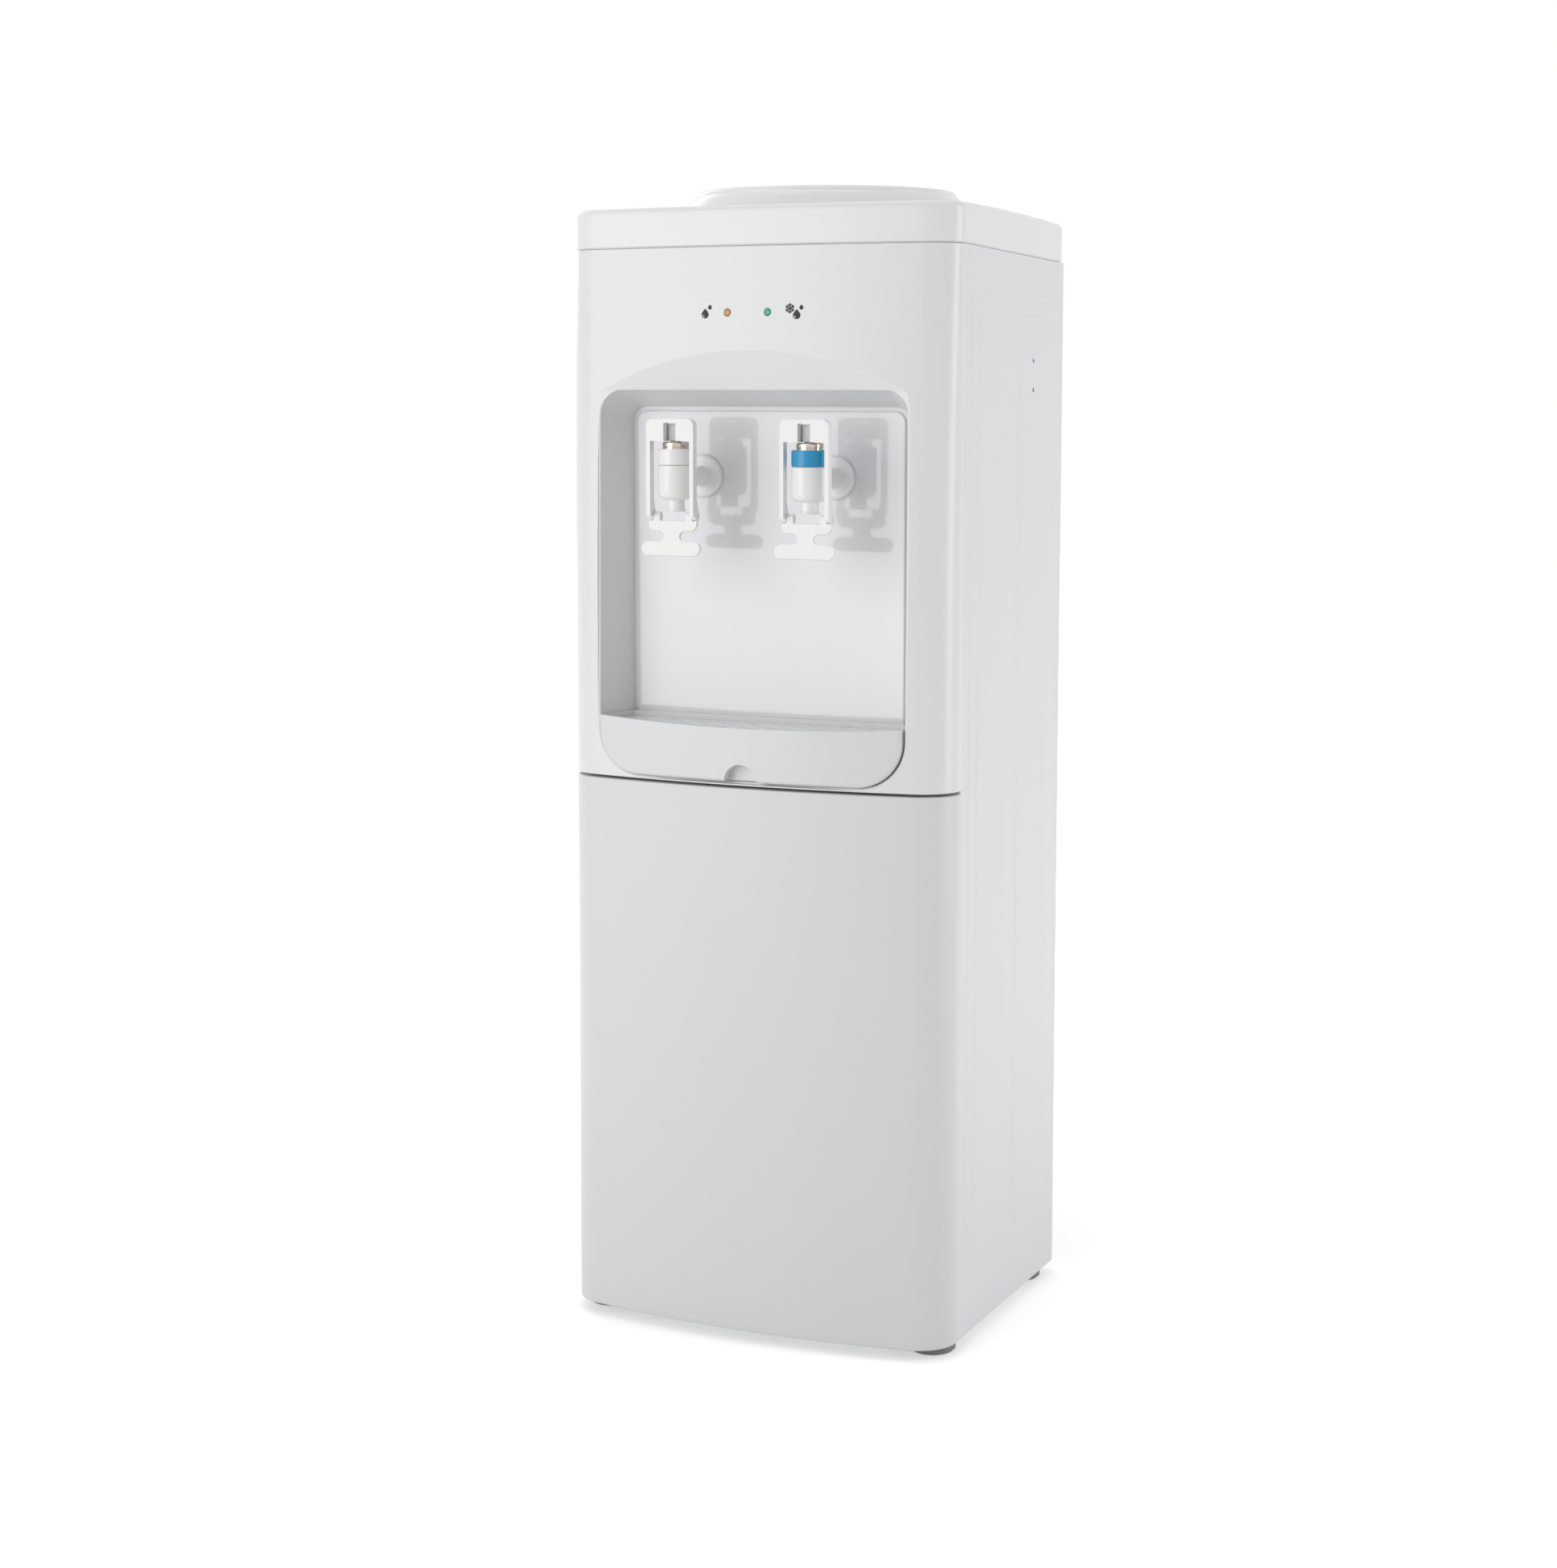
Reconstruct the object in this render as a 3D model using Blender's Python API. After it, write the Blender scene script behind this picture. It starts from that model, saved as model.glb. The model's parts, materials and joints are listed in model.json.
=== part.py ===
"""Free-standing bottle-top water dispenser with two lever taps, a chilled tank and a drip tray.

Lengths are metres, +Z is up and the front looks towards -Y. All pieces are drawn in the cabinet's own frame:
x = 0 is the middle, y = 0 is the joint between the front panels and the side sheets, z = 0 is the panels'
bottom edge. One empty carries them all, and stands the part on its feet with the box centred on x and y.
"""

import math

import bmesh
import bpy
from mathutils import Matrix, Vector

MM = 0.001
FULL_TURN = 2 * math.pi
QUARTER_TURN = math.pi / 2

# Cabinet
BODY_WIDTH = 300 * MM
SIDE_DEPTH = 214 * MM
LOWER_PANEL_HEIGHT = 397.4 * MM
UPPER_PANEL_HEIGHT = 380.6 * MM
MIDDLE_GAP = 2 * MM
TOP_GAP = 1 * MM
SIDE_GAP = 0.9 * MM
MOULDED_WALL = 2.5 * MM
SHEET = 1 * MM
FIT = 0.3 * MM
OVERRUN = 20 * MM

# Bowed front, as seen from above
BOW_RISE = 15.7 * MM
CORNER_REACH = 25.7 * MM
CORNER_RADIUS = 28.7 * MM
LEAN = 11 * MM
LEAN_START = 480 * MM
BOW_STEPS = 8
CORNER_STEPS = 5
LEAN_STEPS = 4

# Top cover and bottle collar
COVER_PROUD = 1 * MM
COVER_SETBACK = 1 * MM
COVER_HEIGHT = 27.5 * MM
COVER_REAR_DROP = 5.6 * MM
COVER_EDGE_RADIUS = 5 * MM
COVER_REAR_RADIUS = 14 * MM
COVER_EDGE_STEPS = 3
COLLAR_FORWARD = 1 * MM
COLLAR_REAR_MARGIN = 2 * MM
COLLAR_SLOPE = 8.5 * MM
COLLAR_HEIGHT = 15.6 * MM
COLLAR_BAND = 19 * MM
COLLAR_EDGE = 3.5 * MM
LEDGE_WIDTH = 7 * MM
LEDGE_THICKNESS = 3 * MM
COLLAR_STEPS = 28

# Tap alcove and brow
ALCOVE_SIDE_MARGIN = 31 * MM
ALCOVE_NARROWING = 10.5 * MM
ALCOVE_LOW = 402.4 * MM
ALCOVE_CEILING_FRONT = 679 * MM
ALCOVE_CEILING_BACK = 667.5 * MM
ALCOVE_EDGE_Y = -28 * MM
ALCOVE_BACK_Y = 4 * MM
ALCOVE_TOP_RADIUS = 17 * MM
ALCOVE_TOP_RADIUS_BACK = 10 * MM
ALCOVE_LOW_RADIUS = 33 * MM
ALCOVE_CORNER_STEPS = 5
LIP_FLARE = 2.2 * MM
LIP_DEPTH = 4 * MM
LIP_STEPS = 3
BROW_SLOPE = 0.25
BROW_RADIUS = 14 * MM
BROW_REACH = 60 * MM
BROW_SIDE_TAPER = 6 * MM

# Tap wall at the back of the alcove
TAP_WALL_MARGIN = 5 * MM
TAP_WALL_RAISE = 2 * MM
TAP_WALL_GROOVE = 3 * MM
TAP_WALL_RADIUS = 8 * MM

# Indicator lights
LIGHT_PITCH = 31 * MM
LIGHT_Z = 733.6 * MM
LIGHT_RADIUS = 2.5 * MM
LIGHT_PROUD = 1.6 * MM
LIGHT_FLANGE = 0.5 * MM
LIGHT_FLANGE_THICKNESS = 1 * MM
LIGHT_STEPS = 12
BOARD_WIDTH = 66 * MM
BOARD_HEIGHT = 16 * MM
BOARD_THICKNESS = 1.6 * MM
BOARD_STANDOFF = 4 * MM
BOARD_POST_RADIUS = 3 * MM

# Taps
TAP_PITCH_SHARE = 0.3453
TAP_Y = -42 * MM
TAP_PIPE_Z = 617.5 * MM
BODY_RADIUS = 12.9 * MM
BODY_LOW = 602 * MM
BODY_HEIGHT = 36 * MM
BODY_ROUND = 5.5 * MM
BODY_BORE_RADIUS = 10 * MM
BODY_FLOOR = 4 * MM
RING_HEIGHT = 11.3 * MM
RING_THICKNESS = 1.4 * MM
NOZZLE_RADIUS = 6.3 * MM
NOZZLE_BORE_RADIUS = 4.2 * MM
NOZZLE_LENGTH = 8.5 * MM
NOZZLE_FLARE = 0.7 * MM
TAP_PIPE_RADIUS = 7 * MM
TAP_PIPE_BORE_RADIUS = 3.6 * MM
TAP_PIPE_REACH = 18 * MM
TAP_FLANGE_RADIUS = 15.6 * MM
TAP_FLANGE_THICKNESS = 3.4 * MM
TAP_FLANGE_ROUND = 2 * MM
TAP_STEPS = 16
PIPE_STEPS = 12

# Bonnet cap, stem, seal and spring of a tap
CAP_RADIUS = 9.6 * MM
CAP_RISE = 5 * MM
CAP_SKIRT = 7 * MM
CAP_WALL = 1.2 * MM
CAP_ROUND = 1.4 * MM
STEM_RADIUS = 3.6 * MM
TONGUE_WIDTH = 8.6 * MM
TONGUE_DEPTH = 9.6 * MM
TONGUE_HEIGHT = 12 * MM
TONGUE_GAP = 0.6 * MM
SEAL_RADIUS = 6 * MM
SEAL_HEIGHT = 3.5 * MM
SEAL_NOSE = 1.5 * MM
SPRING_RADIUS = 6.2 * MM
SPRING_WIRE_RADIUS = 0.6 * MM
SPRING_TURNS = 5
SPRING_TURN_POINTS = 7
SPRING_SIDES = 4

# Lever, cross pin and push paddle of a tap
PIN_RADIUS = 1.5 * MM
PIN_CLEARANCE = 0.15 * MM
PIN_Z = 650 * MM
LEVER_FRONT_Y = -52.5 * MM
LEVER_WIDTH = 37 * MM
LEVER_TOP = 659.2 * MM
LEVER_PLATE_LOW = 643.6 * MM
LEVER_PLATE = 2.2 * MM
LEVER_RAIL = 3 * MM
LEVER_RAIL_DEPTH = 6 * MM
LEVER_CORNER = 5 * MM
LEVER_SLOT_WIDTH = 9.6 * MM
LEVER_SLOT_MARGIN = 2.7 * MM
LEVER_EAR = 2.4 * MM
LEVER_EAR_ROUND = 4 * MM
FOLD_Z = 590.5 * MM
FOLD_Y = -45.4 * MM
KNUCKLE_RADIUS = 3.2 * MM
HINGE_BORE_RADIUS = 1.3 * MM
PADDLE_WIDTH = 46.4 * MM
PADDLE_WING_WIDTH = 38 * MM
PADDLE_THICKNESS = 2.4 * MM
PADDLE_LOW = 562 * MM
PADDLE_BAR_HEIGHT = 10.6 * MM
PADDLE_BITE_RADIUS = 3.6 * MM
PADDLE_NECK_WIDTH = 12.5 * MM
PADDLE_WING_HEIGHT = 7.5 * MM
PADDLE_WING_RADIUS = 5 * MM
PADDLE_TILT = math.radians(12)
PADDLE_LUG_WIDTH = 5 * MM
PADDLE_STEPS = 5

# Drip tray and grille
TRAY_GAP = 1 * MM
TRAY_FLOOR_GAP = 0.4 * MM
TRAY_WALL = 2.2 * MM
TRAY_PROUD = 5 * MM
TRAY_LIP_Z = 444.4 * MM
TRAY_LIP_DIP = 3.4 * MM
TRAY_BACK_Y = 1.5 * MM
TRAY_LEDGE = 3 * MM
TRAY_LEDGE_DROP = 2.6 * MM
NOTCH_RADIUS = 12.5 * MM
NOTCH_WALL = 2 * MM
NOTCH_DEPTH = 9 * MM
GRILLE_THICKNESS = 1.8 * MM
GRILLE_GAP = 0.5 * MM
SLOT_LENGTH = 14 * MM
SLOT_WIDTH = 3 * MM
SLOT_PITCH = 20 * MM
SLOT_ROWS = 5
SLOT_ROW_PITCH = 7.2 * MM
SLOT_FIRST_ROW_Y = -3.5 * MM
SLOT_END_STEPS = 2
SLOT_MARGIN = 5 * MM
THUMB_RADIUS = 8 * MM
THUMB_PITCH = 96 * MM

# Side sheets
FRONT_RETURN = 11 * MM
REAR_RETURN = 15 * MM
STAMP_DEPTH = 0.6 * MM
STAMP_SLOPE = 3 * MM
STAMP_LOW = 52 * MM
STAMP_HIGH = 737 * MM
STAMP_FRONT_Y = 30 * MM
STAMP_REAR_MARGIN = 24 * MM
STAMP_MIDDLE_GAP = 14 * MM
CUP_HOLDER_REAR_MARGIN = 69.5 * MM
CUP_HOLDER_Z = 700.7 * MM
CUP_HOLDER_PITCH = 21.4 * MM
CUP_HOLDER_RADIUS = 1.7 * MM
SIDE_TOP_GAP = 1 * MM

# Base plate, feet, back panel and tank shelf
BASE_LIFT = 1.2 * MM
BASE_PLATE = 1.5 * MM
FOOT_RADIUS = 17 * MM
FOOT_HEIGHT = 8 * MM
FOOT_TAPER = 2 * MM
FOOT_BOSS_RADIUS = 8 * MM
FOOT_STUD_RADIUS = 4 * MM
FOOT_STUD = 5 * MM
FOOT_SIDE_MARGIN = 20 * MM
FOOT_FRONT_Y = 3 * MM
FOOT_REAR_MARGIN = 26 * MM
FOOT_STEPS = 12
BACK_LOW = 232 * MM
BACK_HIGH = 774 * MM
SHELF_Z = 645 * MM
SHELF_LIP = 12 * MM
SHELF_FRONT_Y = 12 * MM

# Water tank, insulation, baffle and evaporator
TANK_WALL = 1 * MM
TANK_HEIGHT = 98 * MM
TANK_FLANGE = 16 * MM
TANK_STEPS = 20
INSULATION_FLOOR = 25 * MM
INSULATION_WALL = 19 * MM
INSULATION_THIN_WALL = 8.55 * MM
INSULATION_SIDE_ROOM = 40 * MM
INSULATION_CORNER = 20 * MM
INSULATION_SPLIT = 0.4 * MM
COIL_SPACE = 10 * MM
COIL_TUBE_RADIUS = 2.5 * MM
COIL_TURNS = 4
COIL_PITCH = 12 * MM
COIL_LOW = 12 * MM
COIL_TURN_POINTS = 16
COIL_SIDES = 4
OUTLET_MARGIN = 9 * MM
OUTLET_RADIUS = 5.5 * MM
OUTLET_BORE_RADIUS = 4 * MM
OUTLET_DROP = 13 * MM
BAFFLE_HEIGHT = 52 * MM
BAFFLE_THICKNESS = 2 * MM
BAFFLE_HOLE_RADIUS = 6 * MM
BAFFLE_HOLE_RING_SHARE = 0.55
BAFFLE_HOLES = 4
STANDPIPE_RADIUS = 7 * MM

# Bottle seat with the probe
SEAT_RIM = 3 * MM
SEAT_WALL = 2.4 * MM
SEAT_CONE_DROP = 34 * MM
WELL_RADIUS = 34 * MM
WELL_DEPTH = 36 * MM
PROBE_RADIUS = 9 * MM
PROBE_BORE_RADIUS = 6 * MM
PROBE_HEIGHT = 52 * MM
PROBE_WINDOW = 8 * MM
WELL_WINDOWS = 4

# Hoses and drain
HOSE_RADIUS = 7.2 * MM
HOSE_BEND = 13 * MM
HOSE_SIDES = 7
DRAIN_SIDE_SHARE = 0.5
DRAIN_REAR_SHARE = 0.55
DRAIN_Z = 250 * MM
DRAIN_RADIUS = 6 * MM
DRAIN_BORE_RADIUS = 4 * MM
DRAIN_BEND = 14 * MM
DRAIN_PROUD = 17 * MM
DRAIN_CAP_WALL = 2 * MM
DRAIN_CAP_LENGTH = 12 * MM
DRAIN_CLEARANCE = 0.2 * MM

# Compressor
COMPRESSOR_PLACE_SHARE = 0.5514
COMPRESSOR_RADIUS_SHARE = 0.2804
COMPRESSOR_HEIGHT = 146 * MM
COMPRESSOR_SEAM_SHARE = 0.52
COMPRESSOR_SEAM = 3.5 * MM
COMPRESSOR_SEAM_HEIGHT = 5 * MM
COMPRESSOR_DOME = 26 * MM
COMPRESSOR_STEPS = 18
LEG_REACH = 18 * MM
LEG_RADIUS = 13 * MM
LEG_PLATE = 2.5 * MM
LEGS = 3
GROMMET_RADIUS = 9 * MM
GROMMET_NECK_RADIUS = 4.2 * MM
GROMMET_HEIGHT = 12 * MM
GROMMET_HEAD = 4 * MM
GROMMET_BORE_RADIUS = 2.5 * MM
RELAY_DEPTH = 22 * MM
RELAY_WIDTH = 40 * MM
RELAY_HEIGHT = 52 * MM
RELAY_CORNER = 5 * MM
STUB_RADIUS = 3.4 * MM
STUB_REACH = 5 * MM
SUCTION_X = 12 * MM
SUCTION_HEIGHT_SHARE = 0.703
SUCTION_CLEARANCE = 15.7 * MM
SUCTION_BEND = 10 * MM
DISCHARGE_X = -22 * MM
DISCHARGE_HEIGHT_SHARE = 0.306

# Condenser on the back
CONDENSER_STANDOFF = 18 * MM
CONDENSER_SIDE_MARGIN = 44 * MM
CONDENSER_RISER_MARGIN = 32 * MM
CONDENSER_LOW = 300 * MM
CONDENSER_PITCH = 42 * MM
CONDENSER_ROWS = 9
CONDENSER_TUBE_RADIUS = 2.5 * MM
CONDENSER_SIDES = 4
CONDENSER_BEND_STEPS = 3
CONDENSER_CROSS_Z = 212 * MM
CORNER_BEND = 12 * MM
WIRE = 1.6 * MM
WIRE_PITCH = 20 * MM
STRAP_HEIGHT = 4 * MM
STRAP_MARGIN = 14 * MM
STRAP_OVERHANG = 5 * MM
TAB_WIDTH = 14 * MM
TAB_INSET = 16 * MM
DRIER_RADIUS = 9 * MM
DRIER_LENGTH = 70 * MM
DRIER_NECK = 12 * MM
DRIER_Z = 205 * MM

# Switch, thermostat and cord gland in the back panel
CONTROL_MARGIN = 28 * MM
CONTROL_Z = 715 * MM
SWITCH_WIDTH = 15 * MM
SWITCH_HEIGHT = 21 * MM
SWITCH_BEZEL = 2 * MM
SWITCH_DEPTH = 17 * MM
ROCKER_MARGIN = 1.6 * MM
ROCKER_THICKNESS = 5 * MM
ROCKER_TILT = math.radians(8)
THERMOSTAT_WIDTH = 22 * MM
THERMOSTAT_HEIGHT = 44 * MM
THERMOSTAT_DEPTH = 24 * MM
THERMOSTAT_SHAFT_RADIUS = 3 * MM
KNOB_RADIUS = 9.5 * MM
KNOB_HEIGHT = 9 * MM
KNOB_POINTER = 1.6 * MM
KNOB_STEPS = 14
GLAND_MARGIN = 46 * MM
GLAND_Z = 250 * MM
GLAND_RADIUS = 9 * MM
GLAND_BARREL_RADIUS = 6.5 * MM
GLAND_BORE_RADIUS = 3.6 * MM
GLAND_LENGTH = 14 * MM
GLAND_FLANGE = 2.5 * MM

# Heights and planes that follow from the sizes above
UPPER_LOW = LOWER_PANEL_HEIGHT + MIDDLE_GAP
UPPER_HIGH = UPPER_LOW + UPPER_PANEL_HEIGHT
COVER_LOW = UPPER_HIGH + TOP_GAP
COVER_HIGH = COVER_LOW + COVER_HEIGHT
COLLAR_HIGH = COVER_HIGH + COLLAR_HEIGHT
HALF_WIDTH = BODY_WIDTH / 2
FRONT_REACH = CORNER_REACH + BOW_RISE
COLLAR_Y = SIDE_DEPTH / 2 - COLLAR_FORWARD
COLLAR_BASE_RADIUS = SIDE_DEPTH / 2 - COLLAR_REAR_MARGIN
COLLAR_TOP_RADIUS = COLLAR_BASE_RADIUS - COLLAR_SLOPE
COLLAR_BORE_RADIUS = COLLAR_BASE_RADIUS - COLLAR_BAND
LEDGE_RADIUS = COLLAR_BORE_RADIUS - LEDGE_WIDTH
ALCOVE_HALF_FRONT = HALF_WIDTH - ALCOVE_SIDE_MARGIN
ALCOVE_HALF_BACK = ALCOVE_HALF_FRONT - ALCOVE_NARROWING
ALCOVE_DEPTH = ALCOVE_BACK_Y - ALCOVE_EDGE_Y
ALCOVE_SIDE_SLOPE = ALCOVE_NARROWING / ALCOVE_DEPTH
TAP_X = BODY_WIDTH * TAP_PITCH_SHARE / 2
STAMP_REAR_Y = SIDE_DEPTH - STAMP_REAR_MARGIN
STAMP_MIDDLE_Y = SIDE_DEPTH / 2
CUP_HOLDER_Y = SIDE_DEPTH - CUP_HOLDER_REAR_MARGIN
FOOT_X = HALF_WIDTH - FOOT_SIDE_MARGIN
FOOT_REAR_Y = SIDE_DEPTH - FOOT_REAR_MARGIN
CONTROL_X = HALF_WIDTH - CONTROL_MARGIN
GLAND_X = GLAND_MARGIN - HALF_WIDTH
CONDENSER_HALF_WIDTH = HALF_WIDTH - CONDENSER_SIDE_MARGIN
CONDENSER_RISER_X = HALF_WIDTH - CONDENSER_RISER_MARGIN
TAB_X = CONDENSER_HALF_WIDTH - TAB_INSET
BOW_RADIUS = (HALF_WIDTH ** 2 + BOW_RISE ** 2) / (2 * BOW_RISE)
BOW_CENTRE_Y = BOW_RADIUS - FRONT_REACH
BACK_FACE_Y = SIDE_DEPTH - SHEET - FIT
BACK_INNER_Y = BACK_FACE_Y - SHEET
CONDENSER_Y = BACK_FACE_Y + CONDENSER_STANDOFF
COMPRESSOR_Y = SIDE_DEPTH * COMPRESSOR_PLACE_SHARE
COMPRESSOR_RADIUS = SIDE_DEPTH * COMPRESSOR_RADIUS_SHARE
LEG_CIRCLE_RADIUS = COMPRESSOR_RADIUS + LEG_REACH
SUCTION_Y = BACK_INNER_Y - SUCTION_CLEARANCE
FRONT_END = TAP_Y - BODY_RADIUS
REAR_END = CONDENSER_Y + DRIER_RADIUS
TAP_WALL_Y = ALCOVE_BACK_Y + FIT
TAP_WALL_FACE_Y = TAP_WALL_Y - TAP_WALL_RAISE
TAP_WALL_REAR_Y = TAP_WALL_Y + MOULDED_WALL
BODY_HIGH = BODY_LOW + BODY_HEIGHT
SHELF_TOP = SHELF_Z + SHEET
INSULATION_LOW = SHELF_TOP + FIT
TANK_LOW = INSULATION_LOW + INSULATION_FLOOR + FIT
INSULATION_HIGH = TANK_LOW + TANK_HEIGHT - TANK_WALL - FIT
OUTLET_LOW = SHELF_Z - OUTLET_DROP
CAVITY_ACROSS = HALF_WIDTH - INSULATION_SIDE_ROOM - INSULATION_WALL
CAVITY_DEEP = (BACK_INNER_Y - SHELF_FRONT_Y) / 2 - FIT - INSULATION_THIN_WALL
CAVITY_RADIUS = min(CAVITY_ACROSS, CAVITY_DEEP)
TANK_RADIUS = CAVITY_RADIUS - COIL_SPACE - TANK_WALL
DRAIN_X = TANK_RADIUS * DRAIN_SIDE_SHARE
DRAIN_Y = COLLAR_Y + TANK_RADIUS * DRAIN_REAR_SHARE
SEAT_Z = COVER_HIGH + LEDGE_THICKNESS + FIT
BASE_TOP = BASE_LIFT + BASE_PLATE
TRAY_LOW = ALCOVE_LOW + TRAY_FLOOR_GAP
TRAY_LEDGE_Z = TRAY_LIP_Z - TRAY_LIP_DIP - TRAY_LEDGE_DROP
LEG_Z = BASE_TOP + FIT + GROMMET_HEIGHT + FIT
SEAM_Z = LEG_Z + COMPRESSOR_HEIGHT * COMPRESSOR_SEAM_SHARE
RELAY_HIGH = SEAM_Z - COMPRESSOR_SEAM_HEIGHT / 2 - FIT
SUCTION_Z = LEG_Z + COMPRESSOR_HEIGHT * SUCTION_HEIGHT_SHARE
DISCHARGE_Z = LEG_Z + COMPRESSOR_HEIGHT * DISCHARGE_HEIGHT_SHARE

scene = bpy.context.scene
origins = {}
looks = {}


def clear_scene():
    for old in list(bpy.data.objects):
        bpy.data.objects.remove(old, do_unlink=True)


def look(name, colour, roughness, metallic=0.0):
    """One plain material per finish."""
    if name not in looks:
        made = bpy.data.materials.new(name)
        made.use_nodes = True
        shader = made.node_tree.nodes["Principled BSDF"]
        shader.inputs["Base Color"].default_value = (*colour, 1.0)
        shader.inputs["Roughness"].default_value = roughness
        shader.inputs["Metallic"].default_value = metallic
        looks[name] = made
    return looks[name]


def front_plastic():
    return look("front_plastic", (0.80, 0.80, 0.81), 0.25)


def cover_plastic():
    return look("cover_plastic", (0.82, 0.82, 0.82), 0.3)


def alcove_plastic():
    return look("alcove_plastic", (0.80, 0.80, 0.82), 0.08)


def lower_plastic():
    return look("lower_plastic", (0.69, 0.69, 0.69), 0.35)


def painted_steel():
    return look("painted_steel", (0.74, 0.74, 0.76), 0.4)


def galvanised_steel():
    return look("galvanised_steel", (0.55, 0.56, 0.57), 0.45, 0.8)


def stainless_steel():
    return look("stainless_steel", (0.62, 0.62, 0.62), 0.25, 1.0)


def black_steel():
    return look("black_steel", (0.03, 0.03, 0.03), 0.4)


def copper():
    return look("copper", (0.72, 0.36, 0.22), 0.3, 1.0)


def tap_plastic():
    return look("tap_plastic", (0.78, 0.78, 0.78), 0.3)


def ring_white():
    return look("ring_white", (0.80, 0.80, 0.80), 0.3)


def ring_blue():
    return look("ring_blue", (0.02, 0.28, 0.55), 0.25)


def nickel():
    return look("nickel", (0.76, 0.68, 0.62), 0.2, 1.0)


def stem_grey():
    return look("stem_grey", (0.42, 0.41, 0.41), 0.4)


def silicone():
    return look("silicone", (0.75, 0.75, 0.72), 0.55)


def rubber():
    return look("rubber", (0.05, 0.05, 0.05), 0.8)


def foot_plastic():
    return look("foot_plastic", (0.22, 0.21, 0.21), 0.6)


def foam():
    return look("foam", (0.85, 0.85, 0.83), 0.9)


def circuit_board():
    return look("circuit_board", (0.05, 0.22, 0.10), 0.5)


def amber_lens():
    return look("amber_lens", (0.85, 0.42, 0.10), 0.15)


def green_lens():
    return look("green_lens", (0.12, 0.50, 0.34), 0.15)


def black_plastic():
    return look("black_plastic", (0.04, 0.04, 0.04), 0.45)


def add_object(name, shape, finish, parent, origin):
    """Puts a mesh drawn in the cabinet's frame on an object whose own origin is at the given point."""
    bmesh.ops.recalc_face_normals(shape, faces=shape.faces)
    bmesh.ops.translate(shape, verts=shape.verts, vec=-Vector(origin))
    mesh = bpy.data.meshes.new(name)
    shape.to_mesh(mesh)
    shape.free()
    if finish:
        mesh.materials.append(finish)
        mesh.shade_smooth()
        mesh.set_sharp_from_angle(angle=math.radians(35))
    made = bpy.data.objects.new(name, mesh)
    scene.collection.objects.link(made)
    made.parent = parent
    made.location = Vector(origin) - origins[parent.name]
    origins[made.name] = Vector(origin)
    return made


def piece(name, shape, finish, parent=None, origin=(0, 0, 0)):
    return add_object(name, shape, finish, parent or cabinet, origin)


def guide(owner, shape, use):
    """A hidden shape that cuts or joins another piece, and moves with it."""
    made = add_object(owner.name + "_" + use, shape, None, owner, origins[owner.name])
    made.hide_render = True
    made.display_type = "WIRE"
    return made


def combine(owner, tool, operation):
    change = owner.modifiers.new(operation.lower(), "BOOLEAN")
    change.object = tool
    change.operation = operation
    return tool


def cut(owner, shape):
    return combine(owner, guide(owner, shape, "cut"), "DIFFERENCE")


def join(owner, shape):
    return combine(owner, guide(owner, shape, "add"), "UNION")


def loft(rings):
    """A closed solid through rings of points, each ring with as many points as the next."""
    shape = bmesh.new()
    layers = [[shape.verts.new(point) for point in ring] for ring in rings]
    for low, high in zip(layers, layers[1:]):
        for here in range(len(low)):
            there = (here + 1) % len(low)
            shape.faces.new((low[here], low[there], high[there], high[here]))
    shape.faces.new(list(reversed(layers[0])))
    shape.faces.new(layers[-1])
    return shape


def merge(*shapes):
    """One mesh from several that don't touch."""
    whole = shapes[0]
    for extra in shapes[1:]:
        mesh = bpy.data.meshes.new("extra")
        extra.to_mesh(mesh)
        extra.free()
        whole.from_mesh(mesh)
        bpy.data.meshes.remove(mesh)
    return whole


def block(low, high):
    """A box between two corners."""
    ring = [(low[0], low[1]), (high[0], low[1]), (high[0], high[1]), (low[0], high[1])]
    return upright(ring, low[2], high[2])


def upright(outline, low, high):
    """A prism from an outline in plan."""
    return loft([[(x, y, z) for x, y in outline] for z in (low, high)])


def facing(outline, front, rear):
    """A prism from an outline seen from the front."""
    return loft([[(x, y, z) for x, z in outline] for y in (front, rear)])


def sideways(outline, left, right):
    """A prism from an outline seen from the side."""
    return loft([[(x, y, z) for y, z in outline] for x in (left, right)])


def arc(centre, radius, start, end, steps):
    """Points on an arc, with angles from the first axis."""
    for step in range(steps + 1):
        angle = start + (end - start) * step / steps
        yield (centre[0] + radius * math.cos(angle), centre[1] + radius * math.sin(angle))


def rounded_box(half, low, high, low_radius, high_radius, steps):
    """An outline with rounded corners, symmetric about the first axis's zero."""
    turn = QUARTER_TURN
    return [
        *arc((half - low_radius, low + low_radius), low_radius, -turn, 0, steps),
        *arc((half - high_radius, high - high_radius), high_radius, 0, turn, steps),
        *arc((high_radius - half, high - high_radius), high_radius, turn, 2 * turn, steps),
        *arc((low_radius - half, low + low_radius), low_radius, 2 * turn, 3 * turn, steps),
    ]


def rounded_plan(centre, half_x, half_y, radius, steps):
    """A rounded rectangle in plan about a centre."""
    outline = rounded_box(half_x, -half_y, half_y, radius, radius, steps)
    return [(centre[0] + x, centre[1] + y) for x, y in outline]


def circle(centre, radius, steps):
    return list(arc(centre, radius, 0, FULL_TURN * (steps - 1) / steps, steps - 1))


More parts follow.
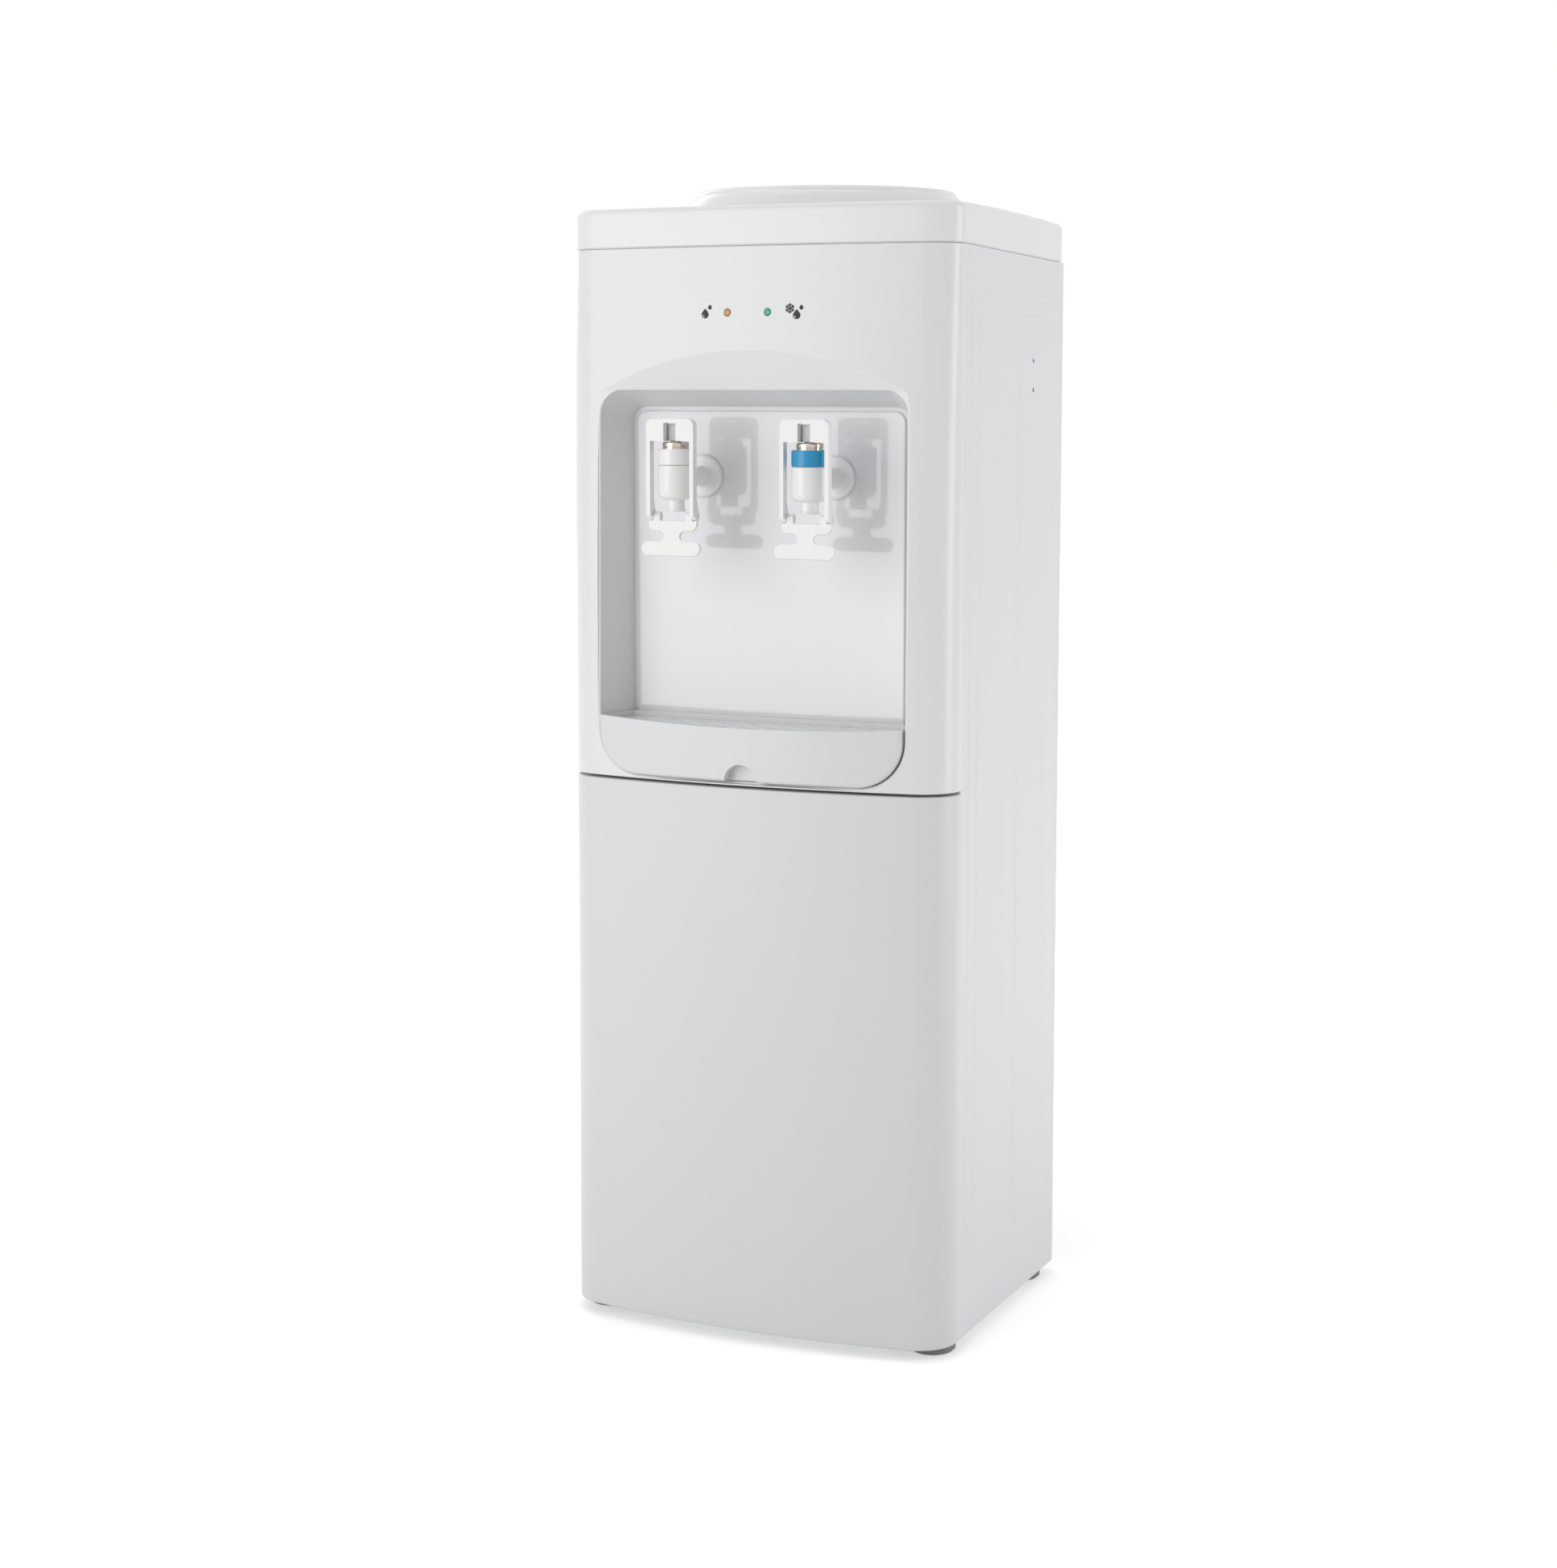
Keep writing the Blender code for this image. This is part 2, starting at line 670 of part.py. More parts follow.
def turned(profile, steps, hollow=False):
    """A solid of revolution about +Z from (radius, height) points. A hollow profile is a closed loop."""
    shape = bmesh.new()
    layers = []
    for radius, height in profile:
        if radius == 0:
            layers.append([shape.verts.new((0, 0, height))])
        else:
            ring = circle((0, 0), radius, steps)
            layers.append([shape.verts.new((x, y, height)) for x, y in ring])
    pairs = list(zip(layers, layers[1:]))
    if hollow:
        pairs.append((layers[-1], layers[0]))
    for low, high in pairs:
        for here in range(steps):
            there = (here + 1) % steps
            corners = [low[here % len(low)], low[there % len(low)]]
            corners += [high[there % len(high)], high[here % len(high)]]
            shape.faces.new(list(dict.fromkeys(corners)))
    return shape


def moved(shape, offset):
    bmesh.ops.translate(shape, verts=shape.verts, vec=Vector(offset))
    return shape


def rotated(shape, angle, axis, centre=(0, 0, 0)):
    turn = Matrix.Rotation(angle, 3, axis)
    bmesh.ops.rotate(shape, verts=shape.verts, cent=Vector(centre), matrix=turn)
    return shape


def rod(start, end, radius, steps):
    """A round bar between two points."""
    start, end = Vector(start), Vector(end)
    shape = turned([(0, 0), (radius, 0), (radius, (end - start).length), (0, (end - start).length)], steps)
    turn = (end - start).to_track_quat("Z", "Y").to_matrix()
    bmesh.ops.rotate(shape, verts=shape.verts, cent=Vector(), matrix=turn)
    return moved(shape, start)


def to_rear(shape, place):
    """Turns a shape built along +Z to run along +Y, and puts its foot at a place."""
    return moved(rotated(shape, -QUARTER_TURN, "X"), place)


def bent_path(corners, radius, steps):
    """A route through corners, each rounded with an arc."""
    points = [Vector(corners[0])]
    for before, corner, after in zip(corners, corners[1:], corners[2:]):
        corner = Vector(corner)
        back = (Vector(before) - corner).normalized()
        ahead = (Vector(after) - corner).normalized()
        opening = back.angle(ahead)
        reach = radius / math.tan(opening / 2)
        centre = corner + (back + ahead).normalized() * radius / math.sin(opening / 2)
        start, end = corner + back * reach - centre, corner + ahead * reach - centre
        start, end = start.normalized(), end.normalized()
        for step in range(steps + 1):
            points.append(centre + start.slerp(end, step / steps) * radius)
    points.append(Vector(corners[-1]))
    return points


def tube(path, radius, sides, bore=0):
    """A tube swept along a path, with flat ends, and with a bore if one is given."""
    path = [Vector(point) for point in path]
    tangents = []
    for here, point in enumerate(path):
        before, after = path[max(here - 1, 0)], path[min(here + 1, len(path) - 1)]
        tangents.append((after - before).normalized())
    side = tangents[0].orthogonal().normalized()
    frames = []
    for here, tangent in enumerate(tangents):
        if here:
            side = (tangents[here - 1].rotation_difference(tangent) @ side).normalized()
        frames.append((side, tangent.cross(side)))

    def rings(size):
        for point, (across, along) in zip(path, frames):
            yield [point + across * x + along * y for x, y in circle((0, 0), size, sides)]

    if not bore:
        return loft(list(rings(radius)))
    loop = list(rings(radius)) + list(rings(bore))[::-1]
    shape = bmesh.new()
    layers = [[shape.verts.new(point) for point in ring] for ring in loop]
    for low, high in zip(layers, layers[1:] + layers[:1]):
        for here in range(sides):
            there = (here + 1) % sides
            shape.faces.new((low[here], low[there], high[there], high[here]))
    return shape


def depth_share(height):
    """How deep the bowed front still is at a height, as it leans back towards the top."""
    climb = max(0, height - LEAN_START) / (UPPER_HIGH - LEAN_START)
    return 1 - LEAN * climb ** 2 / FRONT_REACH


def front_outline(inset, share=1.0):
    """The bowed front in plan, from its left rear end round to its right one."""
    corner_x = HALF_WIDTH - CORNER_RADIUS
    corner_y = BOW_CENTRE_Y - math.sqrt((BOW_RADIUS - CORNER_RADIUS) ** 2 - corner_x ** 2)
    spread = math.atan2(corner_x, BOW_CENTRE_Y - corner_y)
    down = -QUARTER_TURN
    left = arc((-corner_x, corner_y), CORNER_RADIUS - inset, 2 * down, down - spread, CORNER_STEPS)
    middle = list(arc((0, BOW_CENTRE_Y), BOW_RADIUS - inset, down - spread, down + spread, BOW_STEPS))
    right = arc((corner_x, corner_y), CORNER_RADIUS - inset, down + spread, 0, CORNER_STEPS)
    return [(x, y * share) for x, y in (*left, *middle[1:-1], *right)]


def front_solid(inset, low, high, rear):
    """The space behind the bowed front, from one height to another and back to a plane."""
    half = HALF_WIDTH - inset
    levels = [low]
    for step in range(LEAN_STEPS):
        level = LEAN_START + (high - LEAN_START) * step / LEAN_STEPS
        if low < level < high:
            levels.append(level)
    rings = []
    for level in levels + [high]:
        outline = [(-half, rear), *front_outline(inset, depth_share(level)), (half, rear)]
        rings.append([(x, y, level) for x, y in outline])
    return loft(rings)


def front_y(height):
    """The middle of the bowed front at a height."""
    return -FRONT_REACH * depth_share(height)


def lower_front_panel():
    low, high = 0, LOWER_PANEL_HEIGHT
    made = piece("lower_front_panel", front_solid(0, low, high, 0), lower_plastic())
    cut(made, front_solid(MOULDED_WALL, low - OVERRUN, high - MOULDED_WALL, OVERRUN))


def alcove_space(grow, rear):
    """The alcove as a block: straight in front, narrowing and dropping towards its back wall."""
    fall = (ALCOVE_CEILING_FRONT - ALCOVE_CEILING_BACK) / ALCOVE_DEPTH
    lip_y = -(CORNER_REACH + LIP_DEPTH)
    stations = [(-FRONT_REACH - OVERRUN, LIP_FLARE)]
    for step in range(LIP_STEPS + 1):
        angle = QUARTER_TURN * step / LIP_STEPS
        stations.append((lip_y + LIP_DEPTH * math.sin(angle), LIP_FLARE * (1 - math.sin(angle))))
    stations += [(ALCOVE_BACK_Y, 0), (rear, 0)]
    rings = []
    for y, flare in stations:
        back = max(0, y - ALCOVE_EDGE_Y)
        share = back / ALCOVE_DEPTH
        radius = ALCOVE_TOP_RADIUS + (ALCOVE_TOP_RADIUS_BACK - ALCOVE_TOP_RADIUS) * min(share, 1)
        outline = rounded_box(
            ALCOVE_HALF_FRONT - ALCOVE_SIDE_SLOPE * back + flare + grow,
            ALCOVE_LOW - grow,
            ALCOVE_CEILING_FRONT - fall * back + grow,
            ALCOVE_LOW_RADIUS + grow,
            radius + grow,
            ALCOVE_CORNER_STEPS,
        )
        rings.append([(x, y, z) for x, z in outline])
    return loft(rings)


def brow_space(grow):
    """The block in front of the slanted brow. Its rear plane makes the arch in the bowed front."""
    half = ALCOVE_HALF_FRONT + LIP_FLARE + grow
    low = ALCOVE_CEILING_FRONT - ALCOVE_TOP_RADIUS - grow
    shoulder = ALCOVE_CEILING_FRONT + MOULDED_WALL
    top = ALCOVE_CEILING_FRONT + BROW_REACH
    right = [(half, low)]
    right += arc(
        (half - BROW_RADIUS, shoulder - BROW_RADIUS + grow), BROW_RADIUS, 0, QUARTER_TURN, CORNER_STEPS
    )
    right += [(half - BROW_RADIUS - BROW_SIDE_TAPER, top)]
    outline = right + [(-x, z) for x, z in reversed(right)]
    front = [(x, -FRONT_REACH - OVERRUN, z) for x, z in outline]
    rear = [(x, ALCOVE_EDGE_Y - BROW_SLOPE * (z - ALCOVE_CEILING_FRONT) + grow, z) for x, z in outline]
    return loft([front, rear])


def light_places():
    return [("amber_light", -LIGHT_PITCH / 2), ("green_light", LIGHT_PITCH / 2)]


def light_front_y():
    return front_y(LIGHT_Z)


def board_front_y():
    return light_front_y() + MOULDED_WALL + BOARD_STANDOFF


def upper_front_panel():
    solid = front_solid(0, UPPER_LOW, UPPER_HIGH, ALCOVE_BACK_Y)
    made = piece("upper_front_panel", solid, front_plastic())
    inside = front_solid(MOULDED_WALL, UPPER_LOW + MOULDED_WALL, UPPER_HIGH - MOULDED_WALL, OVERRUN)
    hollow = cut(made, inside)
    rear_low = (-HALF_WIDTH - OVERRUN, 0, UPPER_LOW - OVERRUN)
    join(hollow, block(rear_low, (HALF_WIDTH + OVERRUN, OVERRUN, UPPER_HIGH + OVERRUN)))
    cut(hollow, alcove_space(MOULDED_WALL, OVERRUN * 2))
    cut(hollow, brow_space(MOULDED_WALL))
    cut(made, alcove_space(0, OVERRUN))
    cut(made, brow_space(0))
    for side in (-1, 1):
        x = side * (BOARD_WIDTH / 2 - BOARD_POST_RADIUS * 2)
        start = (x, light_front_y() + MOULDED_WALL / 2, LIGHT_Z)
        join(made, rod(start, (x, board_front_y() - FIT, LIGHT_Z), BOARD_POST_RADIUS, PIPE_STEPS))
    for name, x in light_places():
        start = (x, light_front_y() - OVERRUN, LIGHT_Z)
        end = (x, board_front_y() - FIT, LIGHT_Z)
        cut(made, rod(start, end, LIGHT_RADIUS + FIT, LIGHT_STEPS))


def tap_wall():
    """The plate that closes the alcove, with a raised field that stands inside a thin groove."""
    half = ALCOVE_HALF_BACK + TAP_WALL_MARGIN
    low, high = UPPER_LOW + MOULDED_WALL + FIT, ALCOVE_CEILING_BACK + TAP_WALL_MARGIN
    outline = rounded_box(half, low, high, TAP_WALL_RADIUS, TAP_WALL_RADIUS, ALCOVE_CORNER_STEPS)
    made = piece("tap_wall", facing(outline, TAP_WALL_Y, TAP_WALL_REAR_Y), alcove_plastic())
    field = rounded_box(
        ALCOVE_HALF_BACK - TAP_WALL_GROOVE,
        ALCOVE_LOW + TAP_WALL_GROOVE,
        ALCOVE_CEILING_BACK - TAP_WALL_GROOVE,
        ALCOVE_LOW_RADIUS,
        TAP_WALL_RADIUS,
        ALCOVE_CORNER_STEPS,
    )
    join(made, facing(field, TAP_WALL_FACE_Y, TAP_WALL_Y + MOULDED_WALL / 2))
    for side in (-1, 1):
        x = side * TAP_X
        hole = rod((x, -OVERRUN, TAP_PIPE_Z), (x, OVERRUN, TAP_PIPE_Z), TAP_PIPE_RADIUS + FIT, TAP_STEPS)
        cut(made, hole)


def indicator_lights():
    for name, x in light_places():
        finish = amber_lens() if x < 0 else green_lens()
        flange = LIGHT_RADIUS + FIT + LIGHT_FLANGE
        rear = board_front_y() - FIT
        length = rear - light_front_y()
        dome = [
            (LIGHT_RADIUS * math.cos(angle), length + LIGHT_PROUD - LIGHT_RADIUS * (1 - math.sin(angle)))
            for angle in (QUARTER_TURN * step / CORNER_STEPS for step in range(CORNER_STEPS))
        ]
        profile = [
            (0, 0), (flange, 0), (flange, LIGHT_FLANGE_THICKNESS), (LIGHT_RADIUS, LIGHT_FLANGE_THICKNESS)
        ]
        profile += dome + [(0, length + LIGHT_PROUD)]
        shape = rotated(turned(profile, LIGHT_STEPS), QUARTER_TURN, "X")
        piece(name, moved(shape, (x, rear, LIGHT_Z)), finish)
    low = (-BOARD_WIDTH / 2, board_front_y(), LIGHT_Z - BOARD_HEIGHT / 2)
    high = (BOARD_WIDTH / 2, board_front_y() + BOARD_THICKNESS, LIGHT_Z + BOARD_HEIGHT / 2)
    piece("indicator_board", block(low, high), circuit_board())


def cover_outline(inset):
    """The cover in plan: the bowed front, straight sides and a rear edge with rounded corners."""
    share = (FRONT_REACH * depth_share(UPPER_HIGH) - COVER_SETBACK) / (FRONT_REACH + COVER_PROUD)
    half = HALF_WIDTH + COVER_PROUD - inset
    rear = SIDE_DEPTH + COVER_PROUD - inset
    radius = COVER_REAR_RADIUS - inset
    front = [(x, y * share) for x, y in front_outline(inset - COVER_PROUD)]
    right = arc((half - radius, rear - radius), radius, 0, QUARTER_TURN, CORNER_STEPS)
    left = arc((radius - half, rear - radius), radius, QUARTER_TURN, 2 * QUARTER_TURN, CORNER_STEPS)
    return [*front, *right, *left]


def cover_level(y, height):
    """The cover's edges fall gently towards the rear."""
    back = max(0, y) / SIDE_DEPTH
    return height - COVER_REAR_DROP * back


def cover_ring(inset, height):
    return [(x, y, cover_level(y, height)) for x, y in cover_outline(inset)]


def cover_solid(inset, low, high, radius):
    rings = [cover_ring(inset, low)]
    for step in range(COVER_EDGE_STEPS + 1):
        angle = QUARTER_TURN * step / COVER_EDGE_STEPS
        rings.append(
            cover_ring(inset + radius * (1 - math.cos(angle)), high - radius * (1 - math.sin(angle)))
        )
    return loft(rings)


def top_cover():
    """A deep moulded lid. Its collar takes the bottle's shoulder, and its ledge carries the seat."""
    radius = COVER_EDGE_RADIUS
    made = piece("top_cover", cover_solid(0, COVER_LOW, COVER_HIGH, radius), cover_plastic())
    inside = cover_solid(MOULDED_WALL, COVER_LOW - OVERRUN, COVER_HIGH - MOULDED_WALL, radius / 2)
    cut(made, inside)
    root = COVER_HIGH - COVER_REAR_DROP - MOULDED_WALL
    slope = COLLAR_BASE_RADIUS - COLLAR_TOP_RADIUS
    core = LEDGE_RADIUS - LEDGE_THICKNESS
    collar = [
        (core, root),
        (COLLAR_BASE_RADIUS, root),
        (COLLAR_BASE_RADIUS, COVER_HIGH - COVER_REAR_DROP / 2),
        (COLLAR_BASE_RADIUS - slope / 2, COLLAR_HIGH - COLLAR_EDGE * 2),
    ]
    centre = COLLAR_TOP_RADIUS - COLLAR_EDGE
    for r, z in arc((centre, COLLAR_HIGH - COLLAR_EDGE), COLLAR_EDGE, 0, QUARTER_TURN, COVER_EDGE_STEPS):
        collar.append((r, z))
    collar += [
        (COLLAR_BORE_RADIUS + COLLAR_EDGE / 2, COLLAR_HIGH),
        (COLLAR_BORE_RADIUS, COLLAR_HIGH - COLLAR_EDGE / 2),
        (COLLAR_BORE_RADIUS, COVER_HIGH + LEDGE_THICKNESS),
        (core, COVER_HIGH + LEDGE_THICKNESS),
    ]
    place = (0, COLLAR_Y, 0)
    join(made, moved(turned(collar, COLLAR_STEPS, hollow=True), place))
    bore = rod((0, COLLAR_Y, COVER_LOW), (0, COLLAR_Y, COLLAR_HIGH + OVERRUN), LEDGE_RADIUS, COLLAR_STEPS)
    cut(made, bore)


def bottle_seat():
    """A lift-out funnel with a well for the bottle's neck and a hollow probe that opens the cap."""
    origin = (0, COLLAR_Y, SEAT_Z)
    rim = COLLAR_BORE_RADIUS - FIT
    throat = WELL_RADIUS + SEAT_WALL
    cone_low = SEAT_Z - SEAT_CONE_DROP
    floor = cone_low - WELL_DEPTH
    shoulder = LEDGE_RADIUS - SEAT_WALL
    profile = [
        (PROBE_BORE_RADIUS, floor),
        (throat, floor),
        (throat, cone_low - SEAT_WALL),
        (shoulder, SEAT_Z - SEAT_WALL),
        (shoulder, SEAT_Z),
        (rim, SEAT_Z),
        (rim, SEAT_Z + SEAT_RIM),
        (shoulder + SEAT_WALL, SEAT_Z + SEAT_RIM),
        (shoulder - SEAT_WALL, SEAT_Z),
        (WELL_RADIUS, cone_low),
        (WELL_RADIUS, floor + SEAT_WALL),
        (PROBE_RADIUS, floor + SEAT_WALL),
        (PROBE_RADIUS, floor + PROBE_HEIGHT - PROBE_RADIUS),
        (PROBE_BORE_RADIUS, floor + PROBE_HEIGHT),
    ]
    shape = moved(turned(profile, COLLAR_STEPS, hollow=True), (0, COLLAR_Y, 0))
    made = piece("bottle_seat", shape, tap_plastic(), origin=origin)
    half = PROBE_WINDOW / 2
    for turn in range(WELL_WINDOWS // 2):
        low = (-throat - OVERRUN, -half, floor + SEAT_WALL)
        high = (throat + OVERRUN, half, floor + SEAT_WALL + PROBE_WINDOW)
        bar = rotated(block(low, high), QUARTER_TURN * turn, "Z")
        cut(made, moved(bar, (0, COLLAR_Y, 0)))


def stamp_fields():
    half_gap = STAMP_MIDDLE_GAP / 2
    return ((STAMP_FRONT_Y, STAMP_MIDDLE_Y - half_gap), (STAMP_MIDDLE_Y + half_gap, STAMP_REAR_Y))


def stamped(y, z):
    """How far the side sheet stands out at a point, over two long shallow fields."""
    inside_z = STAMP_LOW < z < STAMP_HIGH
    inside_y = any(low < y < high for low, high in stamp_fields())
    return STAMP_DEPTH if inside_z and inside_y else 0


def side_sheet(name, side):
    """A steel sheet folded in at the front and the rear, with two stamped fields."""
    folds = []
    for low, high in stamp_fields():
        folds += [low, low + STAMP_SLOPE, high - STAMP_SLOPE, high]
    levels = [0, STAMP_LOW, STAMP_LOW + STAMP_SLOPE, STAMP_HIGH - STAMP_SLOPE, STAMP_HIGH]
    front, rear, outer = SIDE_GAP, SIDE_DEPTH, HALF_WIDTH
    rings = []
    for z in levels + [COVER_LOW]:
        top = z == COVER_LOW
        skin = [(outer - STAMP_DEPTH + stamped(y, z), y) for y in folds]
        outside = [
            (outer - FRONT_RETURN, front),
            (outer - STAMP_DEPTH, front),
            *skin,
            (outer - STAMP_DEPTH, rear),
        ]
        outside += [(outer - REAR_RETURN, rear), (outer - REAR_RETURN, rear - SHEET)]
        inner_skin = [(x - SHEET, y) for x, y in reversed(skin)]
        inside = [(outer - STAMP_DEPTH - SHEET, rear - SHEET), *inner_skin]
        inside += [(outer - STAMP_DEPTH - SHEET, front + SHEET), (outer - FRONT_RETURN, front + SHEET)]
        drop = SIDE_TOP_GAP if top else 0
        ring = []
        for x, y in outside + inside:
            level = cover_level(y, z) - drop if top else z
            ring.append((side * x, y, level))
        rings.append(ring)
    return piece(name, loft(rings), painted_steel())


def side_sheets():
    side_sheet("left_side_sheet", -1)
    right = side_sheet("right_side_sheet", 1)
    for drop in (0, CUP_HOLDER_PITCH):
        z = CUP_HOLDER_Z - drop
        start = (HALF_WIDTH - OVERRUN, CUP_HOLDER_Y, z)
        cut(right, rod(start, (HALF_WIDTH + OVERRUN, CUP_HOLDER_Y, z), CUP_HOLDER_RADIUS, PIPE_STEPS // 2))


def sheet_inner_half():
    """Half the room between the side sheets, less the fit."""
    return HALF_WIDTH - STAMP_DEPTH - SHEET - FIT


def foot_places():
    return [(x, y) for y in (FOOT_FRONT_Y, FOOT_REAR_Y) for x in (-FOOT_X, FOOT_X)]


def leg_places():
    for leg in range(LEGS):
        angle = QUARTER_TURN + FULL_TURN * leg / LEGS
        yield (LEG_CIRCLE_RADIUS * math.cos(angle), COMPRESSOR_Y + LEG_CIRCLE_RADIUS * math.sin(angle))


def base_plate():
    """Carries the feet, the compressor and the side sheets."""
    half = sheet_inner_half()
    rear = SIDE_DEPTH - SHEET - FIT
    behind_fold = SIDE_GAP + SHEET + FIT
    neck = HALF_WIDTH - FRONT_RETURN - FIT
    nose = [(x, y) for x, y in front_outline(HALF_WIDTH - neck) if y < 0]
    outline = [(-half, rear), (-half, behind_fold), (-neck, behind_fold), *nose]
    outline += [(neck, behind_fold), (half, behind_fold), (half, rear)]
    made = piece("base_plate", upright(outline, BASE_LIFT, BASE_TOP), galvanised_steel())
    for x, y in foot_places():
        cut(made, rod((x, y, -OVERRUN), (x, y, OVERRUN), FOOT_STUD_RADIUS + FIT, PIPE_STEPS))
    for x, y in leg_places():
        cut(made, rod((x, y, -OVERRUN), (x, y, OVERRUN), GROMMET_BORE_RADIUS, PIPE_STEPS // 2))


def feet():
    seat = BASE_LIFT - FIT
    profile = [
        (0, -FOOT_HEIGHT),
        (FOOT_RADIUS - FOOT_TAPER, -FOOT_HEIGHT),
        (FOOT_RADIUS, -FOOT_HEIGHT + FOOT_TAPER),
        (FOOT_RADIUS, -FIT),
        (FOOT_BOSS_RADIUS, -FIT),
        (FOOT_BOSS_RADIUS, seat),
        (FOOT_STUD_RADIUS, seat),
        (FOOT_STUD_RADIUS, seat + FOOT_STUD),
        (0, seat + FOOT_STUD),
    ]
    names = ("front_left_foot", "front_right_foot", "rear_left_foot", "rear_right_foot")
    for name, (x, y) in zip(names, foot_places()):
        piece(name, moved(turned(profile, FOOT_STEPS), (x, y, 0)), foot_plastic(), origin=(x, y, 0))


def back_panel():
    half = sheet_inner_half()
    made = piece(
        "back_panel",
        block((-half, BACK_INNER_Y, BACK_LOW), (half, BACK_FACE_Y, BACK_HIGH)),
        painted_steel(),
    )
    holes = [
        (DRAIN_X, DRAIN_Z, DRAIN_RADIUS + FIT),
        (GLAND_X, GLAND_Z, GLAND_BARREL_RADIUS + FIT),
        (CONTROL_X, CONTROL_Z, THERMOSTAT_SHAFT_RADIUS + FIT),
    ]
    for x, z, radius in holes:
        start, end = (x, BACK_INNER_Y - OVERRUN, z), (x, BACK_FACE_Y + OVERRUN, z)
        cut(made, rod(start, end, radius, PIPE_STEPS))
    half_x, half_z = SWITCH_WIDTH / 2 + FIT, SWITCH_HEIGHT / 2 + FIT
    low = (-CONTROL_X - half_x, BACK_INNER_Y - OVERRUN, CONTROL_Z - half_z)
    cut(made, block(low, (-CONTROL_X + half_x, BACK_FACE_Y + OVERRUN, CONTROL_Z + half_z)))


def outlet_y():
    """The tap outlets stand straight behind the taps, just inside the tank's wall."""
    reach = TANK_RADIUS - OUTLET_MARGIN
    return COLLAR_Y - math.sqrt(reach ** 2 - TAP_X ** 2)


def outlet_places():
    """The tank's three outlets: ambient, cold and drain."""
    return [(-TAP_X, outlet_y()), (TAP_X, outlet_y()), (DRAIN_X, DRAIN_Y)]


def tank_shelf():
    half, rear = sheet_inner_half(), BACK_INNER_Y - FIT
    made = piece(
        "tank_shelf", block((-half, SHELF_FRONT_Y, SHELF_Z), (half, rear, SHELF_TOP)), galvanised_steel()
    )
    lip_high = (half, SHELF_FRONT_Y + SHEET, SHELF_TOP)
    join(made, block((-half, SHELF_FRONT_Y, SHELF_TOP - SHELF_LIP), lip_high))
    for x, y in outlet_places():
        hole = rod((x, y, SHELF_Z - OVERRUN), (x, y, SHELF_TOP + OVERRUN), OUTLET_RADIUS + FIT, PIPE_STEPS)
        cut(made, hole)
    x, y = coil_exit()
    hole = rod((x, y, SHELF_Z - OVERRUN), (x, y, SHELF_TOP + OVERRUN), COIL_TUBE_RADIUS + FIT, PIPE_STEPS)
    cut(made, hole)


def insulation_half(name, waste_front, waste_rear):
    """Half of a foam block round the tank and its coil, less the waste between two planes."""
    half = CAVITY_RADIUS + INSULATION_WALL
    centre = (0, (SHELF_FRONT_Y + BACK_INNER_Y) / 2)
    half_y = (BACK_INNER_Y - SHELF_FRONT_Y) / 2 - FIT
    outline = rounded_plan(centre, half, half_y, INSULATION_CORNER, CORNER_STEPS)
    made = piece(name, upright(outline, INSULATION_LOW, INSULATION_HIGH), foam())
    far, high = HALF_WIDTH + OVERRUN, INSULATION_HIGH + OVERRUN
    cut(made, block((-far, waste_front, INSULATION_LOW - OVERRUN), (far, waste_rear, high)))
    cut(made, rod((0, COLLAR_Y, TANK_LOW - FIT), (0, COLLAR_Y, high), CAVITY_RADIUS, TANK_STEPS))
    return made


def insulation():
    seam = INSULATION_SPLIT / 2
    front = insulation_half("front_insulation", COLLAR_Y - seam, SIDE_DEPTH + OVERRUN)
    rear = insulation_half("rear_insulation", -OVERRUN, COLLAR_Y + seam)
    for x, y in outlet_places():
        hole = rod(
            (x, y, INSULATION_LOW - OVERRUN), (x, y, TANK_LOW + OVERRUN), OUTLET_RADIUS + FIT, PIPE_STEPS
        )
        cut(front if y < COLLAR_Y else rear, hole)
    x, y = coil_exit()
    hole = rod(
        (x, y, INSULATION_LOW - OVERRUN), (x, y, TANK_LOW + COIL_LOW), COIL_TUBE_RADIUS + FIT, PIPE_STEPS
    )
    cut(rear, hole)


def water_tank():
    """An open stainless pot hung by its rim on the foam, with three outlets in its floor."""
    outer = TANK_RADIUS + TANK_WALL
    high = TANK_LOW + TANK_HEIGHT
    profile = [
        (0, TANK_LOW),
        (outer, TANK_LOW),
        (outer, high - TANK_WALL),
        (outer + TANK_FLANGE, high - TANK_WALL),
        (outer + TANK_FLANGE, high),
        (TANK_RADIUS, high),
        (TANK_RADIUS, TANK_LOW + TANK_WALL),
        (0, TANK_LOW + TANK_WALL),
    ]
    shape = moved(turned(profile, TANK_STEPS), (0, COLLAR_Y, 0))
    made = piece("water_tank", shape, stainless_steel())
    for x, y in outlet_places():
        join(made, rod((x, y, OUTLET_LOW), (x, y, TANK_LOW + TANK_WALL / 2), OUTLET_RADIUS, PIPE_STEPS))
    for x, y in outlet_places():
        low = (x, y, OUTLET_LOW - OVERRUN)
        cut(made, rod(low, (x, y, TANK_LOW + OVERRUN), OUTLET_BORE_RADIUS, PIPE_STEPS))


